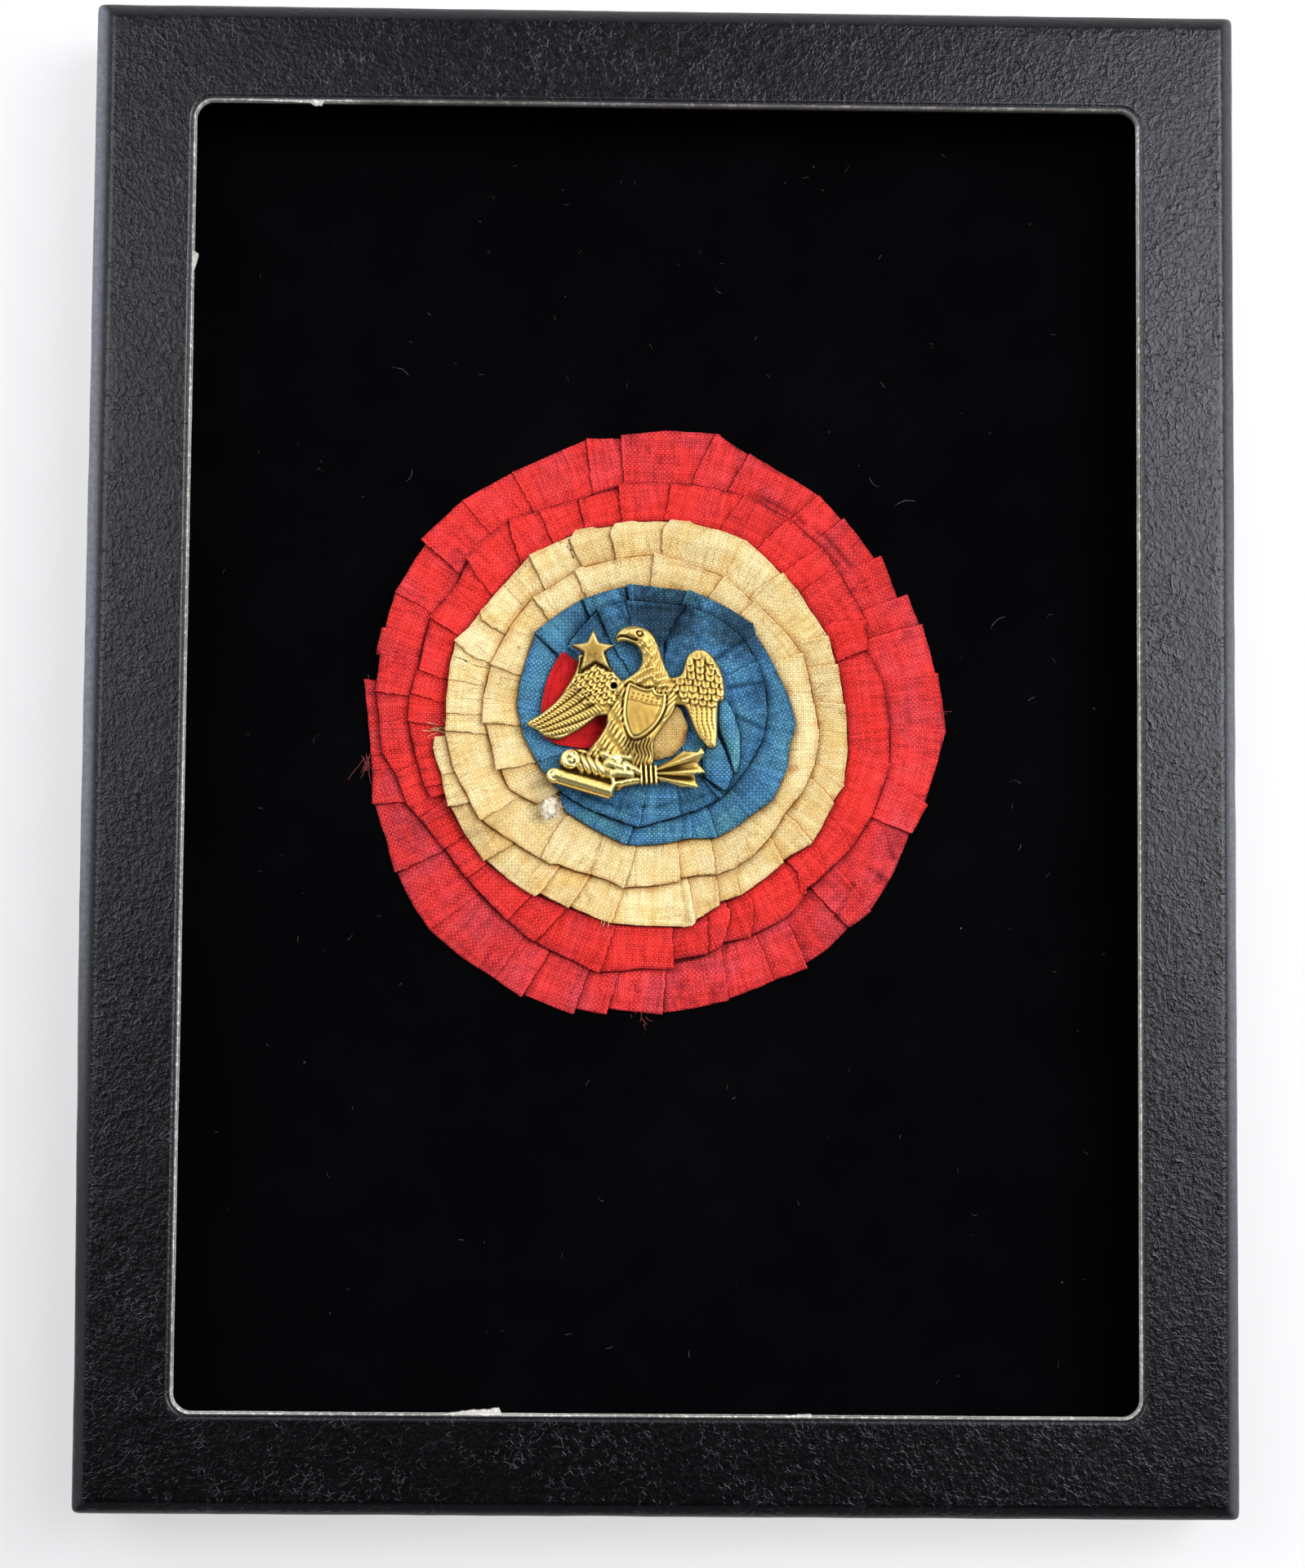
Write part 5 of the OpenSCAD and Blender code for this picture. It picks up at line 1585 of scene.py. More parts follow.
class ReliefField:
    """A height field over a rectangle, in millimetres, that outlines and strokes are worked into."""

    FLOOR = -0.6

    def __init__(self, low: tuple[float, float], high: tuple[float, float], pitch: float) -> None:
        """Lays out the field.

        Args:
            low: its lower left corner.
            high: its upper right corner.
            pitch: the distance between its points.
        """
        lines = [np.linspace(a, b, int(round((b - a) / pitch)) + 1) for a, b in zip(low, high)]
        self.x, self.y = np.meshgrid(*lines, indexing="ij")
        self.height = np.full_like(self.x, self.FLOOR)
        # One mark for rubbed metal and painted highlight, one for painted shade in grooves, gaps and under
        # edges together with some plain darker areas.
        self.polish_and_highlight = np.zeros_like(self.x)
        self.dark = np.zeros_like(self.x)

    @staticmethod
    def rounded(outline: Outline, parts: int = 4) -> np.ndarray:
        """Smooths an outline through its points.

        Args:
            outline: the points.
            parts: how many parts each stretch is cut into.

        Returns:
            The new points.
        """
        points = np.array(outline, float)
        before, after, then = np.roll(points, 1, 0), np.roll(points, -1, 0), np.roll(points, -2, 0)
        out = []
        for step in range(parts):
            t = step / parts
            bend = 2 * before - 5 * points + 4 * after - then
            twist = 3 * points - before - 3 * after + then
            out.append(0.5 * (2 * points + (after - before) * t + bend * t * t + twist * t ** 3))
        return np.stack(out, axis=1).reshape(-1, 2)

    def inside(self, outline: np.ndarray) -> np.ndarray:
        """Measures the field against an outline.

        Args:
            outline: the outline's points.

        Returns:
            The distance in from it, negative outside.
        """
        closed = np.vstack([outline, outline[:1]])
        within = np.zeros(self.x.shape, bool)
        for a, b in zip(closed, closed[1:]):
            if a[1] != b[1]:
                crosses = (a[1] > self.y) != (b[1] > self.y)
                within ^= crosses & (self.x < a[0] + (self.y - a[1]) * (b[0] - a[0]) / (b[1] - a[1]))
        return distance_to_run(self.x, self.y, closed)[0] * np.where(within, 1.0, -1.0)

    def stroke(self, path: Outline) -> tuple[np.ndarray, np.ndarray]:
        """Returns the distance from a path, and how far along it the nearest point is."""
        return distance_to_run(self.x, self.y, np.array(path, float))

    def away(self, x: float, y: float) -> np.ndarray:
        """Returns the field's distance from a place."""
        return np.hypot(self.x - x, self.y - y)

    def line(self, path: Outline, height: float, width: float, where: np.ndarray | float = 1.0,
             dark: float = 0.0, spread: float = 1.0) -> None:
        """Raises or presses a soft line along a path.

        Args:
            path: the path's points.
            height: how high it stands, negative for a groove.
            width: its half width.
            where: where it shows, from 0 to 1.
            dark: how much painted shade it adds.
            spread: the half width of the painted shade.
        """
        apart, _ = self.stroke(path)
        self.height += height * bell(apart, width) * where
        self.dark += dark * bell(apart, spread) * where

    def rod(self, apart: np.ndarray, radius: float, top: float, base: float = 0.0) -> None:
        """Raises a half-round rod over a base, from the distance to its middle line."""
        shape = top * np.sqrt(np.clip(1 - (apart / radius) ** 2, 0, 1)) + base
        self.height = np.maximum(self.height, np.where(apart < radius, shape, -FAR))

    def swell(self, inside: np.ndarray, base: float, crown: float, reach: float, side: float = 0.13) -> None:
        """Raises a domed shape.

        Args:
            inside: the distance in from its outline.
            base: its height at its edge.
            crown: how much higher its middle is.
            reach: how far in it keeps rising.
            side: how wide its steep side is.
        """
        dome = base + crown * np.sqrt(np.clip(1.0 - (1.0 - np.clip(inside / reach, 0, 1)) ** 2, 0, 1))
        wall = np.clip(inside / side, 0, 1) ** 0.6
        shape = np.where(inside > 0, -0.1 + (dome + 0.1) * wall, -0.1 + inside * 2.0)
        self.height = np.maximum(self.height, shape)

    def scales(self, rows: Sequence[tuple[Outline, int, float]], reach: np.ndarray, depth: float,
               fall: tuple[float, float]) -> None:
        """Works overlapping round feathers into the field, the last row on top.

        Args:
            rows: for each row its two ends, its count and its feathers' radius.
            reach: where they may go, from 0 to 1.
            depth: how high a feather's free edge stands.
            fall: the direction its free edge points in.
        """
        way = np.array(fall) / np.hypot(*fall)
        rng = np.random.default_rng(len(rows))
        added, shade = np.zeros_like(self.height), np.zeros_like(self.height)
        for (a, b), count, radius in rows:
            for k in range(count):
                share = k / max(1, count - 1)
                cx, cy = (a[n] + (b[n] - a[n]) * share + rng.uniform(-0.09, 0.09) for n in (0, 1))
                size = radius * rng.uniform(0.86, 1.08)
                dx, dy = self.x - cx, self.y - cy
                down = dx * way[0] + dy * way[1]
                across = dx * -way[1] + dy * way[0]
                rim = size - np.hypot(across, np.maximum(down, 0))
                in_disc = (rim > 0) & (down > -size * 1.4)
                lifted = depth * (0.25 + 0.75 * np.clip((down + size) / (2 * size), 0, 1))
                lifted = lifted + 0.3 * depth * bell(rim - 0.15, 0.09)
                quill = 0.35 * depth * bell(across, 0.06) * (down < 0.4 * size)
                added = np.where(in_disc, lifted * np.clip(rim / 0.08, 0, 1) - quill, added)
                # Painted shade at each feather's edge, in the gaps between feathers.
                shade = np.where(in_disc, 0.5 * (1 - np.clip(rim / 0.12, 0, 1)), shade)
        self.height += added * reach
        self.dark += shade * reach

    def surface(self, origin: tuple[float, float], base_z: float) -> bmesh.types.BMesh:
        """Turns the field into a closed plate cut off at its outline.

        Args:
            origin: where the field's origin is, in millimetres.
            base_z: the plate's underside, in millimetres.

        Returns:
            The mesh, in metres.
        """
        soft = np.maximum(self.height, self.FLOOR)
        for axis in (0, 1):
            soft = 0.25 * np.roll(soft, 1, axis) + 0.5 * soft + 0.25 * np.roll(soft, -1, axis)
        self.height = np.where(self.height > 0.1, np.maximum(soft, 0.05), self.height)
        # Hollows turn brown, partly tarnish and partly painted shade; crests turn bright, partly rubbed metal
        # and partly painted highlight.
        blurred = self.blurred(self.height, 5)
        fine = self.blurred(self.height, 2)
        deep = 0.85 * np.clip((blurred - self.height) / 0.17, 0, 1)
        deep += 0.5 * np.clip((fine - self.height) / 0.04, 0, 1)
        proud = np.clip((self.height - blurred) / 0.16, 0, 1)
        marks = {"deep": np.clip(deep + self.dark, 0, 1), "polish_and_highlight": np.clip(proud * 0.7 + self.polish_and_highlight, 0, 1)}
        places = np.stack([self.x + origin[0], self.y + origin[1], self.height + base_z], axis=2)
        mesh = Lattice(places, marks).grid()
        everything = [*mesh.verts, *mesh.edges, *mesh.faces]
        bmesh.ops.bisect_plane(mesh, geom=everything, plane_co=(0, 0, base_z * MM), plane_no=(0, 0, 1),
                               dist=WELD / 100, clear_inner=True)
        back = bmesh.ops.duplicate(mesh, geom=[*mesh.verts, *mesh.edges, *mesh.faces])["geom"]
        for vert in back:
            if isinstance(vert, bmesh.types.BMVert):
                vert.co.z = base_z * MM
        bmesh.ops.remove_doubles(mesh, verts=mesh.verts, dist=WELD)
        bmesh.ops.recalc_face_normals(mesh, faces=mesh.faces)
        return mesh

    def blurred(self, values: np.ndarray, reach: int) -> np.ndarray:
        """Averages a field over a square.

        Args:
            values: the field.
            reach: how many points the square reaches to each side.

        Returns:
            The averaged field.
        """
        out = np.clip(values, 0.0, None)
        for axis in (0, 1):
            total = np.zeros_like(out)
            for k in range(-reach, reach + 1):
                total += np.roll(out, k, axis=axis)
            out = total / (2 * reach + 1)
        return out


@dataclass
class EagleDevice:
    """A stamped eagle: a star in its beak, a shield on its breast, a scroll and bolts in its claws."""

    width: float = 28.2
    middle: tuple[float, float] = (0.0, 0.15)
    pitch: float = 0.098
    post: float = 0.8
    finish: BrassFinish = BrassFinish()

    LEFT_WING = (
        (-8.2, 14), (-7.5, 12.6), (-6.7, 11.2), (-5.8, 10.2), (-5, 9.4), (-5, 5), (-7.9, 5), (-9, 4.9),
        (-9.7, 4.4), (-11.2, 3.2), (-12.6, 2.4), (-14, 1.7), (-15.4, 1.7), (-16.5, 2.1), (-17.4, 2.8),
        (-18.9, 3.9), (-17, 5.2), (-15.2, 6.7), (-14, 8.1), (-13, 9.7), (-12.2, 11.2), (-11.8, 12.6),
        (-11.6, 13.6))
    RIGHT_WING = (
        (0.4, 10.4), (1.2, 10.5), (2.1, 10.7), (2.7, 11.3), (3, 12.4), (3.4, 13.5), (4.1, 14.2),
        (5, 14.5), (6, 14.3), (7, 13.4), (7.8, 12.2), (8.4, 10.8), (8.7, 9.3), (8.7, 7.7), (8.3, 7),
        (7.8, 6.6), (7.7, 1.2), (7.3, 0.6), (6.5, 0.6), (5.8, 1.2), (5, 2.2), (4.3, 3.6), (3.8, 5),
        (3.3, 6.1), (2.6, 6.6), (1.6, 6.4), (0.6, 5))
    HEAD = (
        (-8, 14.2), (-6.6, 15), (-6.7, 15.9), (-6.3, 16.8), (-5.5, 17.4), (-4.4, 17.7), (-3.3, 17.6),
        (-2.2, 17.2), (-1.3, 16.3), (-0.6, 15), (-0.1, 13.6), (0.4, 12), (1.1, 10.6), (1.6, 8),
        (-5.2, 8.6), (-5.3, 10.1), (-4.2, 10.9), (-3.5, 11.6), (-3.1, 12.4), (-3, 13.3), (-3.3, 14.2),
        (-4, 15), (-5, 15.3), (-6.1, 15.2), (-7, 14.7))
    BODY = (
        (-6, 10), (1.6, 10), (2, 7), (1.5, 5.4), (0.6, 4.2), (-0.4, 2.8), (-1.1, 1.4), (-1.2, -1.6),
        (-3.2, -2.6), (-6.5, -2.6), (-10.3, -1), (-10.3, 0.1), (-9.3, 1.5), (-8.5, 2.6), (-7.9, 3.8),
        (-7.7, 5.2), (-6.8, 7.5))
    SHIELD = (
        (-4.8, 9.5), (-4, 9.3), (-3, 8.9), (-2.1, 8.7), (-1.3, 8.9), (-0.9, 8.2), (-0.3, 8), (0.4, 8),
        (0.4, 6.4), (-0.1, 4.9), (-1.1, 3.4), (-2.6, 2.1), (-3.7, 1.7), (-4.5, 2), (-5.2, 3.6),
        (-5.5, 5.4), (-5.3, 7.6))
    SCROLL = (
        (-14.2, -2.2), (-14.3, -1), (-13.6, -0.1), (-12.6, 0.2), (-11, 0.3), (-6, -1.2), (-3.4, -2),
        (-3, -4.3), (-5, -4.9), (-6.9, -5.6), (-12, -4.5))
    BOLTS = (
        (-3.4, -2), (-0.6, -1.9), (1, -1.2), (3, 0.3), (4.9, 0.1), (5.4, 0.9), (6, -0.1), (5.1, -1.5),
        (6.2, -2.9), (4.5, -3.1), (5.2, -5), (2.6, -4.9), (0.6, -4.2), (-3, -4.5))
    STAR = (
        (-9.75, 17.3), (-8.85, 15.3), (-6.4, 14.9), (-8.15, 13.75), (-7.25, 11.35), (-9.45, 12.5),
        (-11.55, 11.15), (-11.05, 13.7), (-13.15, 14.9), (-10.65, 15.3))

    RIGHT_ROWS = (
        (6.9, 3.2, 8.3), (7.8, 2.4, 8.4), (8.7, 1.8, 8.4), (9.6, 1.9, 8.3), (10.5, 2.7, 8.2),
        (11.4, 3.3, 7.8), (12.3, 3.7, 7.2), (13.2, 4.2, 6.4))
    NECK = ((-3.6, 17.2), (-2.2, 15.6), (-1.6, 13.6), (-1.2, 11.6), (-1.8, 9.6), (-2.0, 8.2))
    BEAK_TOP = ((-5.3, 16.9), (-4.6, 17.1))
    MOUTH = ((-6.6, 15.9), (-5.9, 16.15), (-5.2, 16.1), (-4.4, 15.75), (-3.7, 15.6))
    LOWER_BEAK = ((-5.9, 15.55), (-4.9, 15.6), (-4.1, 15.3))
    BROW = ((-4.9, 16.75), (-4.2, 17.0), (-3.3, 17.05), (-2.7, 16.7))
    THROAT = ((-6.9, 14.75), (-6.0, 15.15), (-4.9, 15.2), (-4.0, 14.85), (-3.3, 14.2))
    CHIEF = ((-4.9, 7.25), (-3.4, 6.95), (-2.2, 6.55), (-0.3, 6.3))
    ROLLS = ((((-14.9, -3.4), (-7.1, -5.65)), 1.12, 1.5), (((-12.6, -1.25), (-6.3, -3.0)), 1.3, 1.15))
    ROLL_ENDS = (((-15.0, -3.4), 1.15), ((-12.75, -1.2), 1.5))
    SCROLL_END = ((-7.0, -3.3), (-6.7, -4.6), (-7.1, -6.1))
    TALONS = (((-12.0, -0.9), (-11.2, -2.9), 0.34), ((-11.2, -0.6), (-10.2, -3.0), 0.30),
              ((-10.3, -0.5), (-9.2, -3.2), 0.30), ((-9.3, -0.6), (-8.3, -3.5), 0.32))
    KNUCKLES = (((-8.3, -0.4), (-6.0, -1.4), 0.75, 1.7), ((-7.6, -1.6), (-5.3, -2.4), 0.8, 1.85),
                ((-6.6, -0.6), (-4.6, -1.0), 0.6, 1.6), ((-6.4, -3.0), (-4.4, -3.2), 0.95, 1.85),
                ((-6.2, -4.5), (-3.4, -4.0), 0.6, 1.4), ((-5.2, -1.8), (-3.2, -2.9), 0.8, 1.7))
    RAYS = (((-0.9, -2.6), (5.9, -0.1), 0.62), ((-0.9, -3.1), (6.1, -2.85), 0.6),
            ((-0.9, -3.6), (5.1, -4.9), 0.62))

    def relief(self) -> ReliefField:
        """Works the whole device into a field.

        Returns:
            The field.
        """
        metal = ReliefField((-19.6, -7.6), (9.6, 18.8), self.pitch)
        for work in (self._wings, self._body, self._head, self._shield, self._star, self._trophy):
            work(metal)
        return metal

    def _wings(self, metal: ReliefField) -> None:
        """Raises both wings and their feathers.

        Args:
            metal: the field.
        """
        left = metal.inside(metal.rounded(self.LEFT_WING))
        metal.swell(left, 0.45, 0.35, 2.6)
        on_left = smooth(left / 0.35)
        tip = np.array((-23.0, 1.0))
        reach = np.hypot(metal.x - tip[0], metal.y - tip[1])
        fan = np.degrees(np.arctan2(metal.y - tip[1], metal.x - tip[0])) - 0.5 * (reach - 11.0)
        long_part = smooth((15.6 - reach - 0.06 * (fan - 22.0)) / 1.2)
        share = np.mod((fan - 3.5) / 5.6, 1.0)
        ridge = 0.22 * np.sin(math.pi * share) ** 0.5 + 0.08 * share - 0.1
        barb = 0.085 * np.sin(2 * math.pi * (reach / 0.5 + share * 1.1)) * np.sin(math.pi * share) ** 0.5
        metal.height += (ridge + barb) * on_left * long_part
        # Painted shade in the grooves between the plumes and their barbs.
        shade = 0.4 * bell(np.minimum(share, 1 - share), 0.1) + 0.12 * (barb < -0.02)
        metal.dark += shade * on_left * long_part
        rows = []
        for k in range(9):
            row_x, row_y = -11.4 + 0.52 * k + 0.25 * (k % 2), 6.6 + 0.58 * k - 0.25 * (k % 2)
            rows.append((((row_x - 2.6, row_y + 2.6), (row_x + 2.6, row_y - 2.6)), 9, 0.5))
        blend = on_left * smooth((reach - 12.7) / 1.0) * smooth((metal.y - 6.2) / 0.6)
        metal.scales(rows, blend, 0.25, (-0.7, -0.72))
        right = metal.inside(metal.rounded(self.RIGHT_WING))
        metal.swell(right, 0.45, 0.45, 2.2)
        on_right = smooth(right / 0.35)
        rows = []
        for k, (y, x0, x1) in enumerate(self.RIGHT_ROWS):
            nudge = 0.5 * (k % 2)
            rows.append((((x0 + nudge, y + 0.25), (x1 - 0.3 + nudge, y - 0.35)),
                         max(2, int(round((x1 - x0) / 1.02))), 0.6))
        blend = on_right * smooth((metal.y - 6.3 + 0.15 * (metal.x - 5)) / 0.5)
        metal.scales(rows, blend, 0.27, (0.15, -1.0))
        lane = metal.x + 0.16 * (metal.y - 6.0)
        share = np.mod((lane - 3.9 + 0.1 * np.sin(metal.y * 1.9)) / 0.7, 1.0)
        plume = 0.26 * np.sin(math.pi * share) ** 0.45 - 0.12
        barb = 0.03 * np.sin(2 * math.pi * (metal.y / 0.52 - np.abs(share - 0.5) * 1.6))
        quill = -0.05 * bell(share - 0.5, 0.12)
        metal.height += (plume + barb + quill) * on_right * smooth((7.0 - metal.y) / 0.7)
        edge = smooth((0.9 - right) / 0.9) * (metal.x < 6.0) * (right > 0)
        metal.dark += 0.35 * smooth((5.2 - metal.y) / 3.0) * edge

    def _body(self, metal: ReliefField) -> None:
        """Raises the breast, legs and tail, with wavy feathers.

        Args:
            metal: the field.
        """
        body = metal.inside(metal.rounded(self.BODY))
        metal.swell(body, 0.5, 0.95, 3.2)
        on_body = smooth(body / 0.4)
        leg = 0.5 * metal.x + 0.86 * metal.y
        swing = 0.22 * np.sin(1.9 * (0.86 * metal.x - 0.5 * metal.y))
        wavy = np.abs(np.sin(math.pi * ((-0.86 * metal.x + 0.5 * metal.y) / 0.62 + swing)))
        broken = smooth(np.sin(leg * 2.1 + 1.4 * metal.x) + 1.1)
        outside = smooth((-3.6 - metal.x) / 0.8 + smooth((2.2 - metal.y) / 1.0))
        metal.height += (0.24 * wavy * broken - 0.09) * on_body * outside
        tail = np.abs(np.sin(math.pi * (metal.x / 0.5 + 0.35 * np.sin(metal.y * 2.6))))
        in_tail = smooth((2.4 - metal.y) / 0.8) * smooth((metal.x + 5.6) / 0.8) * on_body
        metal.height += (0.24 * tail - 0.16) * in_tail
        metal.dark += 0.55 * in_tail * smooth((0.6 + metal.y + 1.2) / 1.6)
        lane = (0.75 * metal.x - 0.66 * metal.y) / 0.58 + 0.2 * np.sin(metal.y * 2.2)
        at_side = smooth((metal.x + 0.4) / 0.8) * smooth((metal.y - 2.2) / 0.8)
        metal.height += (0.2 * np.abs(np.sin(math.pi * lane)) - 0.07) * on_body * at_side

    def _head(self, metal: ReliefField) -> None:
        """Raises the neck and head, with its eye, brow and beak.

        Args:
            metal: the field.
        """
        head = metal.inside(metal.rounded(self.HEAD))
        metal.swell(head, 0.45, 1.05, 2.1)
        on_head = smooth(head / 0.35)
        apart, along = metal.stroke(self.NECK)
        side = np.where(metal.x + 0.28 * (metal.y - 12.0) > -1.5, 1.0, -1.0) * apart
        sway = 0.32 * np.sin(along * 3.1) + 0.2 * np.sin(along * 6.3 + side)
        flow = np.abs(np.sin(math.pi * (side / 0.43 + sway)))
        broken = 0.55 + 0.45 * np.sin(along * 4.6 + side * 3.7)
        on_neck = on_head * smooth((along - 1.3) / 1.0)
        metal.height += (0.25 * flow * broken - 0.08) * on_neck
        metal.line(self.BEAK_TOP, 0.08, 0.22)
        # Painted shade in the open beak.
        metal.line(self.MOUTH, -0.42, 0.16, on_head, 0.9, 0.2)
        metal.line(self.LOWER_BEAK, 0.14, 0.25, on_head)
        metal.line(self.BROW, 0.16, 0.18, on_head)
        # The throat line only paints shade under the head.
        metal.line(self.THROAT, 0.0, 1.0, on_head, 0.45, 0.4)
        eye = metal.away(-3.25, 16.5)
        metal.height += (0.2 * bell(eye, 0.2) - 0.2 * bell(eye - 0.42, 0.12)) * on_head
        # Painted shade in the groove round the eye.
        metal.dark += 0.7 * bell(eye - 0.42, 0.13) * on_head
        metal.height -= 0.15 * bell(metal.away(-5.35, 16.75), 0.12) * on_head

    def _shield(self, metal: ReliefField) -> None:
        """Raises the shield with its double rim, chief line and pricked dots.

        Args:
            metal: the field.
        """
        shield = metal.inside(metal.rounded(self.SHIELD, 3))
        plate = 1.44 + 0.16 * np.sqrt(np.clip(shield / 2.4, 0, 1))
        plate = plate - 0.16 * bell(shield - 0.42, 0.09) + 0.1 * bell(shield - 0.2, 0.14)
        plate -= 0.13 * bell(shield - 0.68, 0.07) * smooth((metal.x + 1.6) / 0.8)
        edge = np.clip((shield + 0.05) / 0.12, 0, 1)
        metal.height = np.where(shield > -0.05, metal.height * (1 - edge) + plate * edge, metal.height)
        # Painted shade in the groove round the shield.
        moat = bell(shield + 0.16, 0.12)
        metal.height -= 0.15 * moat * (metal.height > 0.6)
        metal.dark += 0.2 * moat * (metal.height > 0.4)
        metal.dark += np.where(shield > 0.5, 0.16, 0.0)
        lower = (shield > 0.8) * smooth((5.9 - metal.y) / 0.6)
        stripes = np.sin(2 * math.pi * (metal.x + 0.25 * metal.y) / 1.1) * lower
        metal.dark += 0.09 * stripes
        metal.height += 0.012 * stripes
        metal.line(self.CHIEF, -0.09, 0.08, shield > 0.5)
        # Pricked dots, pressed in and painted with shade.
        for k in range(6):
            for row in range(2):
                dot = metal.away(0.68 * k - 0.2 * row - 4.1, 8.1 - 0.16 * k - 0.55 * row)
                metal.height -= 0.1 * bell(dot, 0.1) * (shield > 0.5)
                metal.dark += 0.55 * bell(dot, 0.12) * (shield > 0.5)

    def _star(self, metal: ReliefField) -> None:
        """Raises the flat star in the beak.

        Args:
            metal: the field.
        """
        star = metal.inside(np.array(self.STAR))
        face = 1.28 + 0.05 * np.clip(star / 0.9, 0, 1) - 0.1 * bell(star, 0.13)
        edge = np.clip(star / 0.12, 0, 1) ** 0.7
        sunk = metal.height * (1 - edge)
        metal.height = np.where(star > 0, np.maximum(sunk + face * edge, sunk), metal.height)
        metal.dark += np.where(star > 0, 0.42, 0.0)
        # Painted shade in the groove under the star's lower edge.
        gutter = bell(star + 0.18, 0.16) * (metal.y < 13.2)
        metal.height -= 0.25 * gutter * (metal.height > 0.5)
        metal.dark += 0.7 * gutter * (metal.height > 0.2)

    def _trophy(self, metal: ReliefField) -> None:
        """Raises the scroll, the claws that hold it, the bands and the bolts.

        Args:
            metal: the field.
        """
        scroll = metal.inside(metal.rounded(self.SCROLL))
        metal.swell(scroll, 0.45, 0.35, 1.2)
        for path, radius, top in self.ROLLS:
            apart, along = metal.stroke(path)
            roll = np.sqrt(np.clip(radius ** 2 - apart ** 2, 0, None)) / radius
            cut = np.array(path[1]) - np.array(path[0])
            past = ((metal.x - path[1][0]) * cut[0] + (metal.y - path[1][1]) * cut[1]) / np.hypot(*cut)
            shape = np.where((apart < radius) & (past < 0.15), 0.35 + top * roll, -FAR)
            metal.height = np.maximum(metal.height, shape)
            # Here and below, painted highlight with rubbed metal along the rolls' tops, on their ends, the
            # knuckles, the rays' tips and the bands.
            metal.polish_and_highlight += np.where(shape > 0.4, 0.55 * roll, 0.0)
        for (cx, cy), radius in self.ROLL_ENDS:
            out = metal.away(cx, cy)
            turn = np.arctan2(metal.y - cy, metal.x - cx)
            disc = 1.75 + 0.1 * np.clip(1 - out / radius, 0, 1)
            spiral = np.abs(np.sin(math.pi * (out / 0.8 - turn / (2 * math.pi))))
            disc = disc - 0.22 * (1 - spiral) ** 2 * (out < radius * 0.85)
            disc = disc * np.clip((radius - out) / 0.25, 0, 1) ** 0.4
            metal.height = np.where(out < radius, np.maximum(metal.height, disc), metal.height)
            metal.polish_and_highlight += 0.5 * (out < radius)
        for a, b, radius in self.TALONS:
            apart, _ = metal.stroke((a, b))
            metal.height += 0.13 * bell(apart, radius) - 0.1 * bell(apart - 0.5, 0.14)
        for a, b, radius, top in self.KNUCKLES:
            apart, along = metal.stroke((a, b))
            knob = 0.55 + (top - 0.45) * np.clip(1 - (apart / radius) ** 2, 0, 1) + 0.06 * np.sin(along * 5.2)
            metal.height = np.where(apart < radius, np.maximum(metal.height, knob), metal.height)
            metal.polish_and_highlight += 0.5 * (apart < radius * 0.85)
        metal.rod(metal.stroke(self.SCROLL_END)[0], 0.42, 1.6)
        softened = smooth((metal.x + 8.7) / 0.5) * smooth((-3.3 - metal.x) / 0.5)
        softened = softened * (metal.y < 0.1) * (metal.y > -5.2) * (metal.height > 0.7)
        metal.height += 0.65 * (metal.blurred(metal.height, 3) - metal.height) * softened
        bolts = metal.inside(np.array(self.BOLTS))
        metal.swell(bolts, 0.45, 0.5, 0.9, 0.1)
        for a, b, half in self.RAYS:
            apart, along = metal.stroke((a, b))
            widening = half * (0.4 + 1.2 * np.clip(along / 6.0, 0, 1))
            ridge = 0.75 * np.clip(1 - apart / widening, 0, 1)
            metal.height = np.maximum(metal.height, np.where((ridge > 0) & (bolts > 0), 0.75 + ridge, -FAR))
            tip = smooth((along - 2.5) / 2.0) * (bolts > 0)
            metal.polish_and_highlight += 0.5 * np.clip(1 - apart / widening, 0, 1) * tip
            # Painted shade beside each ray.
            metal.dark += 0.5 * bell(apart - widening - 0.08, 0.1) * (bolts > 0.1) * (along > 0.4)
        for k in range(4):
            band, _ = metal.stroke(((-2.95 + 0.68 * k, -2.0), (-2.8 + 0.68 * k, -4.45)))
            metal.rod(band, 0.27, 1.45, 0.1)
            metal.polish_and_highlight += 0.6 * (band < 0.18)
            # Painted shade in the gaps between the bands.
            metal.dark += 0.75 * bell(band - 0.33, 0.06) * (metal.y < -2.0) * (metal.y > -4.5)
        hole = metal.away(-6.8, 9.2)
        metal.height = np.where(hole < 0.36, -0.4, metal.height)
        # Painted shade round the hole.
        metal.dark += 0.9 * bell(hole - 0.4, 0.14)

    def build(self) -> bpy.types.Object:
        """Builds and dresses the device above the button.

        Returns:
            The device's object.
        """
        base_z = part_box("centre_button")[1].z / MM + 0.1
        scale = self.width / 28.0
        metal = self.relief()
        metal.x, metal.y = metal.x * scale, metal.y * scale
        mesh = metal.surface(self.middle, base_z + 0.02)
        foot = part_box("eagle_device")[0].z / MM
        tall = base_z + 0.3 - foot
        stack = StripStack()
        middle = Vector((stack.middle_x, stack.middle_y, foot + tall / 2)) * MM
        post = self.post * MM
        bmesh.ops.create_cone(mesh, cap_ends=True, segments=32, radius1=post, radius2=post, depth=tall * MM,
                              matrix=Matrix.Translation(middle))
        return finish_piece("eagle_relief", mesh, [self.finish.material()], ["eagle_device"])


# Case and pad


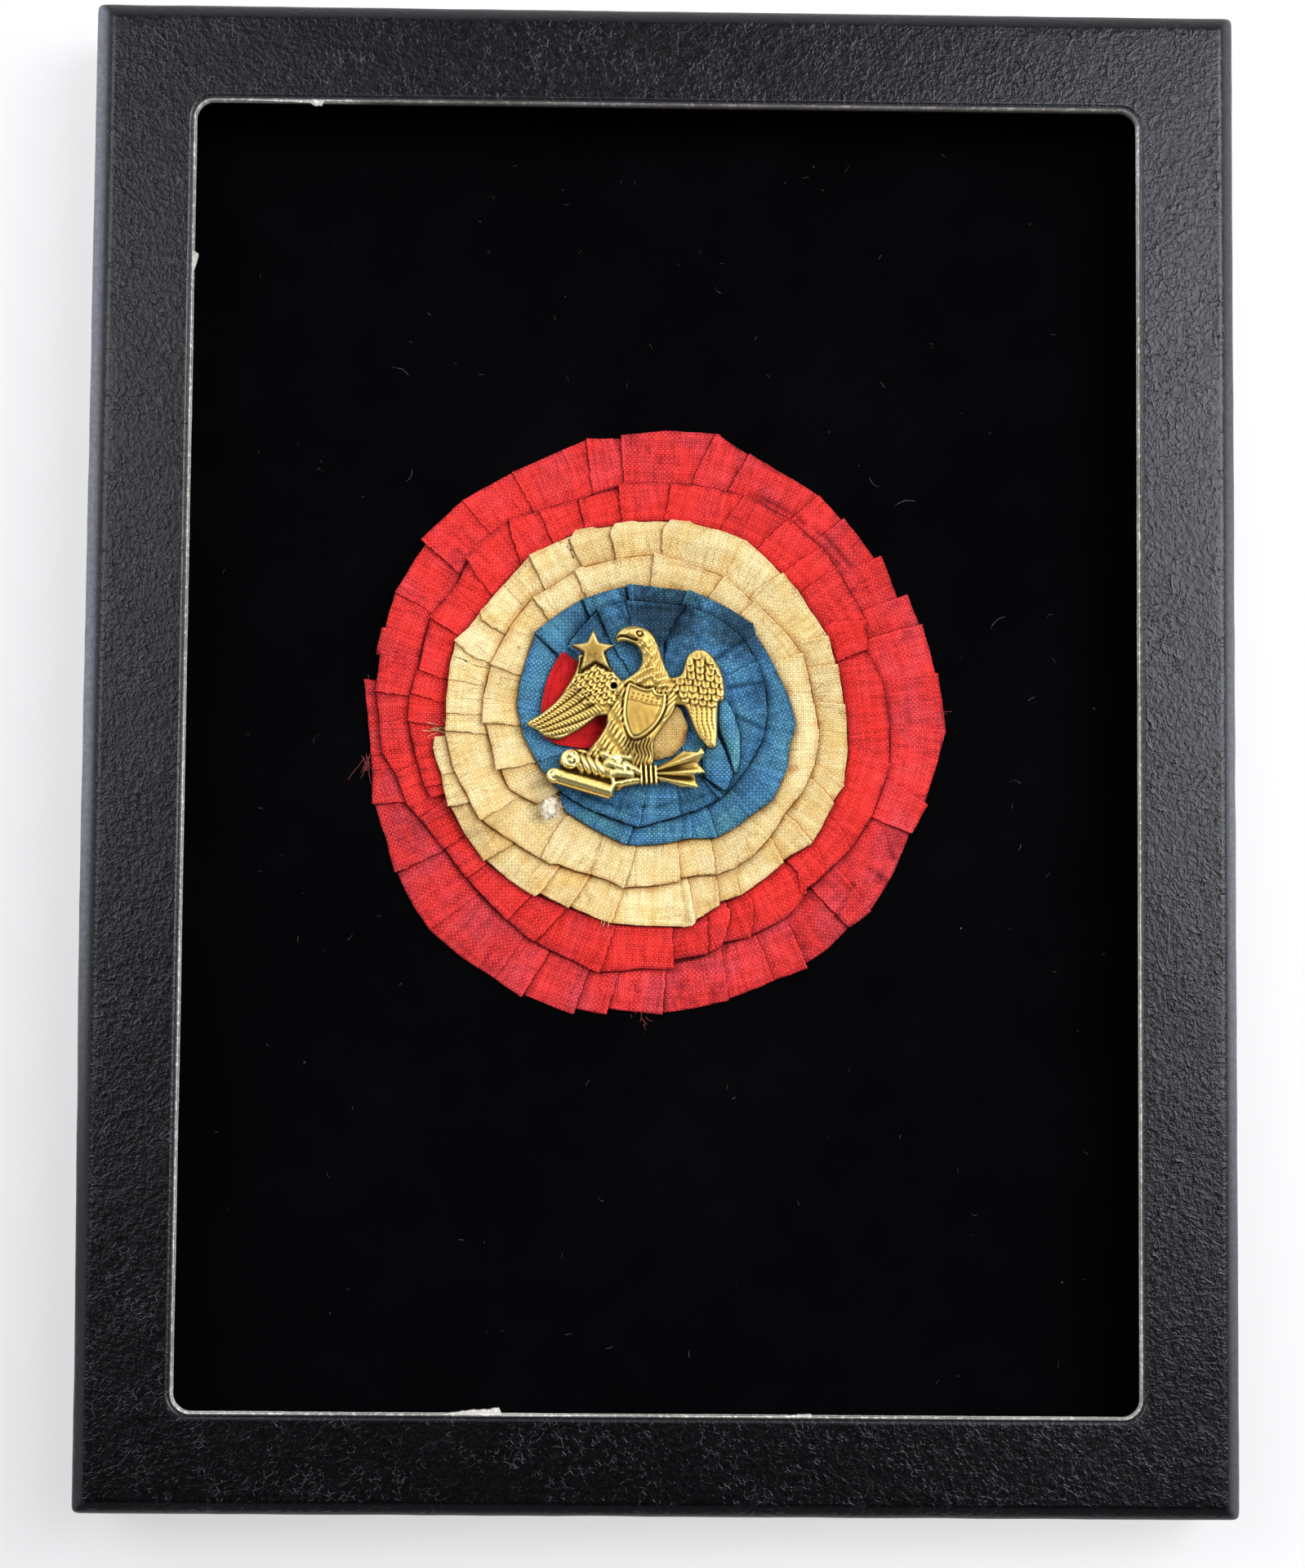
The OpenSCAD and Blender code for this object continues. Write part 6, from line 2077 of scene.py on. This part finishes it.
def rounded_path(half_w: float, half_l: float, radius: float, sides: tuple[int, int],
                 corner: int) -> np.ndarray:
    """Returns points round a rounded rectangle, the same number whatever its size.

    Args:
        half_w: half its width.
        half_l: half its length.
        radius: its corners' radius.
        sides: how many points its short and long sides have.
        corner: how many steps each corner has.

    Returns:
        The points, anticlockwise from the lower end of the right side.
    """
    reach = np.array([half_w - radius, half_l - radius])
    middles = [reach * signs for signs in ((1, 1), (-1, 1), (-1, -1), (1, -1))]
    points: list[np.ndarray] = []
    for quarter, middle in enumerate(middles):
        out = np.array(polar(90.0 * quarter, radius))
        start, end = middles[quarter - 1] + out, middle + out
        count = sides[1 - quarter % 2]
        points += [start + (end - start) * k / count for k in range(count)]
        points += [middle + polar(90.0 * (quarter + k / corner), radius) for k in range(corner)]
    return np.array(points)


@dataclass
class DisplayCase:
    """The flat case: a lid with a window, which lifts off, over a card tray."""

    window: tuple[float, float] = (132.9, 182.9)
    window_corner: float = 2.5
    outer_corner: float = 0.9
    edge_radius: float = 1.5
    proud: tuple[float, float, float, float] = (1.5, 0.9, 0.75, 0.7)
    skirt: float = 1.9
    board: float = 2.0
    torn: tuple[tuple[float, float, float, float], ...] = (
        (-49.6, 91.4, 10.0, 0.28), (-48.9, 91.4, 1.4, 0.75), (-66.4, 69.2, 2.6, 0.75),
        (-22.0, -91.4, 7.5, 0.85), (20.9, -91.4, 3.4, 0.35))
    finish: LeatheretteFinish = LeatheretteFinish()
    # The cut card's top lip is painted with shade.
    cut_card: CardFinish = CardFinish("cut_card", srgb(168, 164, 158), srgb(238, 236, 232), 0.8, top_lip_shade=0.75)
    worn_edge: CardFinish = CardFinish("worn_edge", srgb(74, 72, 74), srgb(150, 146, 142), 0.7)
    inner_paper: CardFinish = CardFinish("inner_paper", srgb(17, 17, 18), srgb(34, 33, 34), 0.4)
    tray_paper: CardFinish = CardFinish("tray_paper", srgb(22, 22, 23), srgb(66, 63, 60), 0.35)

    def _profile(self, top: float, lift: float) -> list[tuple[float, float, float, int]]:
        """Returns the lid's section from its outer foot, over the top and back inside.

        Args:
            top: the height of its top.
            lift: the height of its foot.

        Returns:
            For each point: how far in it is (1 at the window), its own set-in, its height and its material.
        """
        r, inside, bends = self.edge_radius, top - self.board, 7
        outer, cut, paper, grey_edge = range(4)
        rows = [(0.0, 0.0, z, outer) for z in (lift, lift + 0.25, 3.0, 6.5, 10.0, 13.5, top - r - 0.6)]
        for k in range(bends + 1):
            set_in, rise = polar(90.0 * k / bends, r)
            rows.append((0.0, r - set_in, top - r + rise, outer))
        rows += [(share, 0.0, top, outer) for share in (0.22, 0.34, 0.46, 0.58, 0.70, 0.82, 0.91)]
        rows += [(1.0, set_in, z, slot) for set_in, z, slot in (
            (-0.95, top, outer), (-0.78, top - 0.04, outer), (-0.64, top - 0.22, outer),
            (-0.50, top - 0.06, outer), (-0.34, top - 0.04, grey_edge), (-0.20, top - 0.14, cut),
            (-0.10, top - 0.17, grey_edge), (0.0, top - 0.24, cut), (0.02, top - 0.7, cut),
            (0.02, top - 1.2, paper),
            (0.0, inside + 0.1, paper), (-0.1, inside, paper))]
        rows += [(share, 0.0, inside, paper) for share in (0.8, 0.55, 0.3)]
        rows += [(0.0, self.skirt, z, paper) for z in (inside, 11.0, 6.0, lift)]
        return rows

    def _bulge(self, x: float, y: float, z: float, high: np.ndarray, bow: float) -> tuple[float, float]:
        """Returns how far the covering of the lid's sides stands out.

        Args:
            x: the place along X.
            y: the place along Y.
            z: its height.
            high: the lid's upper corner.
            bow: how far the side is drawn in there.

        Returns:
            The shifts along X and Y.
        """
        drop = smooth((high[2] - z) / 1.8) * smooth(z / 6.0)
        left, right, back, front = self.proud
        left *= 0.5 + 0.5 * smooth((y + 100.0) / 90.0)
        shifts = []
        for place, half, more, less in ((x, high[0], right, left), (y, high[1], back, front)):
            drawn_in = -bow * np.sign(place) * (abs(place) > half - 1)
            ends = more * smooth((place - half + 1.2) / 0.8) - less * smooth((-place - half + 1.2) / 0.8)
            shifts.append(drawn_in + drop * ends)
        return shifts[0], shifts[1]

    def _torn_lip(self, x: float, y: float, is_top: bool, uneven: float, fine: float) -> tuple[float, float]:
        """Returns how far the window's cut lip is drawn or torn back.

        Args:
            x: the place along X.
            y: the place along Y.
            is_top: True in the lip's upper part, which can be torn.
            uneven: coarse unevenness, from -1 to 1.
            fine: fine unevenness, from -1 to 1.

        Returns:
            The shifts along X and Y.
        """
        away = -0.05 * abs(fine) - 0.03 * uneven
        for tear_x, tear_y, tail, size in self.torn if is_top else ():
            off, back = tear_y - y, tear_x - x
            if abs(tear_x) > 60:
                off, back = back, off
            if abs(off) < 1.5 and -0.3 < back < tail:
                away -= size * (1 - max(back, 0.0) / tail) ** 0.8 * (1 + 0.35 * fine)
        dx = away * np.sign(x) * (abs(x) > self.window[0] / 2 - 1.2)
        dy = away * np.sign(y) * (abs(y) > self.window[1] / 2 - 1.2)
        return dx, dy

    @staticmethod
    def _edge_sheen(x: float, y: float, half_w: float) -> float:
        """Returns how much painted sheen, with some wear, the lid's upper edge gets, most along its left
        side.
        """
        at_left = smooth((-x - half_w + 0.7) / 0.7) * smooth((y + 75.0) / 80.0)
        at_right = smooth((x - half_w + 1.0) / 0.8) * (0.35 + 0.7 * bell(y + 12.0, 55.0))
        return 1.4 * at_left + at_right

    def build_lid(self) -> bpy.types.Object:
        """Builds and dresses the lid.

        Returns:
            The lid's object.
        """
        low, high = (np.array(v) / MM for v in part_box("case_lid"))
        half_w, half_l = high[0], high[1]
        rows = self._profile(high[2], low[2])
        sides, corner = (330, 420), 12
        count = 2 * sum(sides) + 4 * corner
        places = np.zeros((count + 1, len(rows) + 1, 3))
        edge = np.zeros(places.shape[:2])
        for j, (share, set_in, z, _) in enumerate(rows):
            in_x = share * (half_w - self.window[0] / 2) + set_in
            in_y = share * (half_l - self.window[1] / 2) + set_in
            radius = max(0.25, self.outer_corner + (self.window_corner - self.outer_corner) * share
                         - (set_in if share == 0 else 0.0) * 0.4 - (set_in if share == 1 else 0.0))
            path = rounded_path(half_w - in_x, half_l - in_y, radius, sides, corner)
            for i, (x, y) in enumerate(path):
                uneven = noise.noise(Vector((x / 9.0, y / 9.0, 0.3)))
                fine = noise.noise(Vector((x / 0.8, y / 0.8, 1.0)))
                dx = dy = 0.0
                if share == 0.0:
                    bow = abs(0.10 * uneven) if set_in == 0.0 else 0.0
                    dx, dy = self._bulge(x, y, z, high, bow)
                if share >= 1.0 and -0.15 < set_in < 0.5:
                    dx, dy = self._torn_lip(x, y, z > high[2] - 0.3, uneven, fine)
                dz = -0.03 - 0.03 * uneven if z >= high[2] - 0.01 else 0.0
                places[i, j] = (x + dx, y + dy, z + dz)
                # The edge mark paints sheen, with some wear, on the outer top edge and a little on the
                # window's edge.
                if share == 0.0 and z > high[2] - 3.4:
                    edge[i, j] = self._edge_sheen(x, y, half_w)
                if share == 1.0 and z > high[2] - 0.2:
                    edge[i, j] = 0.08
        places[-1], edge[-1] = places[0], edge[0]
        places[:, -1], edge[:, -1] = places[:, 0], edge[:, 0]
        slots = np.array([*[r[3] for r in rows], 2])
        mesh = Lattice(places, {"edge": edge}, None, slots).surface(cap_ends=False)
        return finish_piece("lid_cover", mesh, [self.finish.material(), self.cut_card.material(),
                                                self.inner_paper.material(), self.worn_edge.material()],
                            ["case_lid"])

    def dress_tray(self, tray: bpy.types.Object) -> None:
        """Dresses the tray's solid in black paper over card."""
        tray.data.materials.clear()
        tray.data.materials.append(self.tray_paper.material())


@dataclass
class VelvetPad:
    """Soft batting under black velvet, which the cockade lies on."""

    cells: tuple[int, int] = (150, 200)
    roll: float = 1.2
    finish: VelvetFinish = VelvetFinish()

    def build(self) -> bpy.types.Object:
        """Builds and dresses the pad.

        Returns:
            The pad's object.
        """
        low, high = (np.array(v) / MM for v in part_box("velvet_pad"))
        middle, half = (low + high) / 2, (high - low) / 2
        bends = 5

        def line(count: int, size: float) -> list[tuple[float, float]]:
            """Lays out places across the pad.

            Args:
                count: how many steps its flat part has.
                size: half its width.

            Returns:
                For each place, where it is and how far down it lies.
            """
            flat = size - self.roll
            out = [(-size, high[2] - low[2])]
            out += [(-flat - self.roll * math.cos(math.radians(90 * k / bends)),
                     self.roll * (1 - math.sin(math.radians(90 * k / bends)))) for k in range(bends)]
            out += [(-flat + 2 * flat * k / count, 0.0) for k in range(count + 1)]
            return out + [(-a, d) for a, d in reversed(out[:bends + 1])]

        xs, ys = line(self.cells[0], half[0]), line(self.cells[1], half[1])
        places = np.zeros((len(xs), len(ys), 3))
        for i, (x, down_x) in enumerate(xs):
            for j, (y, down_y) in enumerate(ys):
                soft = 0.5 + 0.5 * noise.noise(Vector((x / 17.0, y / 17.0, 5.0)))
                sink = min(max(down_x, down_y), high[2] - low[2])
                dent = 0.10 * soft if sink < 0.01 else 0.0
                places[i, j] = (middle[0] + x, middle[1] + y, high[2] - sink - dent)
        mesh = Lattice(places).surface(cap_ends=True)
        piece = finish_piece("pad_velvet_cover", mesh, [self.finish.material()], ["velvet_pad"])
        return piece


@dataclass
class LooseFibres:
    """Lint on the velvet, broken threads at the strips' ends, and a tuft of batting."""

    seed: int = 11
    lint_count: int = 90
    steps: int = 9
    lint_radius: float = 0.022
    curl_radius: float = 0.035
    curls: tuple[tuple[float, float, float], ...] = (
        (36.1, 37.3, 3.4), (49.0, 20.7, 3.0), (-36.7, 54.7, 3.2), (-49.6, 40.9, 1.2), (51.3, -3.3, 2.2),
        (51.3, -12.0, 1.8), (-49.4, 1.6, 1.9), (29.6, 40.6, 2.6), (8.1, 67.3, 1.6), (-36.0, 41.0, 2.8))

    RED = FibreFinish("red_thread", srgb(168, 44, 50), srgb(96, 24, 32))
    CREAM = FibreFinish("cream_thread", srgb(240, 218, 166), srgb(196, 160, 104))
    BATTING = FibreFinish("batting", srgb(238, 231, 216), srgb(212, 196, 168))
    TUFTS = (
        ("threads_red", "cloth_red", RED, 0.035, (
            (-41.9, -0.4, 8.3, 9, 0.45, -102.0, 4.6, 0.25), (-42.0, 9.8, 8.5, 3, 0.3, 100.0, 1.2, 1.2),
            (-1.9, -36.8, 8.3, 8, 0.8, -60.0, 1.4, 2.4), (39.9, 6.2, 8.3, 2, 0.3, 10.0, 1.6, 0.8))),
        ("threads_cream", "cloth_cream", CREAM, 0.05, (
            (-30.6, 3.1, 11.3, 9, 0.5, 172.0, 2.8, 0.5), (-7.6, -23.3, 11.2, 3, 0.4, -80.0, 0.9, 1.0))),
        ("batting_tuft", "cloth_cream", BATTING, 0.04, (
            (-15.6, -7.6, 13.2, 150, 0.55, 40.0, 1.5, 4.4), (-15.2, -8.4, 13.2, 40, 0.35, 250.0, 1.4, 3.6))))

    def _curl(self, rng: np.random.Generator, x: float, y: float, z: float, size: float, bend: float,
              heading: float | None = None) -> list[Vector]:
        """Returns the points of one curled fibre, in metres.

        Args:
            rng: the seeded random source.
            x: its start.
            y: its start.
            z: its height.
            size: its length in millimetres.
            bend: how much it curls, in radians.
            heading: the way it sets off, or None for any.

        Returns:
            The points.
        """
        heading = rng.uniform(0, 2 * math.pi) if heading is None else heading
        turn = bend * rng.choice((-1.0, 1.0)) / self.steps
        points = []
        for _ in range(self.steps):
            points.append(Vector((x, y, z)) * MM)
            x += size / self.steps * math.cos(heading)
            y += size / self.steps * math.sin(heading)
            z += 0.02 * rng.uniform(-1, 1)
            heading += turn + 0.25 * rng.uniform(-1, 1)
        return points

    @staticmethod
    def _add_clump(mesh: bmesh.types.BMesh, middle: Vector, radius: float) -> None:
        """Adds an uneven clump of batting.

        Args:
            mesh: the mesh that it goes into.
            middle: its middle, in millimetres.
            radius: its radius, in millimetres.
        """
        made = bmesh.ops.create_icosphere(mesh, subdivisions=4, radius=1.0)
        for vert in made["verts"]:
            way = vert.co.normalized()
            swell = 1.0 + sum(part * noise.noise(way * scale) for part, scale in (
                (0.55, 1.6), (0.3, 4.5), (0.12, 11.0)))
            vert.co = (middle + Vector((way.x, way.y * 1.25, way.z * 0.55)) * radius * swell) * MM

    def build_lint(self) -> bpy.types.Object:
        """Builds the lint that lies on the velvet.

        Returns:
            The lint's object.
        """
        rng = np.random.default_rng(self.seed)
        mesh = bmesh.new()
        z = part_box("velvet_pad")[1].z / MM + 0.05
        for x, y, size in self.curls:
            add_fibre(mesh, self._curl(rng, x, y, z, size, rng.uniform(1.0, 2.6)), self.curl_radius * MM)
        placed = 0
        while placed < self.lint_count:
            x, y = rng.uniform(-64, 64), rng.uniform(-89, 89)
            if math.hypot(x + 0.25, y - 5.15) < 46.0:
                continue
            size, bend = rng.uniform(0.3, 1.3), rng.uniform(0.2, 2.0)
            add_fibre(mesh, self._curl(rng, x, y, z, size, bend), self.lint_radius * MM)
            placed += 1
        finish = FibreFinish("lint", srgb(86, 90, 92), srgb(40, 42, 44))
        return finish_piece("velvet_lint", mesh, [finish.material()])

    def build_threads(self) -> None:
        """Builds the broken threads at the strips' torn ends and the tuft of batting."""
        rng = np.random.default_rng(self.seed + 1)
        for name, slot, finish, radius, tufts in self.TUFTS:
            mesh = bmesh.new()
            if name == "batting_tuft":
                self._add_clump(mesh, Vector((-15.6, -7.8, 13.1)), 1.0)
            for x, y, z, count, spread, heading, size, curl in tufts:
                for _ in range(count):
                    aside, along, above = rng.normal(0, spread), rng.normal(0, spread), rng.normal(0, 0.12)
                    start = (x + aside, y + along, z + abs(above))
                    turn = math.radians(heading + rng.normal(0, 160 if count > 30 else 16))
                    long, bend = size * rng.uniform(0.4, 1.1), curl * rng.uniform(0.3, 1.0)
                    add_fibre(mesh, self._curl(rng, *start, long, bend, turn), radius * MM)
            finish_piece(name, mesh, [finish.material()])


# Studio


@dataclass(frozen=True)
class LightPanel:
    """A soft light that faces the case, with its place and size in metres."""

    name: str
    place: tuple[float, float, float]
    size: tuple[float, float]
    radiance: float


@dataclass
class Studio:
    """The pale floor that glows with painted light, the soft lights and the camera."""

    lens: float = 78.75
    turns: tuple[float, float, float] = (-4.557, 0.883, -0.541)
    shift: tuple[float, float, float] = (1.4112, 4.6873, -477.254)
    top: float = 19.0
    tent: float = 1.1
    overhead: float = 0.01
    front: float = 0.25
    lean: tuple[float, float] = (0.0, 0.10)
    panels: tuple[LightPanel, ...] = (
        LightPanel("right", (0.61, 0.26, 1.1), (0.6, 0.8), 8.4),
        LightPanel("left", (-0.60, 0.29, 1.1), (0.54, 0.8), 4.3),
        LightPanel("top", (0.0, 0.95, 1.1), (0.9, 0.5), 0.7))

    def build(self) -> None:
        """Builds the camera, the floor, the world and the lights."""
        self._camera()
        self._floor()
        self._lights()

    def _camera(self) -> None:
        """Places the camera above the case as in the picture."""
        spin_x, spin_y, spin_z = (Matrix.Rotation(math.radians(a), 3, axis)
                                  for a, axis in zip(self.turns, "XYZ"))
        to_camera = (spin_z @ spin_y @ spin_x).to_4x4()
        to_camera.translation = Vector(self.shift) * MM
        data = bpy.data.cameras.new("camera")
        data.lens = self.lens
        data.sensor_width = 36.0
        data.clip_start, data.clip_end = 0.01, 20.0
        camera = add_object("camera", data)
        camera.matrix_world = Matrix.Translation((0, 0, self.top * MM)) @ to_camera.inverted()
        bpy.context.scene.camera = camera

    def _floor(self) -> None:
        """Lays the pale floor, which glows with painted light."""
        mesh = bmesh.new()
        bmesh.ops.create_grid(mesh, x_segments=8, y_segments=8, size=3.0)
        floor = add_object("floor", mesh_data("floor", mesh))
        material, sheet, shader = new_material("pale_floor")
        place = sheet.place()
        soft = sheet.noise(place, 3.0)
        sheet.fill(shader, Base_Color=sheet.mix(soft, (0.26, 0.258, 0.265, 1), (0.28, 0.278, 0.285, 1)))
        # The floor glows with painted light, brighter towards the back and the right, which also fills in the
        # case's shadow.
        x, y, _ = sheet.split(place)
        painted_light_level = sheet.math("MULTIPLY_ADD", y, 0.35, sheet.math("MULTIPLY_ADD", x, 0.45, 0.60))
        painted_light = sheet.mix(sheet.remap(painted_light_level, 0.0, 1.0), (0.0, 0.0, 0.0, 1), (0.99, 0.985, 1.0, 1))
        sheet.fill(shader, Roughness=0.9, Emission_Color=painted_light, Emission_Strength=1.0)
        floor.data.materials.append(material)

    def _lights(self) -> None:
        """Sets the light tent, bright at its sides and dark overhead, and the soft panels in it."""
        world = bpy.data.worlds.new("studio")
        bpy.context.scene.world = world
        world.use_nodes = True
        sheet = NodeSheet(world.node_tree)
        back = next(n for n in world.node_tree.nodes if n.type == "BACKGROUND")
        x, y, z = sheet.split(sheet.add("ShaderNodeTexCoord").outputs["Generated"])
        tent = sheet.remap(z, 0.45, 0.92, 1.0, self.overhead)
        tent = sheet.times(tent, sheet.remap(y, -0.95, -0.25, self.front, 1.0))
        lean = sheet.math("MULTIPLY_ADD", x, self.lean[0], sheet.math("MULTIPLY_ADD", y, self.lean[1], 1.0))
        strength = sheet.times(sheet.times(tent, lean), self.tent)
        sheet.fill(back, Color=(0.96, 0.97, 1.0, 1.0), Strength=strength)
        for panel in self.panels:
            data = bpy.data.lights.new(panel.name, "AREA")
            data.shape = "RECTANGLE"
            data.size, data.size_y = panel.size
            data.energy = panel.radiance * math.pi * panel.size[0] * panel.size[1]
            light = add_object(panel.name, data)
            light.location = panel.place
            light.rotation_mode = "QUATERNION"
            light.rotation_quaternion = Vector(panel.place).to_track_quat("Z", "Y")
        bpy.context.scene.view_settings.view_transform = "Standard"


# The whole


class Cloth(Enum):
    """The dyed cottons."""

    RED = CottonFinish(
        "red_cotton", srgb(231, 52, 47), srgb(210, 66, 74), srgb(118, 26, 36), srgb(150, 18, 26),
        halo_width=0.9, halo_share=0.55, edge_soil=0.7, crest_soil=0.2, crook_shade=0.7, outer_fade=0.6,
        outer_soil=0.5, blotch=0.32, contrast=0.42, warmth=(1.0, 1.1, 1.05),
        stains=(Stain(31.2, -16.7, 1.4, 0.6), Stain(-35.0, -10.5, 1.6, 0.35), Stain(-9.0, 43.0, 2.4, 0.3)))
    CREAM = CottonFinish(
        "cream_cotton", srgb(235, 213, 159), srgb(226, 188, 114), srgb(182, 118, 44), srgb(196, 144, 74),
        halo_width=1.3, halo_share=0.7, edge_soil=0.5, crest_soil=0.35, crook_shade=0.5, outer_fade=0.2,
        outer_soil=0.3, blotch=0.6, contrast=0.21, warmth=(0.8, 1.2, 1.7),
        stains=(Stain(18.6, -1.6, 1.2, 0.6), Stain(-20.0, 10.0, 0.5, 0.7), Stain(-14.6, 30.3, 0.6, 0.6),
                Stain(-20.4, 15.0, 0.45, 0.6)))
    BLUE = CottonFinish(
        "blue_cotton", srgb(69, 121, 164), srgb(78, 132, 150), srgb(28, 44, 58), srgb(18, 36, 58),
        halo_width=1.1, halo_share=0.75, edge_soil=0.6, crest_soil=0.1, crook_shade=0.85, outer_fade=0.3,
        outer_soil=0.1, blotch=0.55, contrast=0.5, warmth=(1.2, 1.05, 1.0),
        # These darken the blue's upper part above the eagle's head, star and right wing, a place at its right
        # and a place by the bolts.
        stains=(Stain(0.0, 20.0, 9.5, 0.9), Stain(11.0, 18.5, 7.5, 0.8), Stain(-10.0, 18.0, 5.5, 0.6),
                Stain(14.0, 9.0, 3.0, 0.45), Stain(5.5, -3.0, 2.0, 0.5)))
    PATCH = CottonFinish(
        "patch_cotton", srgb(208, 34, 38), srgb(196, 40, 44), srgb(100, 20, 24), srgb(100, 20, 24),
        blotch=0.3, edge_soil=0.3)
    BUTTON = CottonFinish(
        "button_cotton", srgb(202, 170, 107), srgb(184, 138, 74), srgb(124, 76, 32), srgb(124, 76, 32),
        edge_soil=0.9, blotch=0.9, contrast=0.18, warmth=(1.0, 1.2, 1.6))


def main() -> None:
    """Builds every piece in turn."""
    logging.basicConfig(level=logging.INFO, format="%(message)s")
    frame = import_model()
    case = DisplayCase()
    case.build_lid()
    case.dress_tray(frame["nodes"]["case_tray"])
    VelvetPad().build()
    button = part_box("centre_button")[0].z / MM
    blue = PleatedStrip(
        "strip_blue", "frill_blue", "cloth_blue", BLUE_FOLDS, 20.1, 4.29, Cloth.BLUE.value, lapped=True,
        puff_z=button - 1.35, seed=3.0, column_pitch=0.32, creases=BLUE_CREASES, flaps=BLUE_FLAPS)
    cream = PleatedStrip(
        "strip_cream", "frill_cream", "cloth_cream", CREAM_FOLDS, 30.2, 2.1, Cloth.CREAM.value, lapped=True,
        seed=2.0, over=blue, creases=CREAM_CREASES)
    red = PleatedStrip(
        "strip_red", "frill_red", "cloth_red", RED_FOLDS, 40.3, 0.0, Cloth.RED.value, seed=1.0, over=cream,
        creases=RED_CREASES)
    for strip in (red, cream, blue):
        strip.build()
    RedPatch(finish=Cloth.PATCH.value).build()
    CoveredButton(finish=Cloth.BUTTON.value).build()
    EagleDevice().build()
    fibres = LooseFibres()
    fibres.build_lint()
    fibres.build_threads()
    Studio().build()


if __name__ == "__main__":
    main()
